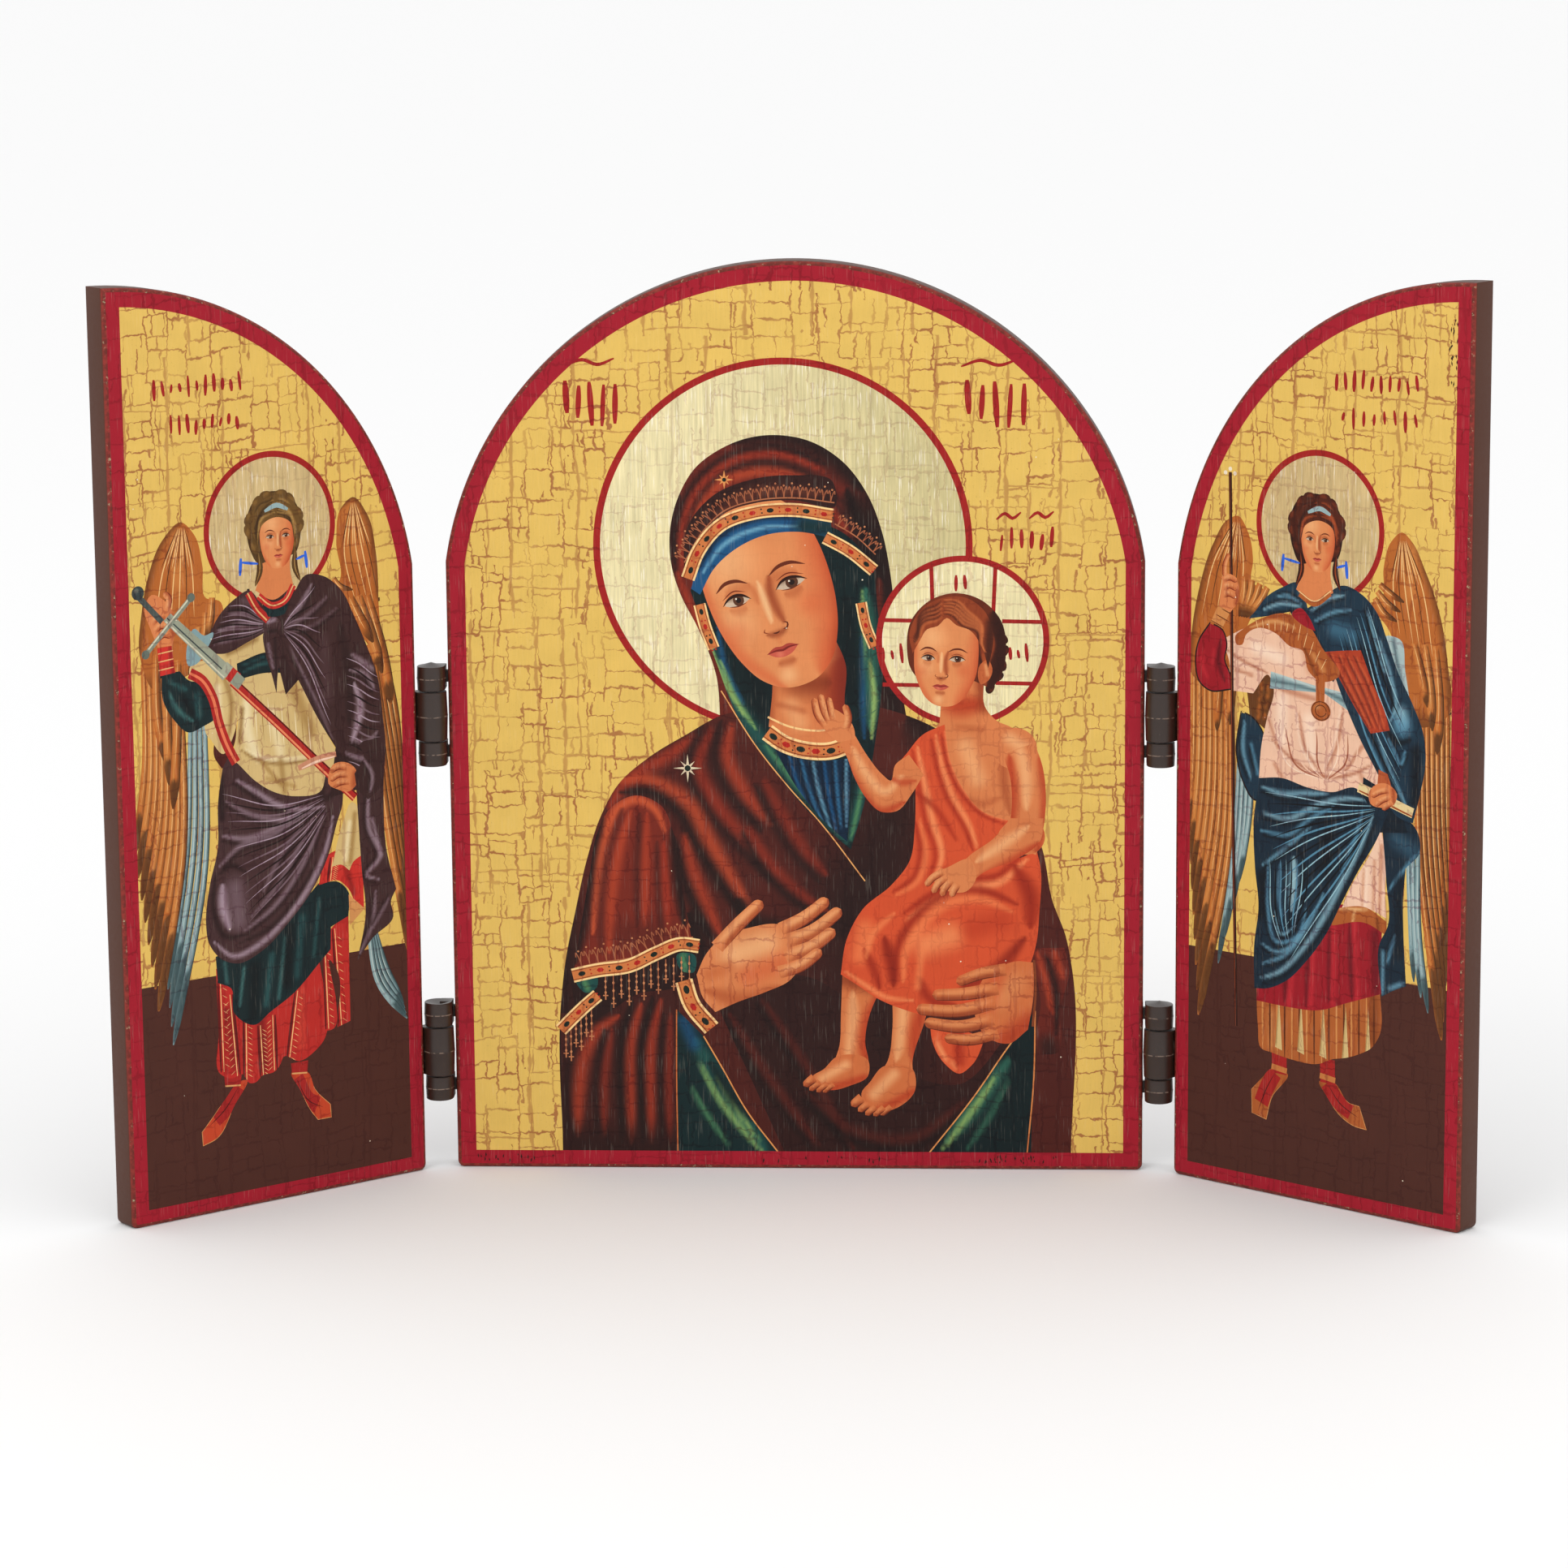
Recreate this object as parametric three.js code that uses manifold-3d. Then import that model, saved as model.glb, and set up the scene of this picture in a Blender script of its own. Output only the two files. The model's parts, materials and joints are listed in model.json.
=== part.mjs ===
// Table-top triptych altarpiece: an arched centre panel and two half-width wings, all flat
// boards with rounded rims, joined by four two-part plastic barrel hinges let into their edges.
// Millimetres, +Z up, the painted side towards -Y. The origin is the middle of the centre
// panel's underside. The wings stand folded forward, so the three boards hold each other up.
import * as THREE from "three";
import { mergeVertices } from "three/addons/utils/BufferGeometryUtils.js";
import Module from "manifold-3d";

// Boards
const panelWidth = 172;
const panelHeight = 228;
const boardThickness = 8;
const archRadius = 87; // a little over half the width, so the arch meets the sides at a soft corner
const archSteps = 40;
const wingWidth = 85.5; // two closed wings leave a 1 mm slit between them
const rimRadius = 1;
const rimSteps = 3;
const footRadius = 1.6; // rounding of the bottom corners, seen from the front
const footSteps = 3;
const wornFootRadius = 2.6; // the right wing's back edge is rounded over along its foot

// Wings at rest, turned forward from flat
const leftFold = 40.5;
const rightFold = 38.2;

// Hinges: sizes are measured from the pin's axis
const hingeHeights = { lower: 30.6, upper: 115.9 };
const axisGap = 4; // from the axis to each board's edge
const axisProud = 0.6; // in front of the boards' faces
const middleKnuckle = { height: 12.2, radius: 3.9, draft: 0.2 };
const outerKnuckle = { height: 6, radius: 3.55, draft: 0.1 };
const knuckleGap = 0.35;
const endRim = 0.45; // flat ring round the cone or dish on a barrel's ends
const coneHeight = 0.9;
const dishDepth = 0.7;
const knuckleSides = 28;
const leafBack = 3.9; // the leaf's back face, behind the axis
const leafThickness = 1.6;
const leafDepth = 8; // how far a leaf goes into its board
const neckHeight = 3;
const slotClearance = 0.3;

const barrelHalf = middleKnuckle.height / 2 + knuckleGap + outerKnuckle.height;
const faceY = -boardThickness / 2;
const axisX = panelWidth / 2 + axisGap;
const axisY = faceY - axisProud;

const paintedBoard = new THREE.MeshStandardMaterial({ color: 0x6b4b40, roughness: 0.55, metalness: 0 });
const hingePlastic = new THREE.MeshStandardMaterial({ color: 0x3a2b26, roughness: 0.45, metalness: 0 });

const wasm = await Module();
wasm.setup();

function toSolid(geometry) {
  const bare = geometry.clone();
  bare.deleteAttribute("normal");
  bare.deleteAttribute("uv");
  const merged = mergeVertices(bare, 1e-4);
  const vertProperties = new Float32Array(merged.attributes.position.array);
  const triVerts = new Uint32Array(merged.index.array);
  return new wasm.Manifold(new wasm.Mesh({ numProp: 3, vertProperties, triVerts }));
}

function toGeometry(solid) {
  const mesh = solid.getMesh();
  const geometry = new THREE.BufferGeometry();
  geometry.setAttribute("position", new THREE.BufferAttribute(mesh.vertProperties, 3));
  geometry.setIndex(new THREE.BufferAttribute(mesh.triVerts, 1));
  return geometry;
}

function boxSolid(low, high) {
  const size = high.map((value, i) => value - low[i]);
  const box = new THREE.BoxGeometry(...size);
  box.translate(...low.map((value, i) => value + size[i] / 2));
  return toSolid(box);
}

// The outlines lie in the XZ plane and run anticlockwise seen from the front.
const archCentreZ = panelHeight - archRadius;
const springZ = archCentreZ + Math.sqrt(archRadius ** 2 - (panelWidth / 2) ** 2);
const springAngle = Math.atan2(springZ - archCentreZ, panelWidth / 2);

function roundedFoot(points, x, side) {
  const turn = Math.PI / 2 / footSteps;
  for (let i = 0; i <= footSteps; i += 1) {
    const angle = side > 0 ? i * turn : Math.PI / 2 - i * turn;
    const cornerX = x - side * footRadius * (1 - Math.sin(angle));
    points.push(new THREE.Vector2(cornerX, footRadius * (1 - Math.cos(angle))));
  }
}

function archPoints(points, centreX, fromAngle, toAngle, steps) {
  for (let i = 0; i <= steps; i += 1) {
    const angle = fromAngle + ((toAngle - fromAngle) * i) / steps;
    const x = centreX + archRadius * Math.cos(angle);
    points.push(new THREE.Vector2(x, archCentreZ + archRadius * Math.sin(angle)));
  }
}

function centreOutline() {
  const points = [];
  roundedFoot(points, panelWidth / 2, 1);
  archPoints(points, 0, springAngle, Math.PI - springAngle, archSteps);
  roundedFoot(points, -panelWidth / 2, -1);
  return points;
}

// A right wing lying flat beside the panel: its hinge edge at x = 0, its tall free edge outside.
function wingOutline() {
  const points = [];
  const topAngle = Math.acos((wingWidth - panelWidth / 2) / archRadius);
  roundedFoot(points, wingWidth, 1);
  archPoints(points, panelWidth / 2, topAngle, Math.PI - springAngle, archSteps / 2);
  roundedFoot(points, 0, -1);
  return points;
}

function boardSolid(outline) {
  const geometry = new THREE.ExtrudeGeometry(new THREE.Shape(outline), {
    depth: boardThickness - 2 * rimRadius,
    bevelEnabled: true,
    bevelThickness: rimRadius,
    bevelSize: rimRadius,
    bevelOffset: -rimRadius,
    bevelSegments: rimSteps,
  });
  geometry.rotateX(Math.PI / 2);
  geometry.translate(0, boardThickness / 2 - rimRadius, 0);
  return toSolid(geometry);
}

// A slot for one leaf, in the edge at x = edgeX; side points into the board.
function leafSlot(edgeX, side, centreZ, leafHeight) {
  const backY = axisY + leafBack;
  const farX = edgeX + side * (leafDepth + slotClearance);
  const outX = edgeX - side;
  return boxSolid(
    [Math.min(farX, outX), backY - leafThickness - slotClearance, centreZ - leafHeight / 2 - slotClearance],
    [Math.max(farX, outX), backY + slotClearance, centreZ + leafHeight / 2 + slotClearance],
  );
}

function cutSlots(board, edges, leafHeight) {
  let result = board;
  for (const [edgeX, side] of edges) {
    for (const height of Object.values(hingeHeights)) {
      result = result.subtract(leafSlot(edgeX, side, height, leafHeight));
    }
  }
  return result;
}

// The long edge at the back of a board's foot, rounded over.
function roundBackFoot(board, radius, length) {
  const corner = boxSolid([-1, boardThickness / 2 - radius, -1], [length + 1, boardThickness / 2 + 1, radius]);
  const round = new THREE.CylinderGeometry(radius, radius, length + 4, knuckleSides);
  round.rotateZ(Math.PI / 2);
  round.translate(length / 2, boardThickness / 2 - radius, radius);
  return board.subtract(corner.subtract(toSolid(round)));
}

// One barrel stretch, from z = 0 up, drafted both ways from its parting line.
function knuckleSolid(knuckle, endShape) {
  const endRadius = knuckle.radius - knuckle.draft;
  const tip = { flat: 0, cone: coneHeight, dish: -dishDepth }[endShape];
  const profile = [
    new THREE.Vector2(0, 0),
    new THREE.Vector2(endRadius, 0),
    new THREE.Vector2(knuckle.radius, knuckle.height / 2),
    new THREE.Vector2(endRadius, knuckle.height),
    new THREE.Vector2(endRadius - endRim, knuckle.height),
    new THREE.Vector2(0, knuckle.height + tip),
  ];
  const geometry = new THREE.LatheGeometry(profile, knuckleSides);
  geometry.rotateX(Math.PI / 2);
  return toSolid(geometry);
}

// The square shoulder behind a knuckle, on the side of the board that it is fixed to (+X).
function shoulderSolid(knuckle) {
  return boxSolid([0, 0, 0], [knuckle.radius - knuckle.draft, leafBack, knuckle.height]);
}

// Half of a hinge for a board on the +X side of the axis, centred on the hinge's height.
function forkSolid() {
  const upper = knuckleSolid(outerKnuckle, "cone").add(shoulderSolid(outerKnuckle));
  const lower = knuckleSolid(outerKnuckle, "dish").mirror([0, 0, 1]);
  const lowerShoulder = shoulderSolid(outerKnuckle).translate([0, 0, -outerKnuckle.height]);
  const start = middleKnuckle.height / 2 + knuckleGap;
  let fork = upper.translate([0, 0, start]);
  fork = fork.add(lower.add(lowerShoulder).translate([0, 0, -start]));
  const leafLow = [axisGap, leafBack - leafThickness, -barrelHalf];
  fork = fork.add(boxSolid(leafLow, [axisGap + leafDepth, leafBack, barrelHalf]));
  for (const side of [-1, 1]) {
    const middle = side * (start + outerKnuckle.height / 2);
    const neckLow = [outerKnuckle.radius / 2, leafBack - leafThickness, middle - neckHeight / 2];
    fork = fork.add(boxSolid(neckLow, [axisGap + leafDepth / 2, leafBack, middle + neckHeight / 2]));
  }
  return fork;
}

function tongueSolid() {
  const half = middleKnuckle.height / 2;
  const knuckle = knuckleSolid(middleKnuckle, "flat").add(shoulderSolid(middleKnuckle));
  const leafLow = [middleKnuckle.radius / 2, leafBack - leafThickness, -half];
  const leaf = boxSolid(leafLow, [axisGap + leafDepth, leafBack, half]);
  return knuckle.translate([0, 0, -half]).add(leaf);
}

function namedMesh(name, solid, material) {
  const mesh = new THREE.Mesh(toGeometry(solid), material);
  mesh.name = name;
  return mesh;
}

// A group whose own origin is a hinge axis, turned forward by the wing's fold.
function wingGroup(side, name, fold, wornFoot) {
  const wing = new THREE.Group();
  wing.position.set(side * axisX, axisY, 0);
  wing.rotation.z = THREE.MathUtils.degToRad(-side * fold);
  let board = cutSlots(boardSolid(wingOutline()), [[0, 1]], middleKnuckle.height);
  if (wornFoot) board = roundBackFoot(board, wornFootRadius, wingWidth);
  board = board.translate([axisGap, -axisY, 0]);
  wing.add(namedMesh(`${name}_wing`, side > 0 ? board : board.mirror([1, 0, 0]), paintedBoard));
  for (const [level, height] of Object.entries(hingeHeights)) {
    const tongue = side > 0 ? tongueSolid() : tongueSolid().mirror([1, 0, 0]);
    const mesh = namedMesh(`hinge_${level}_${name}_tongue`, tongue, hingePlastic);
    mesh.position.z = height;
    wing.add(mesh);
  }
  return wing;
}

function forkMesh(side, name, level) {
  let fork = side > 0 ? forkSolid().mirror([1, 0, 0]) : forkSolid();
  if (name === "left" && level === "lower") fork = fork.mirror([0, 0, 1]); // fitted upside down
  const mesh = namedMesh(`hinge_${level}_${name}_fork`, fork, hingePlastic);
  mesh.position.set(side * axisX, axisY, hingeHeights[level]);
  return mesh;
}

const triptych = new THREE.Group();
const slotHeight = 2 * barrelHalf;
const panelEdges = [[-panelWidth / 2, 1], [panelWidth / 2, -1]];
triptych.add(namedMesh("centre_panel", cutSlots(boardSolid(centreOutline()), panelEdges, slotHeight), paintedBoard));
for (const [side, name] of [[-1, "left"], [1, "right"]]) {
  for (const level of Object.keys(hingeHeights)) triptych.add(forkMesh(side, name, level));
}
triptych.add(wingGroup(-1, "left", leftFold, false));
triptych.add(wingGroup(1, "right", rightFold, true));

export default triptych;
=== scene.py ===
import json
import math

import bmesh
import bpy
import numpy as np
from mathutils import Matrix, Vector
from mathutils.geometry import delaunay_2d_cdt


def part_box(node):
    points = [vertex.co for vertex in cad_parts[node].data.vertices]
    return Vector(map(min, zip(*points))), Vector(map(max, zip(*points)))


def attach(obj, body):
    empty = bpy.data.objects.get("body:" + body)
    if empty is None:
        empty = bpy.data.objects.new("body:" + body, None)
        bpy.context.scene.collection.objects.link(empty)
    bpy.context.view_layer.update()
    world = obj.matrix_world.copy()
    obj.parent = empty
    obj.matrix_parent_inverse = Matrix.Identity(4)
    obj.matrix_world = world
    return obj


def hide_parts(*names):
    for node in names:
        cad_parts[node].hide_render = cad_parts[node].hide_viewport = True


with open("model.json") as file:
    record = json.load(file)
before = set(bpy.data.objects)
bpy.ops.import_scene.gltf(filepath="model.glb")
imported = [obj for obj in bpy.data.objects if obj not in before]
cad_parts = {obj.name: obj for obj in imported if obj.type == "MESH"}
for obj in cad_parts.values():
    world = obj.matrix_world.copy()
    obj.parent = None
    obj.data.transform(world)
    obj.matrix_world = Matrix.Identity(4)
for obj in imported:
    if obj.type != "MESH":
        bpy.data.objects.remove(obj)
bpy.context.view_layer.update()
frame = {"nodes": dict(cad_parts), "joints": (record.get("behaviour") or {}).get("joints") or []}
mm = 0.001  # lengths below are in millimetres unless a name says otherwise


# camera, light and floor

view = {
    "place": (62.9, -1283.9, 357.2), "down": 11.41, "turn": -2.945, "roll": -0.486,  # angles in degrees
    "lens": 121.3, "sensor": 36, "reach": 10,  # the reach in metres
}


def makeCamera():
    turn, down, roll = (math.radians(view[key]) for key in ("turn", "down", "roll"))
    ahead = Vector((math.sin(turn) * math.cos(down), math.cos(turn) * math.cos(down), -math.sin(down)))
    level = Vector((math.cos(turn), -math.sin(turn), 0))
    above = level.cross(ahead)
    right = level * math.cos(roll) + above * math.sin(roll)
    up = above * math.cos(roll) - level * math.sin(roll)
    data = bpy.data.cameras.new("camera")
    data.lens = view["lens"]
    data.sensor_width = view["sensor"]
    data.clip_end = view["reach"]
    camera = bpy.data.objects.new("camera", data)
    bpy.context.collection.objects.link(camera)
    turned = Matrix((right, up, -ahead)).transposed().to_4x4()
    camera.matrix_world = Matrix.Translation(Vector(view["place"]) * mm) @ turned
    bpy.context.scene.camera = camera
    print("camera", view["lens"], "mm lens")


studio = {
    "sky": 1.06, "paper": 0.9, "paperReach": 6, "aim": (0, 0, 0.1),  # lengths in metres
    "lights": {  # place, size and power
        "keyLight": ((-0.7, -1.1, 1.2), 0.7, 3.4),
        "fillLight": ((0.9, -0.9, 0.7), 0.9, 1.2),
    },
}


def makeStudio():
    scene = bpy.context.scene
    scene.view_settings.view_transform = "Standard"
    world = bpy.data.worlds.new("studio")
    world.use_nodes = True
    sky = world.node_tree.nodes["Background"]
    sky.inputs["Color"].default_value = (1, 1, 1, 1)
    sky.inputs["Strength"].default_value = studio["sky"]
    scene.world = world
    for name, (place, size, power) in studio["lights"].items():
        data = bpy.data.lights.new(name, "AREA")
        data.size = size
        data.energy = power
        light = bpy.data.objects.new(name, data)
        light.location = place
        light.rotation_euler = (Vector(studio["aim"]) - light.location).to_track_quat("-Z", "Y").to_euler()
        bpy.context.collection.objects.link(light)
    reach = studio["paperReach"]
    mesh = bpy.data.meshes.new("floor")
    corners = [(-reach, -reach, 0), (reach, -reach, 0), (reach, reach, 0), (-reach, reach, 0)]
    mesh.from_pydata(corners, [], [(0, 1, 2, 3)])
    floor = bpy.data.objects.new("floor", mesh)
    bpy.context.collection.objects.link(floor)
    paper = bpy.data.materials.new("paleFloor")
    paper.use_nodes = True
    surface = paper.node_tree.nodes["Principled BSDF"]
    surface.inputs["Base Color"].default_value = (studio["paper"],) * 3 + (1,)
    surface.inputs["Roughness"].default_value = 0.9
    mesh.materials.append(paper)
    print("studio", len(studio["lights"]), "lights")


# shader maths: a wrapped socket that can be added, multiplied and compared

class Wire:
    def __init__(self, tree, socket=None):
        self.tree = tree
        self.socket = socket

    def node(self, kind, settings=None, inputs=None, out=0):
        made = self.tree.nodes.new(kind)
        for key, value in (settings or {}).items():
            setattr(made, key, value)
        for key, value in (inputs or {}).items():
            if isinstance(value, Wire):
                self.tree.links.new(value.socket, made.inputs[key])
            else:
                made.inputs[key].default_value = value
        return Wire(self.tree, made.outputs[out])

    def maths(self, operation, *values):
        return self.node("ShaderNodeMath", {"operation": operation}, dict(enumerate(values)))

    def __add__(self, other):
        return self.maths("ADD", self, other)

    def __sub__(self, other):
        return self.maths("SUBTRACT", self, other)

    def __mul__(self, other):
        return self.maths("MULTIPLY", self, other)

    def __truediv__(self, other):
        return self.maths("DIVIDE", self, other)

    def __rsub__(self, other):
        return self.maths("SUBTRACT", other, self)

    __radd__ = __add__
    __rmul__ = __mul__

    def __gt__(self, other):
        return self.maths("GREATER_THAN", self, other)

    def distance(self, other):
        return self.maths("ABSOLUTE", self - other)

    def floor(self):
        return self.maths("FLOOR", self)

    def between(self, low, high):  # 0 at low, 1 at high, eased
        limits = {"Value": self, "From Min": low, "From Max": high}
        return self.node("ShaderNodeMapRange", {"interpolation_type": "SMOOTHSTEP"}, limits)

    def noise(self, scale, detail=2.0, rough=0.5):
        values = {"Vector": self, "Scale": scale, "Detail": detail, "Roughness": rough}
        return self.node("ShaderNodeTexNoise", None, values)

    def stretched(self, x, y, z=1):
        return self.node("ShaderNodeVectorMath", {"operation": "MULTIPLY"}, {0: self, 1: (x, y, z)})

    def moved(self, x, y, z=0):
        return self.node("ShaderNodeVectorMath", {"operation": "ADD"}, {0: self, 1: (x, y, z)})

    def dice(self, other, salt=0.0):  # a fixed random number for each pair of whole numbers
        pair = self.node("ShaderNodeCombineXYZ", None, {0: self, 1: other, 2: salt})
        return self.node("ShaderNodeTexWhiteNoise", None, {"Vector": pair})

    def mixed(self, base, top, kind="MIX"):  # self is the factor
        settings = {"data_type": "RGBA", "blend_type": kind}
        return self.node("ShaderNodeMix", settings, {0: self, 6: base, 7: top}, out=2)


def newMaterial(name):
    material = bpy.data.materials.new(name)
    material.use_nodes = True
    tree = material.node_tree
    return material, Wire(tree), tree.nodes["Principled BSDF"]


def plug(tool, surface, name, value):
    if isinstance(value, Wire):
        tool.tree.links.new(value.socket, surface.inputs[name])
    else:
        surface.inputs[name].default_value = value


def millimetres(tool):  # Object coordinates
    return tool.node("ShaderNodeTexCoord", out=3).stretched(1 / mm, 1 / mm, 1 / mm)


def shaded(tool, colour, share):  # a colour made lighter or darker
    return tool.node("ShaderNodeVectorMath", {"operation": "SCALE"}, {0: colour, 3: share})


def plugHeight(tool, surface, height):  # relief in millimetres
    bump = tool.node("ShaderNodeBump", None, {"Strength": 1.0, "Distance": mm, "Height": height})
    plug(tool, surface, "Normal", bump)


def linear(colour):  # from the 0 to 255 steps of a paint chart to light
    share = np.asarray(colour, float) / 255
    return np.where(share <= 0.04045, share / 12.92, ((share + 0.055) / 1.055) ** 2.4)


def rgba(colour):
    return (*linear(colour), 1)


# paints: each from its darkest to its lightest step

paints = {
    "border": [(158, 22, 40), (140, 12, 30)], "ground": [(190, 142, 56), (221, 183, 93), (236, 207, 128)],
    "ring": [(156, 28, 26)], "leaf": [(184, 170, 118), (228, 214, 164), (240, 232, 200)],
    "leafWing": [(207, 181, 129)], "floor": [(68, 33, 27), (80, 43, 31)],
    "edge": [(50, 28, 20), (77, 43, 29), (170, 152, 120)], "crack": [(190, 150, 168)],
    "robe": [(24, 15, 14), (52, 23, 20), (98, 32, 22), (152, 46, 26), (194, 79, 42), (214, 119, 76)],
    "lining": [(12, 22, 24), (17, 48, 49), (33, 87, 78), (86, 137, 86), (176, 192, 98)],
    "blue": [(8, 16, 28), (12, 42, 68), (27, 86, 132), (84, 146, 176), (150, 190, 202)],
    "skin": [(78, 30, 16), (142, 56, 27), (197, 103, 56), (223, 147, 92), (241, 197, 144)],
    "glow": [(106, 27, 12), (174, 56, 27), (206, 90, 50)],
    "tunic": [(108, 22, 10), (168, 45, 22), (207, 80, 43), (231, 126, 74), (245, 176, 118)],
    "trim": [(96, 44, 22), (190, 96, 48), (224, 156, 88), (246, 214, 150)],
    "bead": [(24, 34, 26), (176, 34, 26)], "lace": [(70, 30, 22), (134, 66, 42), (196, 128, 84)],
    "hair": [(42, 17, 11), (96, 38, 19), (160, 70, 34), (208, 118, 66)],
    "pale": [(206, 186, 150), (240, 228, 204)], "lip": [(120, 34, 28), (186, 74, 58), (214, 116, 90)],
    "eye": [(36, 20, 16), (92, 54, 34), (224, 204, 178)],
    "plum": [(36, 20, 20), (59, 35, 34), (80, 55, 58), (121, 98, 107), (180, 158, 172)],
    "cream": [(122, 86, 42), (174, 136, 76), (214, 187, 128), (238, 223, 182)],
    "teal": [(14, 20, 22), (22, 42, 44), (38, 80, 80), (96, 144, 136)],
    "red": [(84, 18, 16), (150, 28, 26), (198, 46, 38), (226, 118, 80), (240, 196, 130)],
    "ochre": [(96, 44, 16), (161, 79, 33), (198, 126, 66), (235, 196, 138)],
    "feather": [(74, 44, 20), (132, 72, 28), (184, 102, 42), (214, 148, 80), (244, 212, 150)],
    "plume": [(46, 64, 66), (84, 110, 116), (130, 158, 161), (192, 206, 200)],
    "steel": [(46, 54, 56), (104, 112, 100), (156, 160, 138), (212, 208, 180)],
    "fairHair": [(50, 32, 14), (92, 64, 28), (136, 98, 46), (186, 148, 84)], "azure": [(46, 98, 206)],
    "crimson": [(84, 12, 22), (150, 22, 34), (196, 44, 52)],
    "pink": [(164, 96, 70), (206, 146, 113), (229, 185, 156), (244, 218, 194)],
    "navy": [(13, 18, 24), (22, 40, 54), (39, 77, 98), (92, 145, 170), (168, 203, 208)],
}


def tone(name, level=0.0):
    steps = np.array(paints[name], float)
    place = min(max(level, 0.0), 1.0) * (len(steps) - 1)
    low = int(place)
    return steps[low] + (place - low) * (steps[min(low + 1, len(steps) - 1)] - steps[low])


# drawing tools: smooth lines, shapes and soft brush strokes on a flat board

def smoothLine(points, closed=False, step=1.0):  # a third number on a point keeps it a sharp corner
    spots = np.array([point[:2] for point in points], float)
    sharp = [len(point) > 2 for point in points]
    count = len(spots)

    def slope(i):
        before = spots[i] - spots[i - 1]
        after = spots[(i + 1) % count] - spots[i]
        long, short = np.hypot(*before) + 1e-6, np.hypot(*after) + 1e-6
        return (before / long * short + after / short * long) / (long + short)

    pieces = []
    for i in range(count if closed else count - 1):
        j = (i + 1) % count
        chord = spots[j] - spots[i]
        length = np.hypot(*chord) + 1e-9
        straight = chord / length
        leave = straight if sharp[i] or (not closed and i == 0) else slope(i)
        arrive = straight if sharp[j] or (not closed and j == count - 1) else slope(j)
        steps = max(2, math.ceil(length / step))
        t = np.arange(steps)[:, None] / steps
        bend = (t**3 - 2 * t**2 + t) * leave + (t**3 - t**2) * arrive
        pieces.append(spots[i] + (3 * t**2 - 2 * t**3) * chord + bend * length)
    if not closed:
        pieces.append(spots[-1:])
    return np.vstack(pieces)


def ellipse(x, z, wide, tall, turn=0.0, count=0):
    count = count or max(10, int(5 + 5 * math.sqrt(max(wide, tall))) * 2)
    angles = np.arange(count) * 2 * math.pi / count
    a, b = wide * np.cos(angles), tall * np.sin(angles)
    c, s = math.cos(math.radians(turn)), math.sin(math.radians(turn))
    return np.stack([x + a * c - b * s, z + a * s + b * c], 1)


def sideways(line):  # unit normals of an open line, to its left
    ahead = np.gradient(line, axis=0)
    ahead /= np.hypot(*ahead.T)[:, None] + 1e-9
    return np.stack([-ahead[:, 1], ahead[:, 0]], 1)


def ribbon(line, width, taper=0.0):  # a drawn line as a thin closed shape, thinner towards its ends
    share = np.linspace(0, 1, len(line))
    half = width / 2 * (1 - taper + taper * np.sin(np.pi * share) ** 0.7)
    side = sideways(line) * np.maximum(half, width * 0.04)[:, None]
    return np.vstack([line - side, (line + side)[::-1]])


def facingUp(shape):  # the same closed shape, running anticlockwise
    x, z = shape.T
    turned = (x * np.roll(z, -1) - np.roll(x, -1) * z).sum() < 0
    return shape[::-1] if turned else shape


# which points of a square lattice lie in the shape: its corner and a mask
def insideLattice(shape, low, fine, size):
    first = np.maximum(((shape.min(0) - low) / fine).astype(int), 0)
    last = np.minimum(((shape.max(0) - low) / fine).astype(int) + 2, size)
    wide, tall = last - first
    if wide < 1 or tall < 1:
        return first, np.zeros((0, 0), bool)
    x, z = ((shape - low) / fine - first).T
    nextX, nextZ = np.roll(x, -1), np.roll(z, -1)
    rows = np.arange(tall)[:, None]
    crossed = (z > rows) != (nextZ > rows)
    row, edge = np.nonzero(crossed)
    where = x[edge] + (row - z[edge]) * (nextX[edge] - x[edge]) / (nextZ[edge] - z[edge])
    toggles = np.zeros((tall, wide + 1), int)
    np.add.at(toggles, (row, np.clip(np.ceil(where).astype(int), 0, wide)), 1)
    return first, np.cumsum(toggles, axis=1)[:, :wide] % 2 == 1


def brushWeight(spots, line, width, taper):  # 1 on the brushed line, falling softly to 0 at its width
    weight = np.zeros(len(spots))
    near = np.flatnonzero(((spots > line.min(0) - width) & (spots < line.max(0) + width)).all(1))
    if not len(near):
        return weight
    start, run = line[:-1], np.diff(line, axis=0)
    reach = spots[near][:, None] - start
    share = np.clip((reach * run).sum(2) / ((run**2).sum(1) + 1e-12), 0, 1)
    away = np.hypot(*np.moveaxis(reach - share[..., None] * run, 2, 0))
    nearest = away.argmin(1)
    rows = np.arange(len(near))
    along = (nearest + share[rows, nearest]) / len(run)
    size = width * np.where(taper, np.sin(np.pi * along) ** 0.5 * 0.92 + 0.08, 1)
    close = np.clip(1 - away[rows, nearest] / size, 0, 1)
    weight[near] = close * close * (3 - 2 * close)
    return weight


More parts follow.
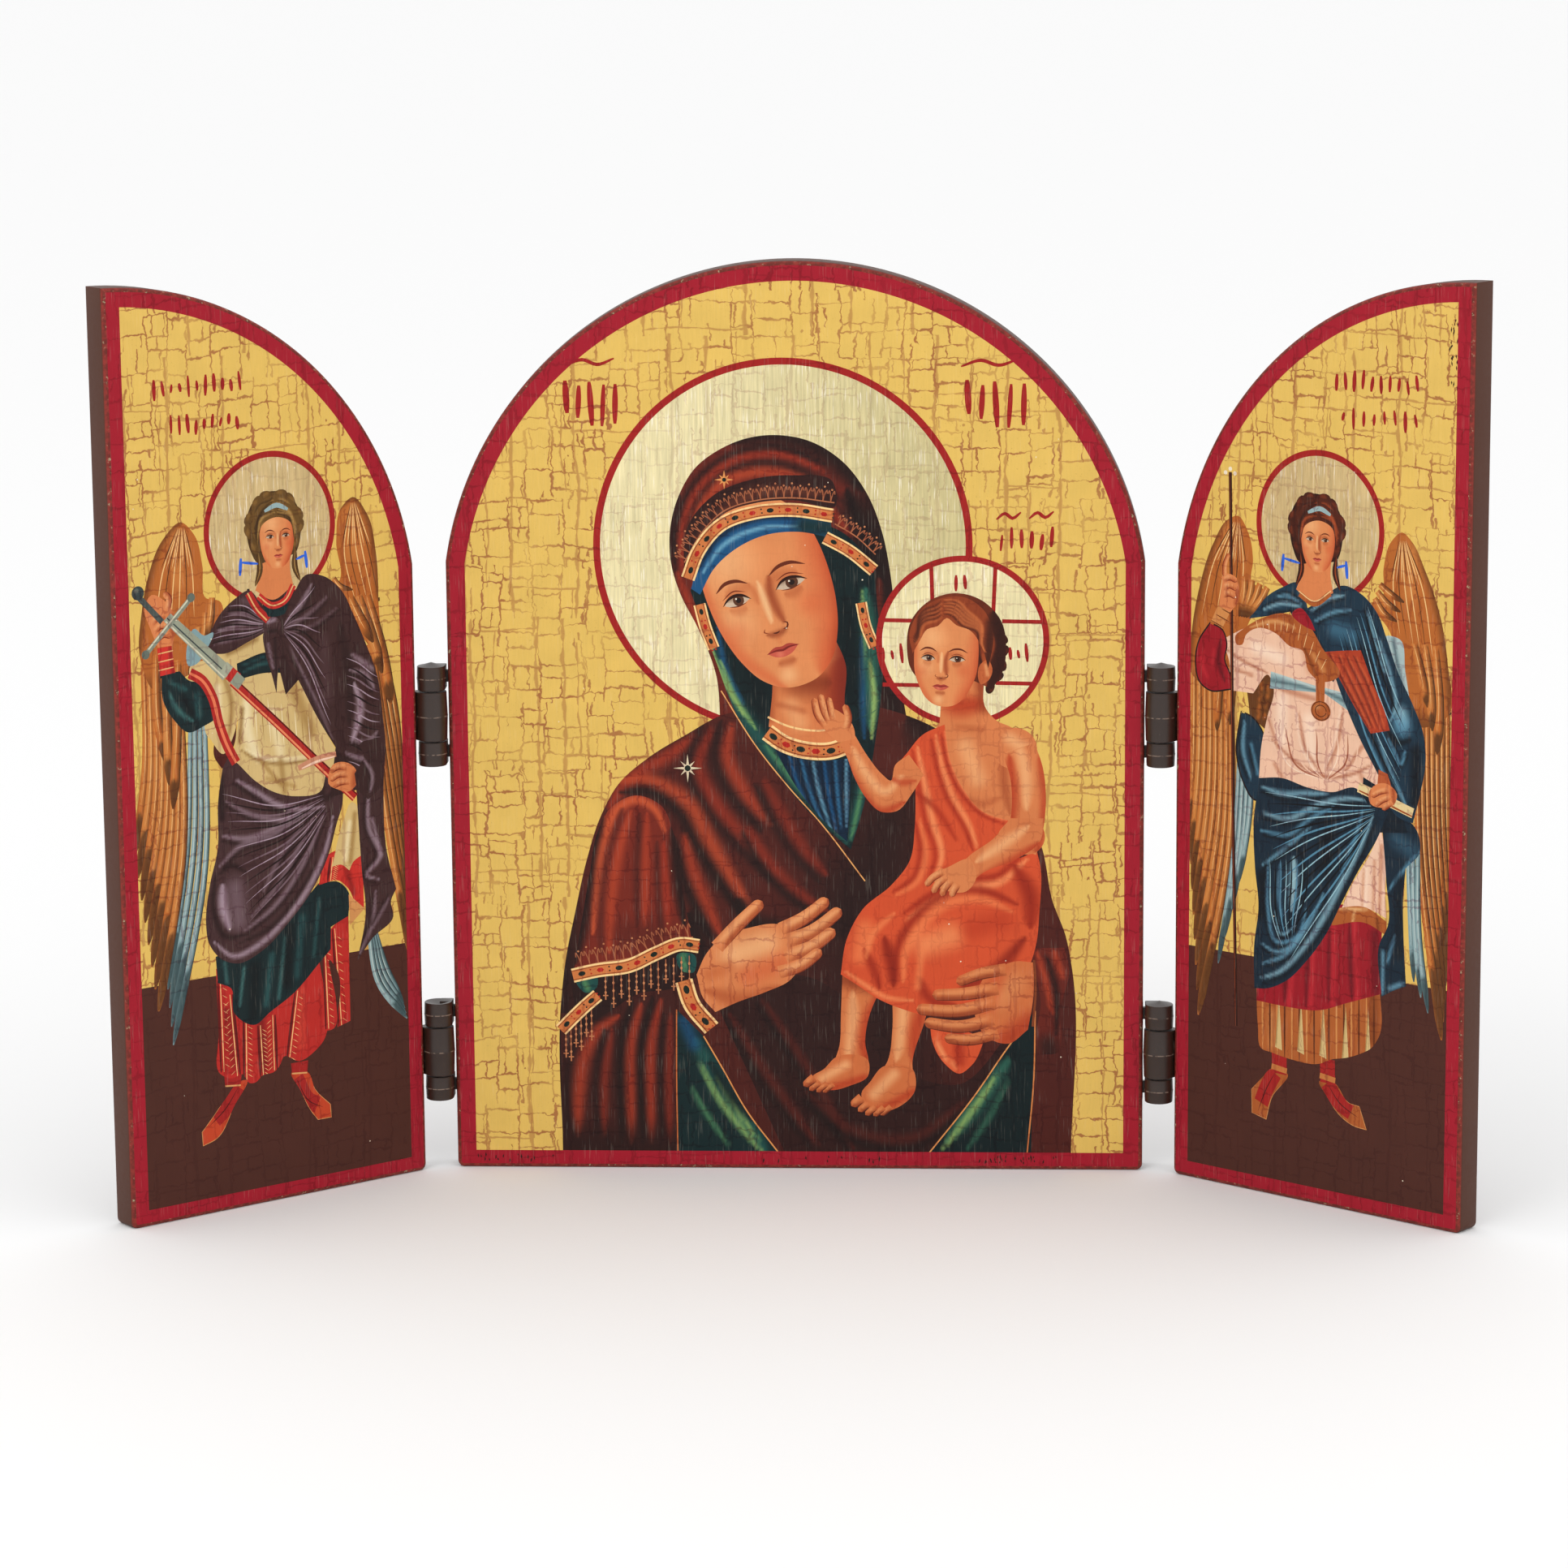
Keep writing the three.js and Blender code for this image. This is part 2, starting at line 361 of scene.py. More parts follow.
class Picture:  # painted areas, the last one on top; each has a paint and soft strokes of its own
    border, ground = 0, 1  # the first two areas; whatever comes after them is cut off at the ground's edge
    fine = 0.3  # the closest spacing of the points inside an area
    cracked = 0.62  # how far the crackle shows, where an area doesn't say

    def __init__(self, outline, inner):
        self.areas = []
        self.area(outline, ("border", 0), grid=3.0, crackle=0.6)
        self.area(inner, ("ground", 0.5), grid=3.0, crackle=1.0)

    def area(self, shape, paint, strokes=(), grid=1.2, within=None, leaf=0.0, crackle=None, step=1.0,
             rim=None):
        if isinstance(shape, list):
            shape = smoothLine(shape, closed=True, step=step)
        if rim:  # a dark line half hidden under the area's edge
            self.line(np.vstack([shape, shape[:2]]), 0.8, rim)
        item = {"shape": facingUp(shape), "paint": paint, "strokes": list(strokes), "grid": grid}
        item.update(within=within, leaf=leaf, crackle=self.cracked if crackle is None else crackle)
        self.areas.append(item)
        return len(self.areas) - 1

    def line(self, points, width, paint, taper=0.0, step=1.0, **more):
        path = smoothLine(points, step=step) if isinstance(points, list) else points
        return self.area(ribbon(path, width, taper), paint, grid=3.0, **more)

    def shows(self, index, covered):  # whether an area counts where only these areas cover
        parent = self.areas[index]["within"]
        if index <= self.ground or parent == self.border:
            return True
        return self.ground in covered and (parent is None or parent in covered)

    def colours(self, index, spots):
        item = self.areas[index]
        family, level = item["paint"]
        tint = np.tile(tone(family, level), (len(spots), 1))
        for paint, width, strength, *points in item["strokes"]:
            target = tone(*paint) if isinstance(paint, tuple) else tone(family, paint)
            if isinstance(width, str):  # a fade from the first point to the second
                start, end = np.array(points[0], float), np.array(points[1], float)
                share = np.clip((spots - start) @ (end - start) / ((end - start) @ (end - start)), 0, 1)
                weight = strength * share
            else:
                bent = len(points) > 2
                line = smoothLine(points, step=1.5) if bent else np.array(points * (3 - len(points)), float)
                weight = strength * brushWeight(spots, line, width, bent)
            tint += weight[:, None] * (target - tint)
        return tint

    def fillSpots(self, low, high):  # points inside the areas, closer together where an area asks for it
        fine = self.fine
        size = ((high - low) / fine).astype(int) + 1
        best = np.full((size[1], size[0]), -1)
        parents = {item["within"] for item in self.areas} | {self.ground}
        covers = {}
        for index, item in enumerate(self.areas):
            (column, row), mask = insideLattice(item["shape"], low, fine, size)
            window = (slice(row, row + mask.shape[0]), slice(column, column + mask.shape[1]))
            limits = {self.ground, item["within"]} - {None}
            if item["within"] == self.border:
                limits = {self.border}
            for parent in limits:
                if index > self.ground:
                    mask = mask & covers[parent][window]
            if index in parents:
                covers[index] = np.zeros(best.shape, bool)
                covers[index][window] = mask
            best[window][mask] = index
        every = np.array([max(1, round(item["grid"] / fine)) for item in self.areas])[best]
        rows, columns = np.indices(best.shape)
        stagger = rows // every % 2 * (every // 2)
        kept = (best >= 0) & (rows % every == 0) & ((columns + stagger) % every == 0)
        return low + np.stack([columns[kept], rows[kept]], 1) * fine


# the boards: an arched plank with a rounded rim, its front cut up along the painted shapes

planeStep = 100  # millimetres in one step of the boards' UV map
boardSizes = {
    "archRadius": 87.0, "footRadius": 1.6, "rimRadius": 1.0, "wornFoot": 2.6, "rimSteps": 6, "footSteps": 5,
    "archSteps": 96, "slotLevels": (30.6, 115.9), "forkSlot": 12.75, "tongueSlot": 6.4, "slotNear": 1.4,
    "slotFar": 3.6, "slotDeep": 8.3, "mergeReach": 0.002, "sharpAngle": 0.7,
}


def boardPlace(node, side):  # the painted plane of a board and its own directions
    mesh = frame["nodes"][node].data
    spots = np.array([vertex.co for vertex in mesh.vertices])
    facing = [face for face in mesh.polygons if face.normal.y < -0.3]
    outward = np.array(max(facing, key=lambda face: face.area).normal)
    right = np.array((-outward[1], outward[0], 0))
    along, depth = spots @ right, spots @ outward
    hingeEdge = {-1: along.max(), 0: (along.min() + along.max()) / 2, 1: along.min()}[side]
    return {"side": side, "right": right, "outward": outward,
            "origin": right * hingeEdge + outward * depth.max() + np.array((0, 0, spots[:, 2].min())),
            "width": np.ptp(along) / mm, "height": np.ptp(spots[:, 2]) / mm, "thick": np.ptp(depth) / mm}


def boardOutline(place, half, inset=0.0, bottom=0.0, foot=0.0):  # anticlockwise, seen from the front
    radius = boardSizes["archRadius"] - inset
    centreZ = place["height"] - boardSizes["archRadius"]
    spring = math.acos((half - inset) / radius)
    single = place["side"] == 0
    outer = half - inset if single else place["width"] - inset
    inner = -outer if single else inset
    archX = 0 if single else half
    top = spring if single else math.acos((outer - half) / radius)
    points = []
    for x, way in ((outer, 1), (inner, -1)):
        steps = boardSizes["footSteps"] if foot else 0
        arc = np.arange(steps + 1) * math.pi / 2 / max(steps, 1)
        arc = arc if way > 0 else arc[::-1]
        points.append(np.stack([x - way * foot * (1 - np.sin(arc)), bottom + foot * (1 - np.cos(arc))], 1))
    archSteps = boardSizes["archSteps"] if single else boardSizes["archSteps"] // 2
    angles = np.linspace(top, math.pi - spring, archSteps)
    arch = np.stack([archX + radius * np.cos(angles), centreZ + radius * np.sin(angles)], 1)
    outline = np.vstack([points[0], arch, points[1]])
    if place["side"] < 0:
        outline = (outline * (-1, 1))[::-1]
    return outline


def insetLoop(outline, distance):  # moved inwards, corners mitred; the distance may differ along it
    ahead = np.roll(outline, -1, axis=0) - outline
    ahead /= np.hypot(*ahead.T)[:, None]
    after = np.stack([-ahead[:, 1], ahead[:, 0]], 1)
    before = np.roll(after, 1, axis=0)
    mitre = (before + after) / (1 + (before * after).sum(1))[:, None]
    return outline + mitre * np.broadcast_to(distance, len(outline))[:, None]


def markSlots(outline, place):  # corners where the hinge slots begin and end; also the segments between them
    sizes = boardSizes
    reach = sizes["tongueSlot"] if place["side"] else sizes["forkSlot"]
    stops = sorted(level + way * reach for level in sizes["slotLevels"] for way in (-1, 1))
    spots, marked = [], []
    for spot, ahead in zip(outline, np.roll(outline, -1, axis=0)):
        spots.append(spot)
        straight = abs(spot[0] - ahead[0]) < 1e-6 and abs(spot[1] - ahead[1]) > 100
        if straight and (not place["side"] or abs(spot[0]) < 1e-6):
            marked += [len(spots), len(spots) + 2]
            spots += [(spot[0], z) for z in (stops if ahead[1] > spot[1] else stops[::-1])]
    return np.array(spots), marked


# the wall between two rings, with a pocket in each marked segment
def cutSlots(corners, faces, near, far, count, marked):
    depths = (boardSizes["slotNear"], boardSizes["slotFar"])
    opened = {}
    for i in marked:
        for k in (i, i + 1):
            flat = corners[near + k][:2]
            side = flat[0] if abs(flat[0]) > 1 else -corners[:, 0].mean()
            inner = flat - (math.copysign(boardSizes["slotDeep"], side), 0)
            opened[k] = [len(corners) + n for n in range(4)]
            corners = np.vstack([corners, *((*spot, depth) for spot in (flat, inner) for depth in depths)])
    for i in range(count):
        j = (i + 1) % count
        if i in marked:
            (ni, fi, nearI, farI), (nj, fj, nearJ, farJ) = opened[i], opened[j]
            faces += [(near + j, near + i, ni, nj), (fj, fi, far + i, far + j), (nj, ni, nearI, nearJ),
                      (fi, fj, farJ, farI), (ni, fi, farI, nearI), (fj, nj, nearJ, farJ),
                      (nearJ, nearI, farI, farJ)]
        else:
            after, before = opened.get(i, [])[:2], opened.get(j, [])[:2]
            faces.append((near + j, near + i, *after, far + i, far + j, *before[::-1]))
    return corners


def cutFront(picture, edge):  # the front face as triangles, each in the topmost painted area
    picture.areas[picture.border]["shape"] = edge
    shapes = [item["shape"] for item in picture.areas]
    corners, faces = [], []
    for shape in shapes:
        faces.append(list(range(len(corners), len(corners) + len(shape))))
        corners.extend(Vector(spot) for spot in shape.tolist())
    inside = picture.fillSpots(edge.min(0), edge.max(0))
    corners.extend(Vector(spot) for spot in inside.tolist())
    spots, _, triangles, _, _, origins = delaunay_2d_cdt(corners, [], faces, 0, 1e-4, True)
    kept = []
    for face, origin in zip(triangles, origins):
        if picture.border in origin:
            kept.append((face, max(index for index in origin if picture.shows(index, origin))))
    used, corners = np.unique([face for face, _ in kept], return_inverse=True)
    faces = corners.reshape(-1, 3).tolist()
    return np.array([tuple(spots[k]) for k in used]), list(zip(map(tuple, faces), (k for _, k in kept)))


# the rings from the front's edge round both rims to the back, and their depths
def shellLoops(outline, place):
    rim, thick = boardSizes["rimRadius"], place["thick"]
    arc = np.arange(boardSizes["rimSteps"] + 1) * math.pi / 2 / boardSizes["rimSteps"]
    backRim = np.full(len(outline), rim)
    if place["side"] > 0:
        backRim[outline[:, 1] < 0.01] = boardSizes["wornFoot"]
    front = [
        (insetLoop(outline, rim * (1 - math.sin(a))),
         np.full(len(outline), rim * (1 - math.cos(a)))) for a in arc
    ]
    back = [
        (insetLoop(outline, backRim * (1 - math.sin(a))),
         thick - backRim * (1 - math.cos(a))) for a in arc[::-1]
    ]
    return front + back


# corners across, up and inwards, then faces, then the area of each front face
def boardShape(place, half, picture):
    outline, marked = markSlots(boardOutline(place, half, foot=boardSizes["footRadius"]), place)
    loops = shellLoops(outline, place)
    spots, front = cutFront(picture, loops[0][0])
    rings = [np.column_stack([flat, depth]) for flat, depth in loops]
    corners = np.vstack([np.column_stack([spots, np.zeros(len(spots))]), *rings])
    faces = [face for face, _ in front]
    base, count = len(spots), len(outline)
    for k in range(len(loops) - 1):
        near, far = base + k * count, base + (k + 1) * count
        corners = cutSlots(corners, faces, near, far, count, marked if k == boardSizes["rimSteps"] else [])
    faces.append(tuple(base + (len(loops) - 1) * count + i for i in reversed(range(count))))
    return corners, faces, [index for _, index in front]


# paint and finish on every corner of a face, and the flat UV map
def colourBoard(mesh, corners, owners, picture):
    paint = np.ones((len(mesh.loops), 4), np.float32)
    finish = np.zeros((len(mesh.loops), 4), np.float32)  # leaf, crackle and how near the front's rim
    owner = np.full(len(mesh.loops), -1)
    owner[: 3 * len(owners)] = np.repeat(owners, 3)
    at = np.zeros(len(mesh.loops), int)
    mesh.loops.foreach_get("vertex_index", at)
    for index in np.unique(owner[owner >= 0]):
        mine = np.flatnonzero(owner == index)
        used, back = np.unique(at[mine], return_inverse=True)
        paint[mine, :3] = linear(picture.colours(index, corners[used, :2])[back])
        finish[mine, 0] = picture.areas[index]["leaf"]
        finish[mine, 1] = picture.areas[index]["crackle"]
    rest = owner < 0
    paint[rest, :3] = linear(tone("edge", 0.5))
    finish[rest, 2] = np.clip(1 - corners[at[rest], 2] / boardSizes["rimRadius"], 0, 1)
    for title, values in (("paint", paint), ("finish", finish)):
        layer = mesh.attributes.new(title, "FLOAT_COLOR", "CORNER")
        layer.data.foreach_set("color", values.ravel())
    flat = mesh.uv_layers.new(name="boardPlane")
    flat.data.foreach_set("uv", (corners[at, :2] / planeStep).astype(np.float32).ravel())


# merged corners, and smooth shading everywhere but at the front's edge and round the slots
def softenRims(mesh):
    build = bmesh.new()
    build.from_mesh(mesh)
    bmesh.ops.remove_doubles(build, verts=build.verts, dist=boardSizes["mergeReach"] * mm)
    for seam in build.edges:
        kinds = {face.material_index for face in seam.link_faces}
        large = any(len(face.verts) > 8 for face in seam.link_faces)
        seam.smooth = len(kinds) == 1 and not large and seam.calc_face_angle(0) < boardSizes["sharpAngle"]
    build.to_mesh(mesh)
    build.free()


def makeBoard(name, node, body, place, half, picture, materials):
    corners, faces, owners = boardShape(place, half, picture)
    x, z, depth = (corners[:, k : k + 1] * mm for k in range(3))
    placed = place["origin"] + x * place["right"] + z * np.array((0, 0, 1)) - depth * place["outward"]
    mesh = bpy.data.meshes.new(name)
    mesh.from_pydata(placed.tolist(), [], faces)
    colourBoard(mesh, corners, owners, picture)
    for material in materials:
        mesh.materials.append(material)
    slots = np.ones(len(mesh.polygons), np.int32)
    slots[: len(owners)] = 0
    mesh.polygons.foreach_set("material_index", slots)
    mesh.polygons.foreach_set("use_smooth", slots == 1)
    mesh.update()
    softenRims(mesh)
    board = bpy.data.objects.new(name, mesh)
    bpy.context.collection.objects.link(board)
    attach(board, body)
    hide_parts(node)
    print("board", name, len(mesh.polygons), "faces")


# finishes

def attributeParts(tool, name):  # an attribute's three channels
    source = tool.node("ShaderNodeAttribute", {"attribute_name": name})
    split = tool.node("ShaderNodeSeparateColor", None, {0: source}).socket.node
    return [Wire(tool.tree, split.outputs[k]) for k in range(3)]


def crackNet(spot, net):  # brick-like cracks: uprights, level cracks between them, short ones between those
    axes = spot.node("ShaderNodeSeparateXYZ", None, {0: spot})
    up = Wire(spot.tree, axes.socket.node.outputs[1])

    def shaken(value, shift):
        near = spot.moved(shift, net["seed"])
        return value + (near.noise(0.045) - 0.5) * net["wander"] + (near.noise(0.6, 3) - 0.5) * net["shake"]

    def split(value, size, seed):  # the distance to a cell's crack, the block beside it, and the cell
        run = value / size + seed.dice(seed, net["seed"]) * 9
        cell = run.floor()
        share = run - cell
        place = cell.dice(seed, 4.2) * 0.7 + 0.15
        return share.distance(place) * size, cell + (share > place), cell

    def crackLine(away, width):
        return 1 - away.between(width * 0.35, width)

    x, z = shaken(axes, 0), shaken(up, 300)
    row = (z / net["row"]).floor()
    upright, column, _ = split(x, net["column"], row)
    column = column + row * 31.7
    level, block, levelCell = split(z, net["level"], column)
    block = block + column * 7.3
    short, _, shortCell = split(x, net["short"], block)
    fine = spot.moved(0, net["seed"]).noise(0.3, 2).between(0.25, 0.75)
    lines = crackLine(upright, fine * net["width"] + 0.1)
    keepLevel = levelCell.dice(column, 2.7) > net["spared"]
    lines = lines.maths("MAXIMUM", lines, crackLine(level, fine * net["fine"] + 0.05) * keepLevel)
    keepShort = shortCell.dice(block, 6.1) > 0.45
    return lines.maths("MAXIMUM", lines, crackLine(short, fine * net["fine"]) * keepShort)


def makePictureFinish():  # satin varnished paint and leaf over a grained, crackled ground
    look = {"rough": 0.45, "leafRough": 0.34, "leafMetal": 0.6, "grain": 0.014, "groove": 0.03,
            "leafGrain": 0.05, "gloss": 0.16, "stain": (150, 88, 50), "shine": (255, 247, 226)}
    wideNet = {"column": 17.0, "row": 70.0, "level": 21.0, "short": 19.0, "wander": 4.0, "shake": 0.7,
               "width": 0.85, "fine": 0.5, "spared": 0.4, "seed": 11.0}
    fineNet = {"column": 7.4, "row": 17.0, "level": 4.4, "short": 4.2, "wander": 5.0, "shake": 2.0,
               "width": 0.42, "fine": 0.5, "spared": 0.14, "seed": 57.0}
    material, tool, surface = newMaterial("picturePaint")
    flat = tool.node("ShaderNodeUVMap", {"uv_map": "boardPlane"})
    spot = flat.stretched(planeStep, planeStep)
    paint = tool.node("ShaderNodeAttribute", {"attribute_name": "paint"})
    leaf, cracking, _ = attributeParts(tool, "finish")
    uprights = crackNet(spot, wideNet)
    patchy = spot.noise(0.07, 2).between(0.3, 0.62) * 0.6 + 0.4
    crackle = uprights.maths("MAXIMUM", uprights * 0.6, crackNet(spot, fineNet) * patchy) * cracking
    streaks = spot.stretched(1.7, 0.07).noise(1.0, 3)
    grain = spot.stretched(5, 0.3).noise(1.0, 3, 0.6)
    cloud, speck = spot.noise(0.12, 3), spot.noise(1.6, 3, 0.7)
    mottle = (cloud - 0.5) * 0.2 + (grain - 0.5) * 0.14 + (streaks - 0.5) * (leaf * 0.7 + 0.1) + 1
    toned = shaded(tool, paint, mottle)
    aged = speck.between(0.62, 0.74) * 0.4 * cracking
    toned = aged.mixed(toned, rgba(look["stain"]), "MULTIPLY")
    toned = crackle.mixed(toned, rgba(tone("crack", 0)), "MULTIPLY")
    # painted highlights: thin pale vertical glints mixed into the colour, strong on the leaf and faint on
    # crackled paint, standing in for light caught on the varnish ridges
    paintedGlints = spot.stretched(2.8, 0.13).noise(1.0, 2).between(0.58, 0.68) * cloud.between(0.35, 0.55)
    toned = (paintedGlints * (leaf * 0.69 + cracking.between(0.4, 0.6) * 0.04)).mixed(toned, rgba(look["shine"]))
    plug(tool, surface, "Base Color", toned)
    plug(tool, surface, "Metallic", leaf * look["leafMetal"])
    plug(tool, surface, "Specular IOR Level", look["gloss"])
    rough = leaf * (look["leafRough"] - look["rough"]) + look["rough"] + (grain - 0.5) * 0.2
    plug(tool, surface, "Roughness", rough)
    streaky = leaf * look["leafGrain"] + look["grain"]
    height = streaks * streaky + grain * look["grain"] - crackle * look["groove"]
    plugHeight(tool, surface, height)
    return material


def makeEdgeFinish():  # brown paint on the sides and backs, rubbed and chipped along the rims
    look = {"rough": 0.5, "roller": 0.01, "dents": 0.05, "gloss": 0.2, "rim": (140, 48, 40)}
    material, tool, surface = newMaterial("edgePaint")
    spot = millimetres(tool)
    _, _, rim = attributeParts(tool, "finish")
    cloud = spot.noise(0.06, 3)
    fine = spot.noise(0.9, 4, 0.6)
    base = (cloud - 0.5) * 0.25 + (fine - 0.5) * 0.12 + 1
    brown = shaded(tool, linear(tone("edge", 0.5)).tolist(), base)
    brown = rim.between(0.15, 0.6).mixed(brown, rgba(look["rim"]))
    rubbed = rim * fine.between(0.35, 0.6)
    brown = (rubbed * 0.6).mixed(brown, rgba(tone("edge", 0)))
    chips = rim.between(0.25, 0.9) * spot.noise(0.8, 4, 0.7).between(0.6, 0.68)
    brown = chips.mixed(brown, rgba(tone("edge", 1)))
    plug(tool, surface, "Base Color", brown)
    plug(tool, surface, "Specular IOR Level", look["gloss"])
    plug(tool, surface, "Roughness", (fine - 0.5) * 0.25 + look["rough"])
    height = fine * look["roller"] + cloud * look["dents"] - chips * look["dents"]
    plugHeight(tool, surface, height)
    return material


# what the figures share: faces, hands, folds, trims

class Face:  # a head seen nearly from the front, in shares of its size from chin to crown
    radius, eyeReach, cracked = 0.36, 0.14, 0.06
    circle, smallTurn, largeTurn = 6.3, 0.524, 1.047  # in radians; twelve and six corners to a disc

    def __init__(self, picture, x, z, size, tilt, turn, grid):  # x, z is midway between the eyes
        self.picture, self.size, self.grid = picture, size, grid
        self.x, self.z = x, z
        self.c, self.s = math.cos(math.radians(tilt)), math.sin(math.radians(tilt))
        self.lean = math.radians(turn)

    def put(self, u, v):
        return self.x + (u * self.c - v * self.s) * self.size, self.z + (u * self.s + v * self.c) * self.size

    def at(self, u, v):  # on the rounded front of the head
        return self.put(self.radius * math.sin(math.asin(u / self.radius) + self.lean), v)

    def brush(self, level, width, strength, *points):
        return (level, width * self.size, strength, *(self.at(*point) for point in points))

    def patch(self, points, paint, strokes=()):
        shape = [(*self.at(*point[:2]), *point[2:]) for point in points]
        more = {"within": self.skin, "crackle": self.cracked, "step": self.size * 0.012}
        return self.picture.area(shape, paint, strokes, grid=self.grid, **more)

    def stroke(self, points, width, paint):
        path = smoothLine([self.at(*point) for point in points], step=self.size * 0.012)
        self.picture.line(path, width * self.size, paint, taper=1.0, within=self.skin, crackle=self.cracked)

    def disc(self, u, v, reach, step, paint, within, crackle):  # step is the turn between its corners
        turns = [k * step for k in range(int(self.circle / step))]
        corners = [self.at(u + reach * math.cos(turn), v + reach * math.sin(turn)) for turn in turns]
        self.picture.area(np.array(corners), paint, grid=self.grid, within=within, crackle=crackle)


def drawMouth(face, level):
    upper = [(-0.082, level, 1), (-0.03, level + 0.021), (0, level + 0.015), (0.03, level + 0.021),
             (0.082, level, 1)]
    lower = [(-0.082, level, 1), (-0.04, level - 0.03), (0, level - 0.038), (0.04, level - 0.03),
             (0.082, level, 1)]
    face.patch(upper + [(0, level - 0.008)], ("lip", 0.35))
    shine = face.brush(1.0, 0.03, 0.8, (-0.02, level - 0.02))
    face.patch(lower + [(0, level + 0.002)], ("lip", 0.62), [shine])
    between = [(-0.085, level - 0.002), (-0.03, level + 0.002), (0, level - 0.004), (0.03, level + 0.002),
               (0.085, level - 0.002)]
    face.stroke(between, 0.011, ("lip", 0.0))


def drawEye(face, side):
    def mirrored(*points):
        return [(side * (face.eyeReach + point[0]), *point[1:]) for point in points]

    white = mirrored((-0.07, -0.008, 1), (-0.035, 0.018), (0, 0.026), (0.04, 0.018), (0.072, -0.006, 1),
                     (0.035, -0.022), (0, -0.026), (-0.035, -0.022))
    lidShade = face.brush(("eye", 0.55), 0.03, 0.6, *mirrored((-0.06, 0.015), (0, 0.025), (0.06, 0.015)))
    eye = face.patch(white, ("eye", 0.9), [lidShade])
    gaze = side * face.eyeReach + 0.01
    for reach, paint in ((0.03, ("eye", 0.45)), (0.014, ("eye", 0.0))):
        face.disc(gaze, 0.001, reach, face.smallTurn, paint, eye, 0.2)
    face.disc(gaze - 0.01, 0.011, 0.005, face.largeTurn, ("pale", 1.0), eye, 0.0)
    face.stroke(mirrored((-0.075, -0.012), (-0.035, 0.02), (0, 0.028), (0.04, 0.02), (0.082, -0.006)), 0.015,
                ("hair", 0.0))
    face.stroke(mirrored((-0.05, -0.022), (0, -0.028), (0.05, -0.018)), 0.006, ("skin", 0.1))
    face.stroke(mirrored((-0.06, 0.03), (0, 0.05), (0.075, 0.022)), 0.007, ("skin", 0.15))
    brow = mirrored((-0.085, 0.066), (-0.03, 0.095), (0.03, 0.098), (0.095, 0.066))
    face.stroke(brow, 0.019, ("hair", 0.35))


def drawNose(face, lift):
    wing = [(0.045, -0.17 + lift), (0.066, -0.18 + lift), (0.06, -0.2 + lift), (0.036, -0.205 + lift)]
    face.stroke(wing, 0.009, ("skin", 0.05))
    farWing = [(-0.05, -0.178 + lift), (-0.06, -0.193 + lift), (-0.038, -0.203 + lift)]
    face.stroke(farWing, 0.007, ("skin", 0.2))
    face.stroke([(-0.02, -0.208 + lift), (0, -0.214 + lift), (0.02, -0.208 + lift)], 0.008, ("skin", 0.0))


def drawFace(picture, x, z, size, tilt=0.0, turn=0.0, grid=0.35, shadow=0.8, low=0.0):
    face = Face(picture, x, z, size, tilt, turn, grid)  # low drops the features, as on a child
    jaw = [(0, -0.5 + low), (0.085, -0.487 + low), (0.18, -0.42 + low), (0.25, -0.3 + low), (0.292, -0.16),
           (0.31, 0), (0.305, 0.15), (0.27, 0.3), (0.18, 0.42), (0, 0.47)]
    shift = face.radius * math.sin(face.lean) * 0.35
    outline = [face.put(u + shift, v) for u, v in jaw + [(-u, v) for u, v in jaw[-2:0:-1]]]
    lift = low * 0.7
    strokes = [
        face.brush(0.84, 0.24, 0.9, (-0.12, 0.2)), face.brush(0.84, 0.15, 0.8, (-0.17, -0.11 + lift)),
        (("glow", 0.85), 0.24 * size, shadow, face.put(0.3, 0.42), face.put(0.33, 0.1), face.put(0.3, -0.2),
         face.put(0.1, -0.5)),
        (("glow", 0.3), 0.13 * size, shadow, face.put(0.36, 0.4), face.put(0.37, 0.1), face.put(0.32, -0.24),
         face.put(0.14, -0.52)),
        (("glow", 0.9), 0.07 * size, 0.5, face.put(-0.31, 0.2), face.put(-0.33, -0.02),
         face.put(-0.28, -0.24), face.put(-0.1, -0.5)),
        face.brush(("glow", 0.95), 0.11, 0.4, (0.2, -0.13 + lift)),
        face.brush(("glow", 0.95), 0.1, 0.35, (-0.2, -0.15 + lift)),
        face.brush(0.4, 0.075, 0.5, (0.05, 0.06), (0.11, 0.045), (0.19, 0.04)),
        face.brush(0.4, 0.075, 0.45, (-0.05, 0.06), (-0.11, 0.045), (-0.19, 0.04)),
        face.brush(0.36, 0.05, 0.5, (0.1, -0.045), (0.14, -0.052), (0.19, -0.035)),
        face.brush(0.4, 0.05, 0.4, (-0.1, -0.045), (-0.14, -0.052), (-0.19, -0.035)),
        face.brush(0.25, 0.045, 0.75, (0.055, 0.07), (0.036, -0.03), (0.045, -0.13 + lift),
                   (0.055, -0.18 + lift)),
        face.brush(0.45, 0.03, 0.5, (-0.05, 0.06), (-0.036, 0), (-0.04, -0.05)),
        face.brush(0.97, 0.03, 0.8, (-0.004, 0.06), (-0.004, -0.06), (-0.006, -0.165 + lift)),
        face.brush(0.2, 0.032, 0.7, (-0.05, -0.208 + lift), (0, -0.222 + lift), (0.055, -0.205 + lift)),
        face.brush(0.3, 0.04, 0.6, (-0.05, -0.362 + low), (0, -0.37 + low), (0.05, -0.362 + low)),
        face.brush(0.88, 0.075, 0.8, (-0.015, -0.43 + low)),
        face.brush(0.5, 0.02, 0.4, (0, -0.235 + lift), (0, -0.262 + lift)),
    ]
    face.skin = picture.area(outline, ("skin", 0.68), strokes, grid=grid, crackle=face.cracked)
    drawMouth(face, -0.3 + low * 0.9)
    for side in (-1, 1):
        drawEye(face, side)
    drawNose(face, lift)


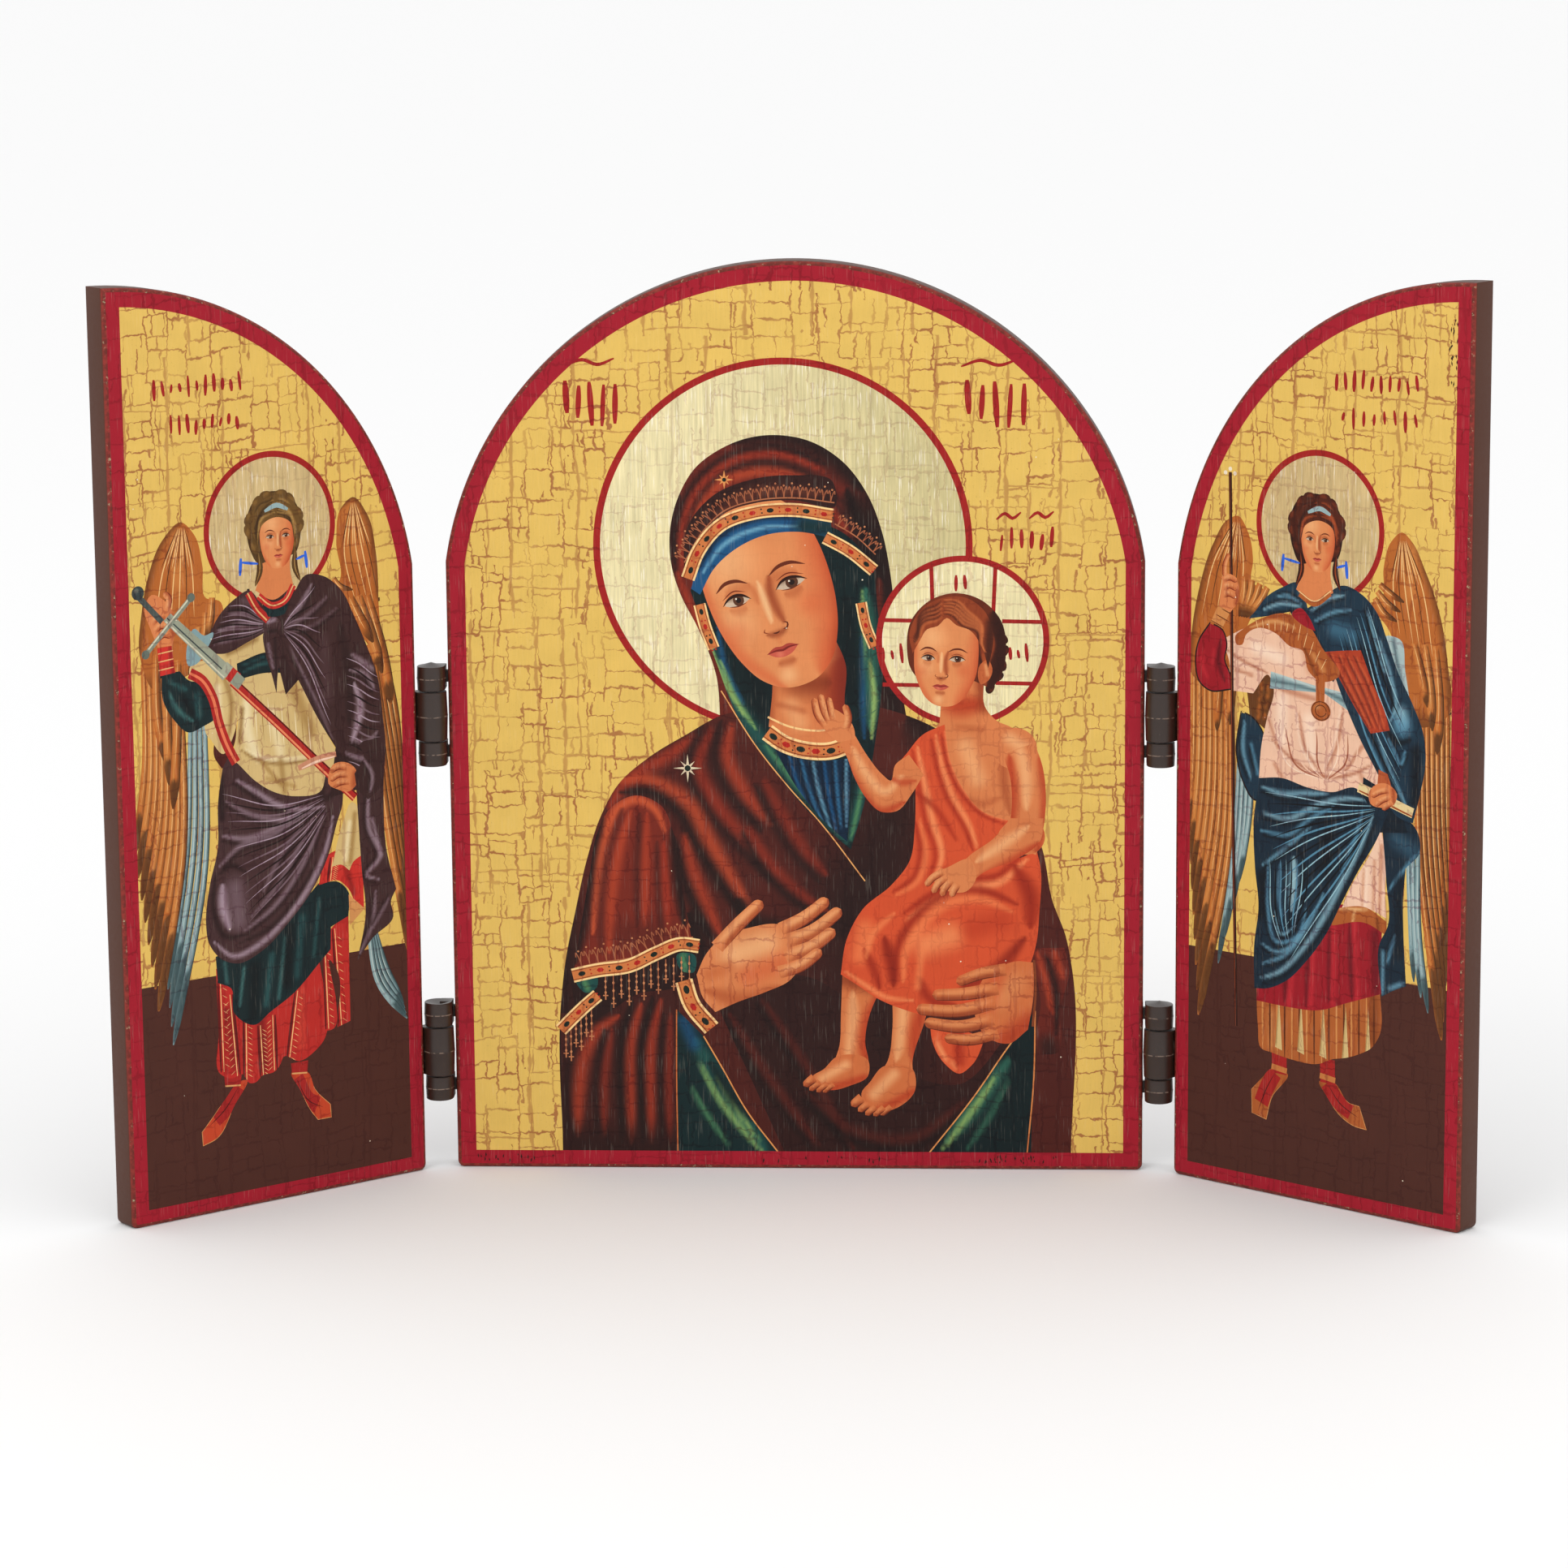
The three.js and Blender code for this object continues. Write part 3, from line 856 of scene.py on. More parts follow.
def drawHand(picture, palm, fingers, paint=("skin", 0.62), strokes=(), grid=0.7):
    # each finger is its width and its points from knuckle to tip
    picture.area(palm, paint, strokes, grid=grid)
    family, level = paint
    for width, *points in fingers:
        path = smoothLine(list(points), step=0.5)
        left = np.hypot(*(path[-1] - path).T)
        half = width / 2 * (0.8 + 0.2 * np.clip(left / left[0], 0, 1))
        half *= np.sqrt(np.clip(1 - (1 - np.clip(left / (width * 0.45), 0, 1)) ** 2, 0.01, 1))
        side = sideways(path) * half[:, None]
        under = (path + side * 0.8 if side[0, 1] < 0 else path - side * 0.8).tolist()
        over = (path - side * 0.3 if side[0, 1] < 0 else path + side * 0.3).tolist()
        modelling = [(level - 0.32, width * 0.5, 0.75, *under[::4], under[-1]),
                     (level + 0.22, width * 0.4, 0.7, *over[::4]),
                     ((family, level), width * 0.9, 0.9, points[0])]
        picture.area(np.vstack([path - side, (path + side)[::-1]]), paint, modelling, grid=grid)
        edge = path - side if side[0, 1] > 0 else path + side
        picture.line(edge[len(edge) // 6 :], 0.3, (family, level - 0.42), taper=1.0)


def fold(width, lit, shade, *points):  # a lit ridge, with its shadow along its right-hand side
    line = smoothLine(list(points), step=5.0)
    beside = line - sideways(line) * width * 0.85
    return [(shade, width, 0.8, *beside.tolist()), (lit, width, 0.8, *points)]


def stations(path, pitch):  # evenly spaced places along a line, with the way the line runs there
    steps = np.hypot(*np.diff(path, axis=0).T)
    run = np.concatenate([[0], np.cumsum(steps)])
    count = max(2, round(run[-1] / pitch))
    at = (np.arange(count) + 0.5) * run[-1] / count
    spots = np.stack([np.interp(at, run, path[:, k]) for k in (0, 1)], 1)
    side = sideways(path)
    ways = np.stack([np.interp(at, run, side[:, k]) for k in (0, 1)], 1)
    return list(zip(spots, ways / np.hypot(*ways.T)[:, None]))


def drawTrim(picture, points, width=3.4, pitch=4.6):  # a gold band with pale edges and set stones
    path = smoothLine(points, step=1.0)
    picture.area(ribbon(path, width), ("trim", 0.45), grid=1.2)
    side = sideways(path)
    edges = ((0.44, 0.13, 0.95), (-0.44, 0.13, 0.95), (0.31, 0.05, 0.1), (-0.31, 0.05, 0.1))
    for shift, thick, level in edges:
        picture.line(path + side * shift * width, thick * width, ("trim", level))
    for k, (spot, way) in enumerate(stations(path, pitch)):
        turn = math.degrees(math.atan2(way[1], way[0])) - 90
        stone = ellipse(*spot, width * 0.26, width * 0.17, turn, count=6 if k % 2 else 10)
        picture.area(stone, ("bead", k % 2), grid=3.0)
        along = np.array((way[1], -way[0])) * pitch / 2
        for lift in (-0.14, 0.14):
            picture.area(ellipse(*(spot + along + way * lift * width), 0.25, 0.25, count=5),
                         ("bead", 1 - k % 2), grid=3.0)


def drawLace(picture, points, tall, pitch=2.2):  # scrolls in two tiers, with a dot over each
    path = smoothLine(points, step=1.0)
    picture.line(path, 0.3, ("lace", 0.8))
    for k, (spot, way) in enumerate(stations(path, pitch)):
        along = np.array((way[1], -way[0]))
        for lean in (-1, 1):
            curl = [spot, spot + way * tall * 0.45 + along * lean * 0.2,
                    spot + way * tall * 0.8 + along * lean * pitch * 0.34,
                    spot + way * tall * 0.55 + along * lean * pitch * 0.42]
            picture.line([tuple(point) for point in curl], 0.24, ("lace", 0.7), step=0.5)
        picture.area(ellipse(*(spot + way * tall * (1.0 if k % 2 else 0.85)), 0.28, 0.28, count=5),
                     ("lace", 0.95), grid=3.0)


def drawFringe(picture, points, drop, pitch=2.0):  # threads with beads and a small cross at every other end
    for k, ((x, z), _) in enumerate(stations(smoothLine(points, step=1.0), pitch)):
        fall = drop * (1 if k % 2 else 0.72)
        picture.line([(x, z), (x, z - fall)], 0.22, ("lace", 0.75))
        for share in (0.25, 0.5, 0.75):
            picture.area(ellipse(x, z - fall * share, 0.3, 0.42, count=6), ("lace", 1.0), grid=3.0)
        picture.line([(x - 0.65, z - fall + 0.7), (x + 0.65, z - fall + 0.7)], 0.3, ("lace", 0.9))
        picture.line([(x, z - fall + 1.4), (x, z - fall - 0.4)], 0.34, ("lace", 0.9))


def partway(first, last, share):  # a path between two others
    return [(a[0] + (b[0] - a[0]) * share, a[1] + (b[1] - a[1]) * share) for a, b in zip(first, last)]


def wavy(points, depth, count):  # the same path with that many gentle waves
    path = smoothLine(points, step=0.7)
    swing = np.sin(np.linspace(0, math.tau * count / 2, len(path))) * depth
    return (path + sideways(path) * swing[:, None]).tolist()


# thin light and dark lines between two folds
def drawCreases(picture, first, last, count, family, width=0.4, within=None):
    for k in range(count):
        points = wavy(partway(first, last, (k + 0.5) / count), 0.25, 2)
        picture.line(points, width * (1.2 if k % 3 else 0.8), (family, (0.92, 0.0, 0.7)[k % 3]), taper=1.0,
                     within=within)


def drawWear(picture, wide, tall, count, within=None):  # short dark scuffs
    dice = np.random.RandomState(count)
    for _ in range(count):
        x, z, drop = dice.uniform(*wide), dice.uniform(*tall), dice.uniform(0.5, 1.6)
        picture.line([(x, z + drop / 2), (x + dice.uniform(-0.3, 0.3), z - drop / 2)], 0.4,
                     ("robe", dice.uniform(0.05, 0.35)), taper=1.0, within=within)


def drawSpecks(picture, wide, tall, count):  # stray pale dots
    dice = np.random.RandomState(count)
    for _ in range(count):
        size = dice.uniform(0.1, 0.2)
        picture.area(ellipse(dice.uniform(*wide), dice.uniform(*tall), size, size, count=6), ("pale", 0.8),
                     grid=3.0, step=3.0)


def drawWaves(picture, middle, reach, turns, count, size, paint, contrast=0.4):  # curls round a head
    family, level = paint
    for k in range(count):
        lean = math.radians(turns[0] + (turns[1] - turns[0]) * k / (count - 1))
        c, s = math.cos(lean), math.sin(lean)
        x, z = middle[0] + reach[0] * c, middle[1] + reach[1] * s
        out, side = (0.3 * size * c, 0.3 * size * s), (-0.35 * size * s, 0.35 * size * c)

        def spot(away, along):  # outwards from the head, and along its edge
            return x + out[0] * away + side[0] * along, z + out[1] * away + side[1] * along

        shape = ellipse(x, z, size, size * 0.66, math.degrees(lean) + (60 if k % 2 else 120), count=14)
        picture.area(shape, (family, level - 0.04 * (k % 2)), [
            (level + contrast, size * 0.4, 0.9, spot(1, -1), spot(1.4, 0), spot(1, 1)),
            (level - contrast, size * 0.45, 0.9, spot(-1.6, -1), spot(-1.6, 1)),
        ], grid=0.45)


def drawStar(picture, x, z, reach, paint=("pale", 0.3)):
    for k in range(8):
        c, s = math.cos(k * math.pi / 4), math.sin(k * math.pi / 4)
        long = reach * (1 if k % 2 == 0 else 0.7)
        spike = [(x - s * 0.45, z + c * 0.45), (x + s * 0.45, z - c * 0.45), (x + c * long, z + s * long)]
        picture.area(np.array(spike), paint, grid=3.0)
    picture.area(ellipse(x, z, reach * 0.22, reach * 0.22, count=8), ("bead", 0), grid=3.0)


# a row of plain brush dabs of many lengths, no letters
def drawInscription(picture, low, high, count, width=0.9):
    dice = np.random.RandomState(count)
    pitch, tall = (high[0] - low[0]) / count, high[1] - low[1]
    for k in range(count):
        x = low[0] + (k + 0.5) * pitch
        top, foot = high[1] - tall * dice.uniform(0, 0.35), low[1] + tall * dice.uniform(0, 0.35)
        lean = pitch * dice.uniform(-0.12, 0.12)
        picture.line([(x + lean, top), (x - lean, foot)], width * dice.uniform(0.8, 1.3), ("ring", 0),
                     taper=0.5)


def drawCloth(picture, shape, paint, strokes=()):  # clothing, with a dark line along its edge
    return picture.area(shape, paint, strokes, grid=0.6, rim=("robe", 0.05))


def halo(picture, x, z, radius, ring, leaf=("leaf", 0.55), strokes=()):
    picture.area(ellipse(x, z, radius, radius, count=120), ("ring", 0), grid=3.0)
    inner = ellipse(x, z, radius - ring, radius - ring, count=120)
    return picture.area(inner, leaf, strokes, grid=3.0, leaf=1.0, crackle=0.35)


def startPicture(place, half, rimWidth):
    outline = boardOutline(place, half)
    return Picture(outline, boardOutline(place, half, inset=rimWidth["sides"], bottom=rimWidth["foot"]))


# the centre board: mother and child, half length

def paintHood(picture):
    hood = [(-18.5, 112, 1), (-19.5, 126), (-24, 138), (-28, 146), (-30.3, 154), (-30.3, 163), (-28, 171),
            (-24, 177.5), (-18, 182), (-11, 184.8), (-4, 185.5), (4, 184), (12, 179), (18, 171), (21.5, 162),
            (23.5, 152), (24.6, 142), (25.5, 128), (28, 112, 1)]
    strokes = [
        (0.04, 13, 0.95, (17, 180), (22, 165), (22, 145), (24, 120), (26, 108)),
        (0.03, 7, 0.9, (-16, 184), (-3, 186), (9, 181), (17, 172)),
        (0.0, 6, 0.9, (13, 172), (17, 160), (18, 146)),
        (0.08, 3, 0.8, (-30.5, 148), (-30.8, 160), (-28, 171)),
        *fold(2.4, 0.72, 0.1, (11, 167), (2, 174.5), (-8, 176.5), (-17, 174), (-23.5, 166), (-25.8, 155)),
        *fold(1.8, 0.6, 0.05, (8, 176.5), (-4, 180.8), (-15, 179), (-23.5, 172), (-27.6, 161), (-27.4, 151)),
        *fold(1.8, 0.56, 0.2, (14.5, 160), (8, 168), (-2, 172.5), (-11, 172.5)),
        (0.62, 1.6, 0.8, (-29, 152), (-25.5, 143), (-20.5, 132)),
        (0.5, 2.4, 0.6, (21, 150), (20.5, 140), (21.5, 128)),
    ]
    picture.area(hood, ("robe", 0.4), strokes, grid=0.8)


def paintRobe(picture):
    body = [(-59.3, 2, 1), (-59.3, 42), (-58, 53), (-55.3, 66), (-52, 80), (-48.7, 90), (-44, 98.5),
            (-36, 105.5), (-27, 111), (-19, 115.5), (-8, 118), (24, 117), (34, 113), (45, 105), (56, 95),
            (61, 82), (63.5, 69), (66.8, 60), (68, 54), (68.2, 2, 1)]
    strokes = [
        (0.12, 34, 0.95, (20, 60), (20, 10)), (0.1, 20, 0.9, (26, 100), (20, 80), (10, 60)),
        (0.1, 9, 0.9, (-58, 80), (-58.5, 40), (-59, 4)), (0.12, 16, 0.7, (-12, 34), (2, 22), (10, 6)),
        (0.08, 16, 0.9, (28, 116), (42, 104), (52, 92)),
        *fold(3.6, 0.62, 0.1, (-24, 111), (-32, 105.5), (-41, 100), (-47, 92)),
        *fold(3.4, 0.66, 0.08, (-15.5, 114), (-17, 106), (-13, 97), (-6, 88)),
        *fold(3.0, 0.56, 0.1, (-20.5, 113), (-24, 103), (-20, 94), (-12, 84), (-4, 75)),
        *fold(3.0, 0.5, 0.1, (-8, 100), (-3, 90), (2, 82), (8, 75)),
        *fold(3.6, 0.74, 0.02, (-44, 99.5), (-36, 99.5), (-27, 94), (-21.5, 84), (-14.5, 72), (-11, 66)),
        *fold(3.2, 0.66, 0.0, (-28, 86), (-25.5, 76), (-21.5, 66), (-19, 60)),
        *fold(2.6, 0.5, 0.06, (-12, 88), (-6, 78), (2, 70), (8, 66)),
        *fold(2.4, 0.44, 0.08, (-17, 42), (-11, 30), (-3, 18), (3, 8)),
        *fold(2.0, 0.4, 0.08, (-13, 44), (-4, 32), (6, 20)), (0.02, 7, 0.9, (-27, 66), (-24, 54), (-22, 48)),
        (0.02, 5, 0.9, (-15, 70), (-11, 63), (-2, 62)),
    ]
    robe = picture.area(body, ("robe", 0.3), strokes, grid=0.8)
    dark = [(-20, 42, 1), (-12, 46), (0, 50), (12, 44), (20, 30), (40, 22), (57, 40), (58, 3, 1), (-3, 3, 1)]
    picture.area(dark, ("robe", 0.15), [
        *fold(2.4, 0.34, 0.06, (-17, 40), (-10, 28), (-2, 16), (5, 6)),
        *fold(2.2, 0.32, 0.05, (-9, 44), (0, 30), (8, 16), (14, 5)),
        *fold(2.6, 0.3, 0.04, (2, 20), (14, 10), (28, 8), (42, 18)),
    ], within=robe, grid=1.0)
    lobe = [(-56, 50, 1), (-54, 62), (-51.5, 76), (-49.5, 86), (-46, 92.5), (-39.5, 95.6), (-33.5, 93),
            (-30.5, 86), (-29, 76), (-27.5, 66), (-26, 57, 1), (-36, 52), (-46, 49)]
    picture.area(lobe, ("robe", 0.46), [
        (0.05, 4.5, 0.95, (-56, 52), (-53.5, 66), (-50.8, 80), (-48, 90)),
        (0.82, 2.6, 0.9, (-32.5, 86), (-35, 92), (-39.5, 94.6), (-44.5, 92), (-47.4, 84), (-49.5, 72),
         (-51, 60)), *fold(2.6, 0.7, 0.35, (-41, 92), (-44.5, 80), (-46.5, 66), (-47, 55)),
        *fold(2.2, 0.66, 0.3, (-37, 91), (-37.6, 78), (-38, 62)),
        *fold(2.0, 0.6, 0.3, (-33, 84), (-32.6, 72), (-32, 60)),
        (0.04, 3.2, 0.9, (-30.8, 88), (-29.4, 76), (-28, 62)), (0.3, 7, 0.5, (-42, 60), (-34, 60)),
    ], grid=0.7)
    arm = [(-59.4, 2, 1), (-59.4, 40, 1), (-56, 40), (-49, 41), (-42, 44.5), (-36, 46), (-30, 47),
           (-29.5, 40), (-30, 2, 1)]
    picture.area(arm, ("robe", 0.24), [
        *fold(3.4, 0.66, 0.08, (-44.5, 39.5), (-50, 35.5), (-53.5, 29), (-55, 20), (-55.5, 8)),
        *fold(2.8, 0.64, 0.02, (-39, 43), (-41.4, 34), (-42, 20), (-42, 6)),
        *fold(2.6, 0.62, 0.02, (-34, 44), (-36.6, 33), (-37, 18), (-37, 6)),
        *fold(2.2, 0.5, 0.1, (-46.5, 36), (-48.5, 24), (-48.8, 8)),
        *fold(2.2, 0.5, 0.1, (-31.8, 40), (-32.4, 24), (-32.4, 6)), (0.1, 9, 0.8, (-58, 6), (-34, 5)),
    ], grid=0.7)
    return robe


def paintSleeveTrims(picture):
    hem = [(-56.2, 49.6), (-50, 51), (-42, 52.2), (-35, 55.5), (-29, 57.8), (-24.5, 57.3)]
    picture.area([
        (-57, 50, 1), (-48, 51), (-40, 53), (-32, 57), (-24.5, 57.5), (-24.8, 50), (-31, 46.5), (-40, 45),
        (-47, 40.5), (-55, 36, 1),
    ], ("robe", 0.1), grid=1.6)
    picture.area([(-55.5, 48.4), (-50, 49.2), (-50.2, 46.6), (-53, 45.2)], ("lining", 0.4), [
        (0.75, 1.2, 0.9, (-53, 48), (-52.5, 46))
    ])
    picture.area([(-30, 55.2), (-25.6, 55), (-26, 50.5), (-29, 51)], ("lining", 0.4), [
        (0.75, 1.2, 0.9, (-28.5, 55), (-28, 51))
    ])
    drawFringe(picture, [(-49, 49.5), (-42, 50.4), (-34, 53.6), (-26, 55)], 8)
    drawLace(picture, [(-55, 51.8), (-48, 53.2), (-41, 54.4), (-34, 57.8), (-26, 59.6)], 4.6)
    drawTrim(picture, hem, 3.6)
    second = [(-59.4, 35.6), (-56.5, 38.6), (-53, 42), (-50, 44.6)]
    drawFringe(picture, [(-58.8, 34), (-55, 38), (-51, 42)], 8)
    drawTrim(picture, second, 3.4)
    drawTrim(picture, [(-28.4, 48.4), (-26.6, 42.6), (-21.6, 36.2)], 4.4, pitch=4.2)


def paintLinings(picture):
    left = [(-30.2, 41, 1), (-23.6, 34.2, 1), (-19, 26), (-13, 15), (-5, 4, 1), (-30.4, 4, 1)]
    picture.area(left, ("lining", 0.14), [
        (0.45, 4.5, 0.9, (-26, 34), (-21, 24), (-13, 12), (-8, 4)),
        (0.86, 1.7, 0.9, (-25, 28), (-20.5, 19), (-14, 10), (-9, 4)),
        (0.9, 1.2, 0.8, (-21, 24), (-16, 16), (-9.5, 6.5)),
        (0.7, 1.3, 0.8, (-27.5, 22), (-23, 14), (-17, 5)), (("blue", 0.45), 3, 0.7, (-28.5, 38), (-26, 32)),
        (0.02, 3, 0.8, (-22.5, 28), (-17.5, 20), (-11, 12)),
    ], grid=0.8)
    picture.line([(-23.6, 34.2), (-19, 26), (-13, 15), (-5, 4)], 0.35, ("trim", 0.6))
    picture.line([(-30.3, 41), (-30.5, 24), (-30.4, 4)], 0.3, ("trim", 0.4))
    right = [(59, 41, 1), (52, 31), (44, 19), (32.5, 4, 1), (58.2, 4, 1)]
    picture.area(right, ("lining", 0.06), [
        (0.55, 4.2, 0.9, (53, 29), (46, 19), (37, 7)), (0.9, 1.6, 0.85, (50, 25), (44, 16), (36, 5)),
        (0.6, 1.6, 0.7, (53, 24), (48, 14), (42, 5)),
    ], grid=0.8)
    picture.line([(57, 38), (52, 31), (44, 19), (32.5, 4)], 0.35, ("trim", 0.6))
    picture.line([(59.2, 41), (58.9, 24), (57.2, 4)], 0.35, ("trim", 0.5))
    picture.area([
        (58, 57, 1), (66.4, 57.2, 1), (67.6, 52), (65.5, 42), (64, 30), (61, 30), (60.5, 44),
    ], ("robe", 0.4), [
        (0.7, 1.5, 0.8, (59.5, 56), (62, 48), (63.4, 40)), (0.7, 1.4, 0.8, (64, 56), (66, 50)),
        (0.05, 1.6, 0.8, (61.8, 56), (64.4, 46), (64.5, 34)), (0.1, 5, 0.8, (62.5, 32), (63, 30)),
    ], grid=0.8)


def paintInsideHood(picture):
    opening = [(-25.6, 147, 1), (-22.5, 154.5), (-14, 161.5), (0, 164), (11, 162), (18.5, 154), (20.5, 142),
               (21.5, 126), (19.5, 108), (17, 94), (13.5, 82, 1), (6, 88.5), (-2, 97.5), (-9, 107),
               (-15, 117), (-19, 128), (-22.5, 138)]
    picture.area(opening, ("lining", 0.08), [
        (0.42, 3.4, 0.95, (-23.5, 143), (-20.5, 132), (-16, 121), (-9, 110), (0, 99), (9, 88), (13, 83)),
        (("blue", 0.5), 1.5, 0.7, (-19, 138), (-17, 127), (-12.5, 118)),
        (0.85, 1.3, 0.9, (-18.5, 130), (-15, 120.5), (-9.5, 112)),
        (0.9, 0.9, 0.9, (-21, 134), (-17.4, 124), (-12.5, 115.5)),
        (0.7, 1.5, 0.8, (-8, 109), (-1, 100), (6, 91.5)),
        (0.55, 4, 0.95, (17.5, 148), (18.4, 132), (18.6, 112)),
        (0.92, 1.4, 0.9, (18.4, 130), (19.4, 121), (18.8, 110)),
        (0.85, 1.0, 0.8, (16.6, 148), (17.2, 136), (16.6, 124)),
        (("blue", 0.42), 1.6, 0.8, (16.4, 136), (16.6, 122), (17, 110)),
        (0.45, 2.6, 0.9, (17.4, 104), (15.6, 94), (13.2, 84)),
        (0.75, 1.0, 0.8, (17, 101), (14.8, 90), (13.4, 84)),
        (0.0, 5, 0.9, (12.5, 146), (13.5, 130), (14, 118)), (0.0, 6, 0.9, (-15, 138), (-10, 128), (-8, 116)),
    ], grid=0.6)
    picture.line([(-18.3, 122), (-10, 108.4), (-2, 98), (6, 88.8), (17, 74)], 0.3, ("trim", 0.7))
    dress = [(-5.5, 108, 1), (3, 104.5), (13.5, 105, 1), (13.4, 96), (12.6, 84, 1), (7, 89), (0, 98)]
    pleats = []
    for k in range(6):
        path = [(-2 + k * 2.9, 107), (1 + k * 2.3, 97), (6 + k * 1.3, 87)]
        pleats += fold(0.8, (0.5, 0.62, 0.85)[k % 3], 0.02, *path)
    picture.area(dress, ("blue", 0.16), pleats, grid=0.45)
    neck = [(-7, 134, 1), (-5.6, 124), (-6.6, 113, 1), (3, 108.5), (12.6, 110, 1), (12.2, 120), (12.6, 128),
            (9, 137, 1)]
    picture.area(neck, ("skin", 0.6), [
        (("glow", 0.3), 9, 0.85, (12, 130), (11, 120), (12.5, 110)),
        (0.2, 7, 0.85, (-5, 131), (2, 124.5), (9, 124)),
        (("robe", 0.5), 6.4, 0.95, (12, 137), (12.4, 124), (13, 110)),
        (0.3, 2, 0.6, (-5.6, 124), (-6.2, 115)), (0.85, 4, 0.6, (-1, 118), (1, 114)),
        (0.35, 1.4, 0.5, (-4, 118.5), (2, 117)),
    ], grid=0.6, crackle=0.1)
    drawTrim(picture, [(-7, 111.6), (-3, 108.8), (3, 107), (9, 107), (14, 109)], 4.4, pitch=4.0)
    picture.line([(-6.8, 115.4), (-2, 113.2), (5, 112), (13, 113.2)], 0.5, ("trim", 0.9))


def paintMother(picture):
    paintHood(picture)
    paintRobe(picture)
    paintLinings(picture)
    paintSleeveTrims(picture)
    drawStar(picture, -26.8, 102.5, 3.6)
    drawStar(picture, -17, 174.5, 2.4, ("trim", 0.6))
    paintInsideHood(picture)
    drawFace(picture, -5.2, 147.5, 50, tilt=19, turn=-9, grid=0.45)
    headcloth = [(-25.4, 147.5, 1), (-22.8, 156), (-16, 163), (-6, 165.6), (9, 164.8, 1), (9.6, 160, 1),
                 (1, 161.6), (-7, 160.8), (-14, 157.6), (-19.6, 152.6), (-23.2, 146, 1)]
    picture.area(headcloth, ("blue", 0.45), [
        (0.85, 1.1, 0.9, (-22.8, 151), (-17, 158.6), (-8, 162.6), (1, 163)),
        (0.15, 1.3, 0.9, (-24.4, 151), (-18, 160.6), (-8, 165), (2, 165)),
        (("lining", 0.2), 5, 0.95, (10, 162.5), (3, 163)),
    ], grid=0.5)
    picture.area([
        (-26.6, 152.6), (-22.4, 160.2), (-17.2, 166), (-9, 168.8), (0, 169.4), (10.4, 168.2), (9.6, 174),
        (0, 175.6), (-10, 174.6), (-20, 170.4), (-26, 163),
    ], ("robe", 0.16), [(("lace", 0.4), 3, 0.5, (-24, 160), (-10, 171), (8, 171))], grid=1.2)
    drawLace(picture, [(-27, 154), (-22.6, 161.4), (-17.4, 166.6), (-9, 169.4), (0, 170), (10, 168.8)], 3.6,
             pitch=1.9)
    drawTrim(picture, [(-26.2, 150), (-23.4, 157), (-17.8, 163.4), (-9.4, 166.4), (0, 167), (9.6, 165.6)],
             3.4)
    drawLace(picture, [(10, 163.6), (15, 160.6), (20, 156)], 3.2, pitch=1.9)
    drawTrim(picture, [(7.6, 160.2), (13.4, 157), (19.6, 152)], 3.2)
    drawTrim(picture, [(-23.4, 143.6), (-22, 138), (-20, 132.6)], 3.0)
    drawTrim(picture, [(16.4, 144), (17.6, 138), (19.6, 133)], 2.8)


def paintPointingHand(picture):
    palm = [(-25.2, 50, 1), (-22.6, 55.5), (-18, 60), (-12, 62), (-5, 63), (1, 60.4), (1.4, 54.5),
            (-1.5, 49), (-8, 45.6), (-15, 43), (-20.6, 40.4, 1), (-23.6, 44)]
    fingers = [(3.6, (-20, 57), (-14.6, 63), (-8.6, 68.8)), (3.6, (-4, 61.6), (1.4, 64.4), (7.8, 69.4)),
               (3.7, (-2.6, 58.6), (3.4, 61), (11, 66.8)), (3.6, (-3, 54.8), (3, 57), (9.4, 61.6)),
               (3.3, (-4.6, 50.6), (0.6, 52.4), (6, 56.4))]
    drawHand(picture, palm, fingers, strokes=[
        (0.4, 4, 0.8, (-23, 46), (-14, 43.5), (-4, 47)), (0.88, 6, 0.8, (-16, 55), (-8, 58)),
        (0.45, 3, 0.6, (-22, 50), (-17, 52)), (("glow", 0.9), 5, 0.5, (-12, 50), (-4, 53)),
    ])


def paintTail(picture):  # cloth hanging below the holding hand
    tail = [(33, 38, 1), (33.6, 33), (36.6, 27.4), (40.4, 24.8), (43.4, 27), (46.8, 34, 1), (41, 36)]
    picture.area(tail, ("tunic", 0.5), [
        (0.85, 1.1, 0.9, (34, 36), (36.8, 29), (40, 25.8)), (0.2, 2.6, 0.8, (40, 35), (40.4, 28)),
    ])


def paintHoldingHand(picture):
    palm = [(58.8, 53.4, 1), (54, 53.6), (50, 52), (46.6, 49.6), (44.6, 45), (44.4, 39), (47, 34.4),
            (52.6, 32.6), (57.4, 36.2, 1), (58.8, 45)]
    fingers = [(3.2, (52, 51.6), (46, 50.6), (39.6, 48.2)), (3.5, (50, 46.8), (42, 45.4), (33.6, 45)),
               (3.6, (49.4, 43.2), (40, 41), (29.6, 41.4)), (3.5, (49, 39), (41, 37), (31.6, 38)),
               (3.2, (50, 35.4), (43, 33.6), (36.6, 34))]
    drawHand(picture, palm, fingers, paint=("skin", 0.52), strokes=[
        (("glow", 0.45), 5, 0.8, (58, 38), (52, 33.6)), (0.7, 5, 0.7, (54, 48), (50, 44)),
        (("glow", 0.8), 4, 0.6, (50, 51), (47, 42)),
    ])
    picture.line([(58.9, 54), (59.3, 47), (58.6, 37)], 0.6, ("trim", 0.1))


def drawFoot(picture, shape, toes, strokes):
    drawHand(picture, shape, [(wide, (x + 2.6, z + 2.2), (x + 1.1, z + 1), (x, z)) for wide, x, z in toes],
             ("skin", 0.52), strokes, grid=0.55)


warmShade = ("glow", 0.5)


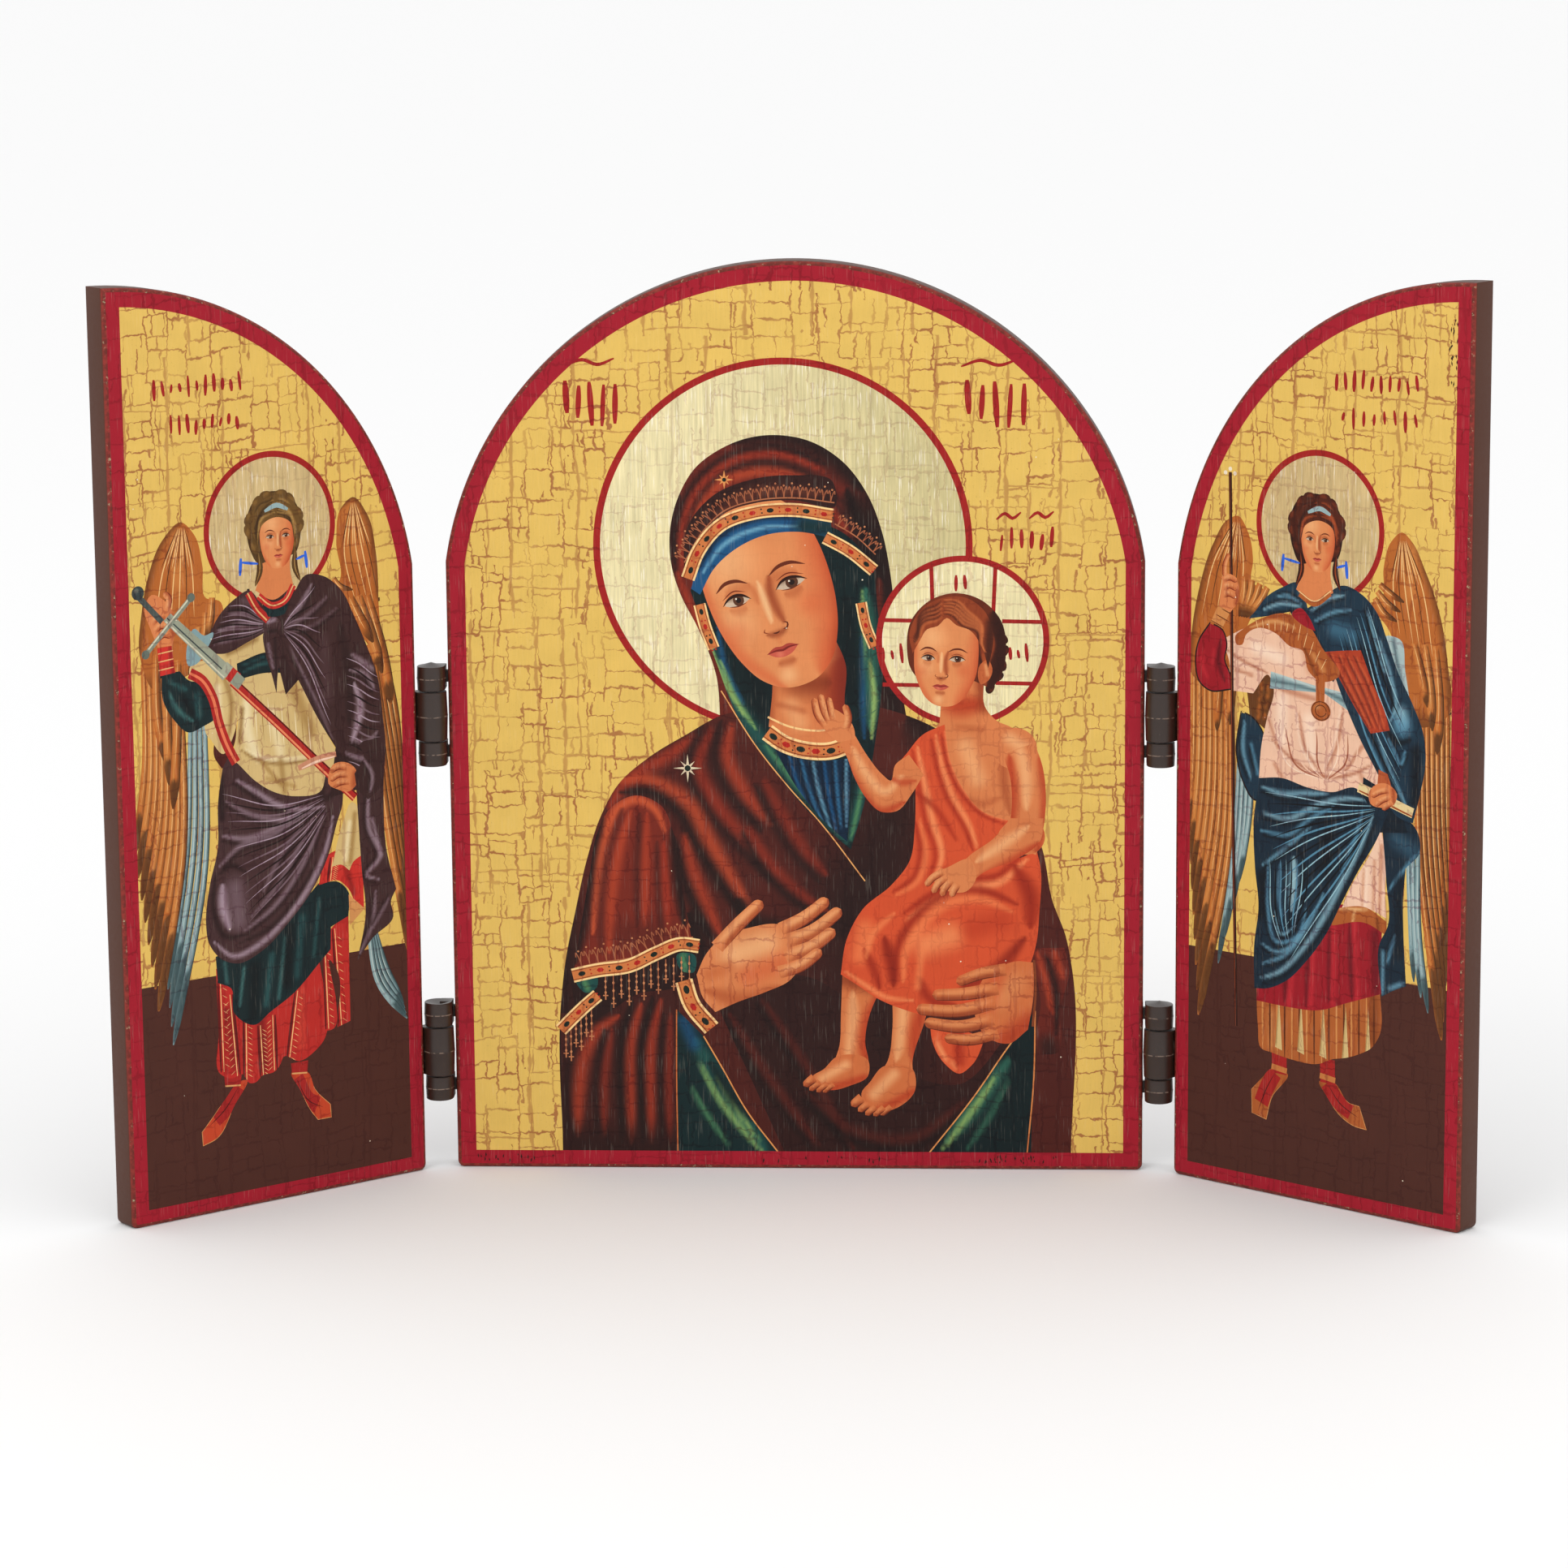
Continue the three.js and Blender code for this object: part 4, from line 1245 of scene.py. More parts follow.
def paintChildLegs(picture):
    legs = ([
        (11.2, 50, 1), (10.8, 40), (10.4, 32), (9.4, 27.6), (17.4, 27), (16.8, 33), (19.6, 44), (22, 48, 1),
    ], [
        (23.6, 46, 1), (23.6, 36), (22.4, 28), (20.6, 24.4), (28.4, 23.6), (28.6, 28), (31.6, 38),
        (34, 47, 1),
    ])
    for leg in legs:
        x = leg[0][0]
        picture.area(leg, ("skin", 0.55), [
            (0.85, 3, 0.8, (x + 2.6, 46), (x + 2.4, 36), (x + 1, 28)),
            (warmShade, 3.6, 0.85, (x + 9.6, 46), (x + 6, 36), (x + 5.6, 27)),
            (0.2, 4, 0.8, (x + 1, 49), (x + 9, 47)),
        ], grid=0.7)
    drawFoot(picture, [
        (9.6, 29), (6.4, 25.8), (3.4, 23.6), (3.6, 21.8), (8, 20.4), (13, 21.6), (17.4, 24), (17.6, 28),
    ], [(1.4, 6.2, 19.8), (1.5, 4.6, 19.9), (1.7, 2.8, 20.3), (2.3, 1.4, 21.4)], [
        (0.85, 2.2, 0.8, (12, 27), (6, 23.4)), (warmShade, 2, 0.8, (6, 20), (16.6, 23.6)),
    ])
    drawFoot(picture, [
        (21, 26.4), (18, 22.6), (15.8, 19.6), (16.2, 17.4), (20, 14.8), (24, 15.6), (29.2, 20.4), (28.6, 26),
    ], [(1.5, 20.6, 14), (1.6, 18.8, 13.8), (1.7, 16.8, 14), (1.9, 15, 14.9), (2.5, 13.3, 16.3)], [
        (0.85, 2.6, 0.8, (24, 24.6), (19, 19.4)), (warmShade, 2, 0.8, (19, 14.4), (28.8, 20)),
    ])


def paintChildBody(picture):
    torso = [(36.4, 126, 1), (35.6, 114, 1), (33, 110), (34, 100), (40, 92), (48, 87), (58, 86), (57.6, 100),
             (56.6, 108.6), (53.4, 112.8), (49.6, 114.6), (47, 117.6), (46.6, 126, 1)]
    picture.area(torso, ("skin", 0.6), [
        (warmShade, 5, 0.9, (37, 124), (39, 119), (47, 119)), (0.25, 3, 0.8, (46, 124), (46.6, 118)),
        (0.85, 4, 0.7, (42, 108), (45, 100)), (0.8, 2.6, 0.7, (52, 110), (56, 105)),
        (0.3, 2.2, 0.6, (51.8, 110), (51.4, 100), (53, 91)),
        (0.38, 2, 0.5, (40, 96), (46, 93.6), (51, 95.4)), (0.4, 1.4, 0.5, (40, 113), (46, 112.4)),
    ], grid=0.6)
    tunic = [(36.8, 113.6, 1), (31.4, 111), (27.2, 106), (25, 103.4, 1), (29.6, 98, 1), (29.4, 88), (28, 79),
             (23.5, 73), (16.5, 67), (12.3, 59), (10.8, 50.2, 1), (15, 47.4), (20, 44), (26, 41.4),
             (33, 39.6), (41, 40.4), (50, 44), (57, 51), (59.4, 58), (60.2, 66), (60.4, 78), (59.5, 82, 1),
             (55, 80), (50, 86), (52.6, 89.4, 1), (46, 91.8), (41.4, 97.4), (38.4, 104)]
    picture.area(tunic, ("tunic", 0.48), [
        *fold(1.7, 0.84, 0.24, (30, 108.4), (31.6, 100), (33.6, 90), (36, 80), (34, 74)),
        *fold(1.5, 0.82, 0.2, (34.6, 111), (36, 104), (38.6, 96), (43, 88), (45, 82)),
        *fold(1.3, 0.8, 0.2, (37, 112), (38.6, 104), (42, 97), (47.4, 91.4), (52, 89.6)),
        *fold(1.5, 0.7, 0.2, (30.6, 90), (32, 80), (30, 74), (24, 70)),
        *fold(2.0, 0.84, 0.2, (57.6, 80), (50, 73.6), (42, 72.4), (34, 69), (27, 64)),
        *fold(2.6, 0.72, 0.15, (54, 66), (46, 69.4), (38, 68.6), (31, 63), (27, 56), (26.4, 48)),
        (0.82, 6, 0.8, (32, 58), (38, 60)), (0.74, 4, 0.7, (17, 62), (15.6, 55)),
        (0.1, 3, 0.9, (21.6, 60), (23.6, 52), (24, 47)),
        (0.16, 2.2, 0.8, (16.6, 57), (19.6, 50), (20.6, 46)), (0.16, 4, 0.9, (54, 78), (58, 70), (58, 62)),
        (0.1, 3, 0.8, (40, 46), (50, 52), (57, 60)), (0.15, 2.4, 0.8, (30, 50), (33, 44), (40, 42)),
        (0.76, 1.6, 0.7, (31, 56), (30, 47)),
        (0.8, 1.2, 0.8, (11.6, 51.2), (17, 47.4), (22, 44.4), (29, 43.6)),
        (0.76, 1.6, 0.7, (24.4, 66), (18.6, 60), (17, 54)), (0.2, 1.5, 0.7, (29, 97), (34, 93), (40, 84)),
        (0.3, 5, 0.6, (44, 62), (51, 64)),
    ], grid=0.6)


def paintChildArms(picture):
    picture.area(ellipse(54, 107.6, 5.6, 5.2), ("skin", 0.6), [(0.86, 3, 0.8, (53, 110), (57, 107))],
                 grid=0.6)
    upperArm = ribbon(smoothLine([(55, 107.6), (56.9, 102), (57.6, 95), (56.6, 86), (55.4, 82)]), 8.4)
    picture.area(upperArm, ("skin", 0.6), [
        (0.86, 3, 0.8, (54.6, 110), (56.6, 102), (57, 92)),
        (warmShade, 3, 0.85, (52.8, 106), (53.4, 96), (53, 86)),
        (warmShade, 2.2, 0.7, (60, 106), (61.6, 96), (60.6, 86)),
    ], grid=0.6)
    picture.area(ellipse(57, 85.4, 4.6, 4.6), ("skin", 0.55), [(warmShade, 2, 0.7, (60.6, 88), (60, 82))],
                 grid=0.6)
    foreArm = [(61.2, 90, 1), (60.6, 84.6), (54, 79.4), (46, 76), (41.6, 71.6, 1), (38.6, 76, 1), (43, 80.6),
               (49, 85), (53, 90, 1)]
    picture.area(foreArm, ("skin", 0.58), [
        (0.86, 2.6, 0.8, (57.6, 88), (52, 84), (44.6, 79)),
        (warmShade, 2.6, 0.85, (60.6, 84), (53, 78.6), (44, 74)),
    ], grid=0.6)
    drawHand(picture, [
        (43, 79.6), (37.6, 77.6), (34, 75.6), (34.6, 73), (38, 71.4), (42, 71.4), (44.6, 75),
    ], [
        (1.9, (40, 73.4), (38.8, 71.4), (38.4, 70)), (1.9, (38.4, 74.4), (36.6, 72), (36, 70.2)),
        (1.9, (37, 75.2), (34.8, 73), (33.8, 71)), (1.9, (36.6, 76.6), (33.6, 74.8), (32, 72.8)),
    ], grid=0.5)
    raised = [(31.6, 101, 1), (28.6, 96), (25, 91.8), (21, 91.6), (17.4, 95), (14.6, 100), (12.4, 106),
              (11, 108.6, 1), (14.6, 111, 1), (17.8, 105.6), (21.4, 101), (23.4, 99.4), (24.6, 103.4),
              (28, 106, 1)]
    picture.area(raised, ("skin", 0.58), [
        (0.86, 2.2, 0.8, (14, 108), (17.6, 101), (22, 96.6), (26.6, 101)),
        (warmShade, 2.4, 0.8, (11.6, 106), (15, 98), (21, 91.6), (27, 94)),
        (warmShade, 1.6, 0.7, (23.6, 100), (26, 99), (29.6, 99.4)),
    ], grid=0.55)
    drawHand(picture, [
        (10.6, 109, 1), (7, 112.6), (5.8, 116), (8.6, 117.6), (12, 116), (14.4, 112.8), (14.8, 110, 1),
    ], [
        (1.9, (12.2, 112), (13, 115), (12.2, 118.6)), (1.9, (7.6, 113), (5.6, 116), (4.6, 120.2)),
        (1.9, (8.6, 114), (7.2, 117), (6.2, 121.2)), (1.8, (9.4, 114.6), (8.8, 117.4), (8.2, 120.4)),
    ], grid=0.45)


def paintChildHead(picture):
    drawWaves(picture, (40.4, 132), (11, 12.6), (-46, 60), 8, 1.7, ("hair", 0.08), 0.2)
    hair = [(36.4, 123), (31.6, 124), (28.6, 127.4), (27.6, 132.6), (28.6, 139.4), (33, 144.4),
            (39.6, 146.4), (46, 144.6), (50.8, 139.4), (52, 132.6), (50.8, 126), (48.4, 122.4, 1),
            (46, 123.6), (43.6, 124.6), (41, 124.4)]
    curls = [(0.02, 6, 0.9, (49, 142), (51, 133), (48, 122)), (0.5, 5, 0.7, (33, 143), (40, 145))]
    for k in range(6):
        path = [(41, 144.6 - k * 0.6), (46.6 - k * 0.5, 140 - k), (48.4 - k * 0.4, 132), (45.6, 121 + k)]
        curls += fold(0.8, 0.66, 0.1, *wavy(path, 0.55, 5))
    picture.area(hair, ("hair", 0.34), curls, grid=0.4)
    picture.area([(45.6, 128.6), (47.4, 129.8), (48.6, 127.6), (47.6, 124.6), (46, 123.6)], ("skin", 0.45), [
        (0.8, 0.8, 0.8, (47, 128.4), (47.4, 126))
    ], grid=0.4)
    drawFace(picture, 37.8, 130, 25.5, tilt=-3, turn=-10, grid=0.3, shadow=0.75, low=0.03)
    fringe = [(29, 131.4, 1), (28.2, 136), (30.6, 141.6), (35.6, 145), (41.6, 145.4), (46.6, 142),
              (48.8, 136), (47.6, 127.6, 1), (46, 133), (43, 137.2), (39.8, 138.4), (37.4, 140.2),
              (35.2, 138.2), (32.6, 137.4), (30.8, 134.6)]
    waves = [(0.05, 2.4, 0.8, (48.4, 139), (47.6, 129))]
    for k in range(5):
        path = [(36.6, 144.6 - k * 0.7), (41.6, 143.4 - k), (45, 139.4 - k * 0.7), (47, 131.6)]
        waves += fold(0.7, 0.9, 0.2, *wavy(path, 0.5, 4))
    for k in range(4):
        path = [(36.4, 144 - k * 1.1), (32.6, 141.6 - k), (29.6, 135 - k * 0.5)]
        waves += fold(0.7, 0.85, 0.2, *wavy(path, 0.4, 3))
    picture.area(fringe, ("hair", 0.56), waves, grid=0.3)


def paintChild(picture):  # a smoother surface than the rest
    usual, picture.cracked = picture.cracked, 0.32
    for paintPart in (paintChildLegs, paintChildBody, paintChildArms, paintChildHead):
        paintPart(picture)
    picture.cracked = usual


def paintCentre(place, half):
    picture = startPicture(place, half, {"sides": 4.8, "foot": 4.5})
    # painted shade: the centre halo's leaf darkens towards its right, standing in for how the light falls on
    # the gold
    halo(picture, -2.8, 157.9, 46.6, 1.7, strokes=[(0.1, "fade", 0.8, (-20, 160), (44, 170))])
    paintMother(picture)
    halo(picture, 41.3, 134.4, 21.3, 1.5)
    for x in (34.0, 48.8):
        picture.line([(x, 141), (x - 0.4 + (x > 40), 154)], 1.0, ("ring", 0))
    for z, x in ((139.7, 20.6), (123.6, 21.6), (139.4, 51), (124, 49.4)):
        picture.line([(x, z), (x + 10, z - 0.2)], 1.0, ("ring", 0))
    for low, high, count in (
        ((20.6, 128), (27.4, 134), 3), ((52, 128.4), (58, 134), 3), ((38.6, 146.8), (43, 151.6), 2),
        ((-57, 187), (-42, 200), 5), ((41, 186.4), (58, 200), 5), ((49.6, 156), (64.4, 163), 6),
    ):
        drawInscription(picture, low, high, count, 0.9 if high[1] < 180 else 1.3)
    # the curled bar over each
    for x, z, wide in ((-49.6, 203.4, 6), (48, 203, 7), (52.6, 165.4, 3), (60.6, 165.6, 3)):
        picture.line([
            (x - wide, z - 0.8), (x - wide * 0.3, z + 0.7), (x + wide * 0.3, z - 0.5), (x + wide, z + 1),
        ], 0.9, ("ring", 0), taper=0.6)
    paintTail(picture)
    paintChild(picture)
    paintHoldingHand(picture)
    paintPointingHand(picture)
    # knocks along the foot of the border
    for low, high, count in ((-82, -56, 16), (-20, 30, 10), (44, 66, 26)):
        drawWear(picture, (low, high), (1.8, 3.4), count, picture.border)
    drawSpecks(picture, (-70, 70), (20, 200), 26)
    return picture


# the winged figures: what both share

wingLook = {"border": {"sides": 4.6, "foot": 4.1}, "floorLevel": 59.3, "haloSize": (18.6, 1.5)}


def startWing(place, half):  # the border, the ground and the dark floor that the figure stands on
    picture = startPicture(place, half, wingLook["border"])
    near, far = (-86, 1) if place["side"] < 0 else (-1, 86)  # a little past both edges
    level = wingLook["floorLevel"]
    floor = [(near, -2, 1), (far, -2, 1), (far, level, 1), (near, level, 1)]
    picture.area(floor, ("floor", 0.5), grid=3.0, crackle=0.39)
    return picture


def drawFeathers(picture, first, last, count, width, family="feather", level=0.5):
    for k in range(count):
        points = partway(first, last, k / max(count - 1, 1))
        path = smoothLine(points, step=1.5)
        share = np.linspace(0, 1, len(path))
        half = width / 2 * (0.7 + 0.3 * share) * np.sqrt(np.clip((1 - share) * len(path) / 4, 0.03, 1))
        side = sideways(path) * half[:, None]
        edge = -side if side[0, 0] > 0 else side
        spine = path.tolist()
        tip = max(2, len(spine) // 4)
        picture.area(np.vstack([path - side, (path + side)[::-1]]), (family, level + 0.07 * (k % 2)), [
            (0.08, width * 0.45, 0.8, *(path - edge * 0.9).tolist()[::3]),
            (level + 0.22, width * 0.3, 0.7, *(path + edge * 0.35).tolist()[:-2:3]),
            (0.04, width * 1.2, 0.9, *spine[-tip:]),
        ], grid=0.9)
        picture.line((path + edge * 0.1)[: int(len(path) * 0.75)], 0.16, (family, level + 0.42), taper=1.0)
        picture.line((path - edge)[1:], 0.28, (family, 0.0), taper=1.0)


def drawWing(picture, lobe, ribs, fans, down):
    for fan in fans:
        drawFeathers(picture, *fan)
    low, high = np.array(lobe, float)[:, :2].min(0), np.array(lobe, float)[:, :2].max(0)
    shape = picture.area(lobe, ("feather", 0.46), [
        (0.14, 6, 0.8, (low[0], low[1]), (high[0], low[1])), (0.14, 2.4, 0.8, *lobe[:5]),
        (0.62, 4, 0.7, ((low[0] + high[0]) / 2, high[1] - 4), ((low[0] + high[0]) / 2, high[1] - 14)),
    ], grid=0.8, rim=("feather", 0.0))
    first, last, count = ribs
    for k in range(count):
        rib = partway(first, last, k / (count - 1))
        picture.line(rib[: 3 if k % 2 else 2], 0.3, ("feather", 0.9 if k % 3 else 0.1), taper=1.0,
                     within=shape)
    for fan in down:
        drawFeathers(picture, *fan)


# each pleat: top, foot and which way it faces
def drawPleats(picture, area, lines, light=("red", 0.95), dark=("red", 0.05)):
    for top, foot, way in lines:
        picture.line([top, foot], 0.75, dark, taper=0.6, within=area)
        picture.line([(top[0] + way * 0.7, top[1]), (foot[0] + way * 0.8, foot[1])], 0.3, light, taper=0.4,
                     within=area)
        for k in range(1, 12):
            z = top[1] + (foot[1] - top[1]) * k / 12
            x = top[0] + (foot[0] - top[0]) * k / 12 + way * 1.2
            picture.line([(x, z), (x + way * 1.3, z - 0.9)], 0.16, light, taper=0.8, within=area)


def drawShoe(picture, points, spine, border=("red", 0.6), wide=4.2):  # a red upper in a paler sole and toe
    shoe = picture.area(points, border, [(0.2, 0.8, 0.7, points[0], points[1])], grid=0.8)
    before, tip = spine[-2:]
    toe = (0.4 * before[0] + 0.6 * tip[0], 0.4 * before[1] + 0.6 * tip[1])
    picture.line(spine[:-1] + [toe], wide, ("red", 0.3), within=shoe)
    edge = smoothLine(points, closed=True)
    picture.line(edge[len(edge) // 5 : -len(edge) // 5], 0.35, ("ochre", 0.75), taper=0.6, within=shoe)
    picture.line(spine, 0.3, ("red", 0.0), taper=1.0, within=shoe)


def drawAngelHead(picture, x, z, turn=4, hair=("fairHair", 0.42)):
    family, level = hair
    ribbonReach = {-1: 10.2, 1: 8}  # how far the hair band's ends stand out on each side

    def near(*points):
        return [(x + point[0], z + point[1], *point[2:]) for point in points]

    neck = near(
        (-4.4, -4, 1), (-5, -9), (-6.4, -12.6, 1), (-1.6, -15.4), (4.4, -12.4, 1), (3.6, -8.6), (3.8, -4, 1),
    )
    picture.area(neck, ("skin", 0.62), [
        (0.15, 3.2, 0.9, (-4, -7.4), (0, -9.4), (4, -7)), (0.25, 2, 0.8, (4.2, -6), (3.8, -12)),
        (0.4, 1, 0.6, (-3.6, -12), (-1.2, -14.6)), (0.4, 1, 0.6, (2.6, -11), (-0.4, -14)),
        (0.85, 1.6, 0.7, (-1.6, -10), (-1.4, -13)),
    ], grid=0.5, crackle=0.1)
    mane = near((-5.6, -6), (-7.4, -3), (-8.4, 1.4), (-8, 6), (-5.8, 9.4), (-2.4, 10.9), (1.6, 10.6),
                (4.9, 8.6), (6.9, 4.6), (6.9, 0), (5.2, -4.6), (0, -5))
    picture.area(mane, (family, level - 0.2), grid=0.8, rim=(family, 0.0))
    drawWaves(picture, (x - 0.6, z + 2.8), (6.7, 7.0), (-38, 218), 10, 2.4, (family, level - 0.04), 0.24)
    for side in (-1, 1):
        lock = near((side * 5.2, -3.6), (side * 5, -8), (side * 6.4, -11.6))
        picture.line(lock, 1.7, (family, level - 0.15), taper=0.9)
        picture.line(lock, 0.3, (family, level + 0.4), taper=1.0)
    drawFace(picture, x, z, 15.8, turn=turn, grid=0.3, shadow=0.55)
    crown = near((-5.2, -1, 1), (-6.8, 2.6), (-6.6, 6.4), (-3.6, 9), (0.4, 10), (4.2, 8.6), (6.4, 5), (6, 1),
                 (4.9, -1, 1), (4, 3), (0, 4.6), (-4, 3))
    locks = []
    for side in (-1, 1):
        for k in range(3):
            path = near((side * 0.5, 9 - k), (side * (3.8 - k * 0.3), 7.4 - k), (side * (5.8 - k * 0.4), 2))
            locks += fold(0.7, level + 0.4, 0.08, *wavy(path, 0.35, 3))
    picture.area(crown, (family, level), locks, grid=0.35)
    fringe = near((-5.3, -2, 1), (-5, 1.4), (-3.4, 4), (0.3, 5.2), (3.6, 3.8), (4.9, 1.2), (5, -2, 1),
                  (6.6, 2), (5.4, 6.2), (0, 8.6), (-5.2, 7), (-7, 2.6))
    waves = []
    for side in (-1, 1):
        for k in range(4):
            path = near((side * 0.4, 8.2 - k * 0.8), (side * (3.4 + k * 0.2), 6.2 - k * 0.5),
                        (side * (5.8 - k * 0.2), 1.8 - k))
            waves += fold(0.6, level + 0.45, 0.05, *path)
    picture.area(fringe, hair, waves, grid=0.35)
    picture.line(near((-3.2, 6.3), (0.2, 7.5), (3.4, 6.2)), 1.2, ("plume", 0.75), taper=0.5)
    for side in (-1, 1):
        hang = x + side * ribbonReach[side]
        picture.line([(x + side * 5.4, z - 6.2), (hang, z - 5.4)], 0.7, ("azure", 0), taper=0.5)
        picture.line([(hang, z - 4.4), (hang + side * 0.4, z - 8.6)], 0.9, ("azure", 0), taper=0.4)


# the left board: a winged figure with a sheathed sword

def paintLeftWing(place, half):
    picture = startWing(place, half)
    drawWing(picture, [
        (-78.4, 140), (-77.6, 150), (-75.4, 159), (-71, 167.4), (-66, 171), (-62.4, 167.6), (-60.4, 160),
        (-59.6, 152), (-56, 151), (-57, 141), (-63, 135), (-68, 133), (-74, 131),
    ], ([(-67, 169.6), (-72, 160), (-75, 146)], [(-65, 169.6), (-62.6, 160), (-62, 148)], 13), [
        ([(-65, 122), (-67, 92), (-73.6, 58)], [(-61, 124), (-62, 88), (-72.6, 44)], 4, 1.8, "plume", 0.62),
        ([(-77.4, 138), (-78, 112), (-81.6, 92)], [(-67.6, 134), (-68.2, 92), (-76.4, 53)], 8, 2.4),
    ], [
        ([(-74, 140), (-74, 124), (-72, 113)], [(-68, 138), (-69, 118), (-70.6, 102)], 3, 2.8),
        ([(-64, 142), (-64, 137), (-65, 134)], [(-58, 152), (-58.6, 147), (-60, 142)], 4, 2.4),
    ])
    drawWing(picture, [
        (-10.6, 146), (-11, 158), (-13.4, 168), (-17.4, 172.4), (-20.8, 170), (-22.4, 162), (-22, 152),
        (-25, 150), (-20, 144), (-15, 137), (-11, 132),
    ], ([(-18, 171), (-21, 160), (-18, 146)], [(-16.6, 171), (-12.6, 160), (-9.6, 146)], 11), [
        ([(-14, 64), (-11, 54), (-6, 44)], [(-16, 66), (-13, 50), (-5, 40)], 4, 1.9, "plume", 0.62),
        ([(-12, 142), (-6.6, 118), (-6, 84)], [(-14, 134), (-9.4, 90), (-3, 54)], 6, 2.6),
    ], [
        ([(-14, 148), (-10, 134), (-7.6, 120)], [(-19, 148), (-16, 142), (-12.4, 136)], 3, 3.4),
        ([(-23.4, 153), (-22, 151), (-18, 149.6)], [(-25, 152), (-23.4, 150), (-19.6, 147)], 2, 2.0),
    ])
    halo(picture, -41.2, 167.2, *wingLook["haloSize"], ("leafWing", 0.4))
    drawInscription(picture, (-73.4, 200.4), (-47.4, 205.8), 11)
    drawInscription(picture, (-69, 191.4), (-48.4, 196.8), 9)
    for paintPart in (paintLeftSkirts, paintLeftTunic, paintLeftWrap, paintLeftMantle, paintSwordArm,
                      paintSword, paintLeftHand):
        paintPart(picture)
    return picture


def paintLeftSkirts(picture):
    drawShoe(picture, [
        (-54, 32), (-58.6, 28), (-63, 23.4), (-65.4, 21, 1), (-65.2, 17.4, 1), (-61.2, 18.6), (-56, 26),
        (-52.4, 32),
    ], [(-54.6, 30.6), (-58.6, 25.6), (-63.4, 22)], ("tunic", 0.4))
    drawShoe(picture, [
        (-39.4, 31.6), (-37, 27), (-34, 21), (-32, 18.4, 1), (-28, 18.4, 1), (-28.2, 21.8, 1), (-32.6, 26.4),
        (-34.6, 31),
    ], [(-38, 30), (-34.4, 23.6), (-30.4, 21.4)], ("tunic", 0.4))
    for x in (-58.6, -39.4):
        boot = picture.area([
            (x, 34, 1), (x + 5, 34, 1), (x + 4.6, 30.6, 1), (x + 0.2, 31.2, 1),
        ], ("red", 0.3), grid=1.2)
        picture.line([(x, 31.4), (x + 4.8, 30.9)], 0.4, ("ochre", 0.8), within=boot)
    skirt = picture.area([
        (-60, 61, 1), (-59.8, 45), (-59.6, 34.6), (-56.4, 33), (-53.4, 33.6), (-51.4, 31), (-49.4, 31),
        (-48, 32.2), (-44, 32.8), (-42.4, 34.4), (-41.6, 36), (-37, 34.2), (-31, 37), (-30.6, 62, 1),
    ], ("red", 0.42), [
        (0.2, 2.6, 0.8, (-57, 50), (-55.4, 36)), (0.15, 2.2, 0.9, (-47.6, 46), (-47.2, 34)),
        (0.6, 2, 0.6, (-36, 52), (-36, 38)),
    ], grid=0.9)
    drawPleats(picture, skirt, [
        ((-59.6, 58), (-59.4, 35), 1), ((-55.6, 54), (-54, 33), -1), ((-52.6, 48), (-53, 32), 1),
        ((-48.6, 45), (-48.2, 32), 1), ((-43.6, 47), (-43.4, 33), -1), ((-37.6, 52), (-40.8, 34), 1),
    ])
    side = picture.area([
        (-29.6, 64, 1), (-29.2, 40.6, 1), (-27.4, 40.6), (-27, 58), (-25.6, 56), (-25.6, 41, 1),
        (-21.8, 42, 1), (-21.6, 70, 1),
    ], ("red", 0.42), grid=0.9)
    drawPleats(picture, side, [((-29.4, 62), (-29, 41), 1), ((-26.4, 66), (-25.2, 41), 1)])
    under = [(-60, 64, 1), (-59.6, 57.4, 1), (-55.8, 55.4), (-55.4, 49.6), (-49, 45.4), (-45.4, 47.6),
             (-38, 51.6), (-30, 58.4), (-27, 61, 1), (-26.8, 66.6, 1), (-21.6, 68.6, 1), (-21.4, 74.6),
             (-24, 77.4), (-30, 78, 1), (-40, 70)]
    picture.area(under, ("teal", 0.25), [
        (0.75, 1.1, 0.8, (-57.6, 62), (-57, 57)), (0.8, 0.8, 0.9, (-52, 60), (-53.6, 51)),
        (0.7, 1.6, 0.8, (-44, 62), (-46, 50)), (0.8, 0.9, 0.8, (-40, 66), (-42.4, 51)),
        (0.6, 2, 0.8, (-35, 70), (-37, 56)), (0.7, 0.9, 0.7, (-30, 74), (-32, 60)),
        (0.0, 3, 0.8, (-49, 60), (-49.6, 48)), (0.0, 2.4, 0.8, (-38.6, 68), (-39.6, 54)),
    ], grid=0.7)
    hem = picture.area([
        (-30, 77.6, 1), (-28, 84), (-17, 86, 1), (-17, 70, 1), (-18.6, 70.6), (-21.4, 75.4), (-24, 77.8),
    ], ("red", 0.5), [(0.15, 1.4, 0.8, (-21.6, 80), (-20, 74))], grid=0.9)
    drawPleats(picture, hem, [((-26.4, 84), (-27.4, 78), 1)])
    picture.area([
        (-26, 81.6, 1), (-22.6, 92), (-19.6, 97), (-17.4, 95, 1), (-17.2, 83.4, 1), (-19.8, 82),
        (-21, 80, 1), (-23.4, 81.8),
    ], ("cream", 0.6), [
        (0.2, 1.2, 0.8, (-19, 94), (-20.6, 82)), (0.95, 1.2, 0.8, (-20.6, 92), (-22, 83)),
    ], grid=0.7)
    picture.area([(-21.4, 74, 1), (-16.8, 69.8, 1), (-21.2, 66.2, 1)], ("ochre", 0.75), grid=1.2)


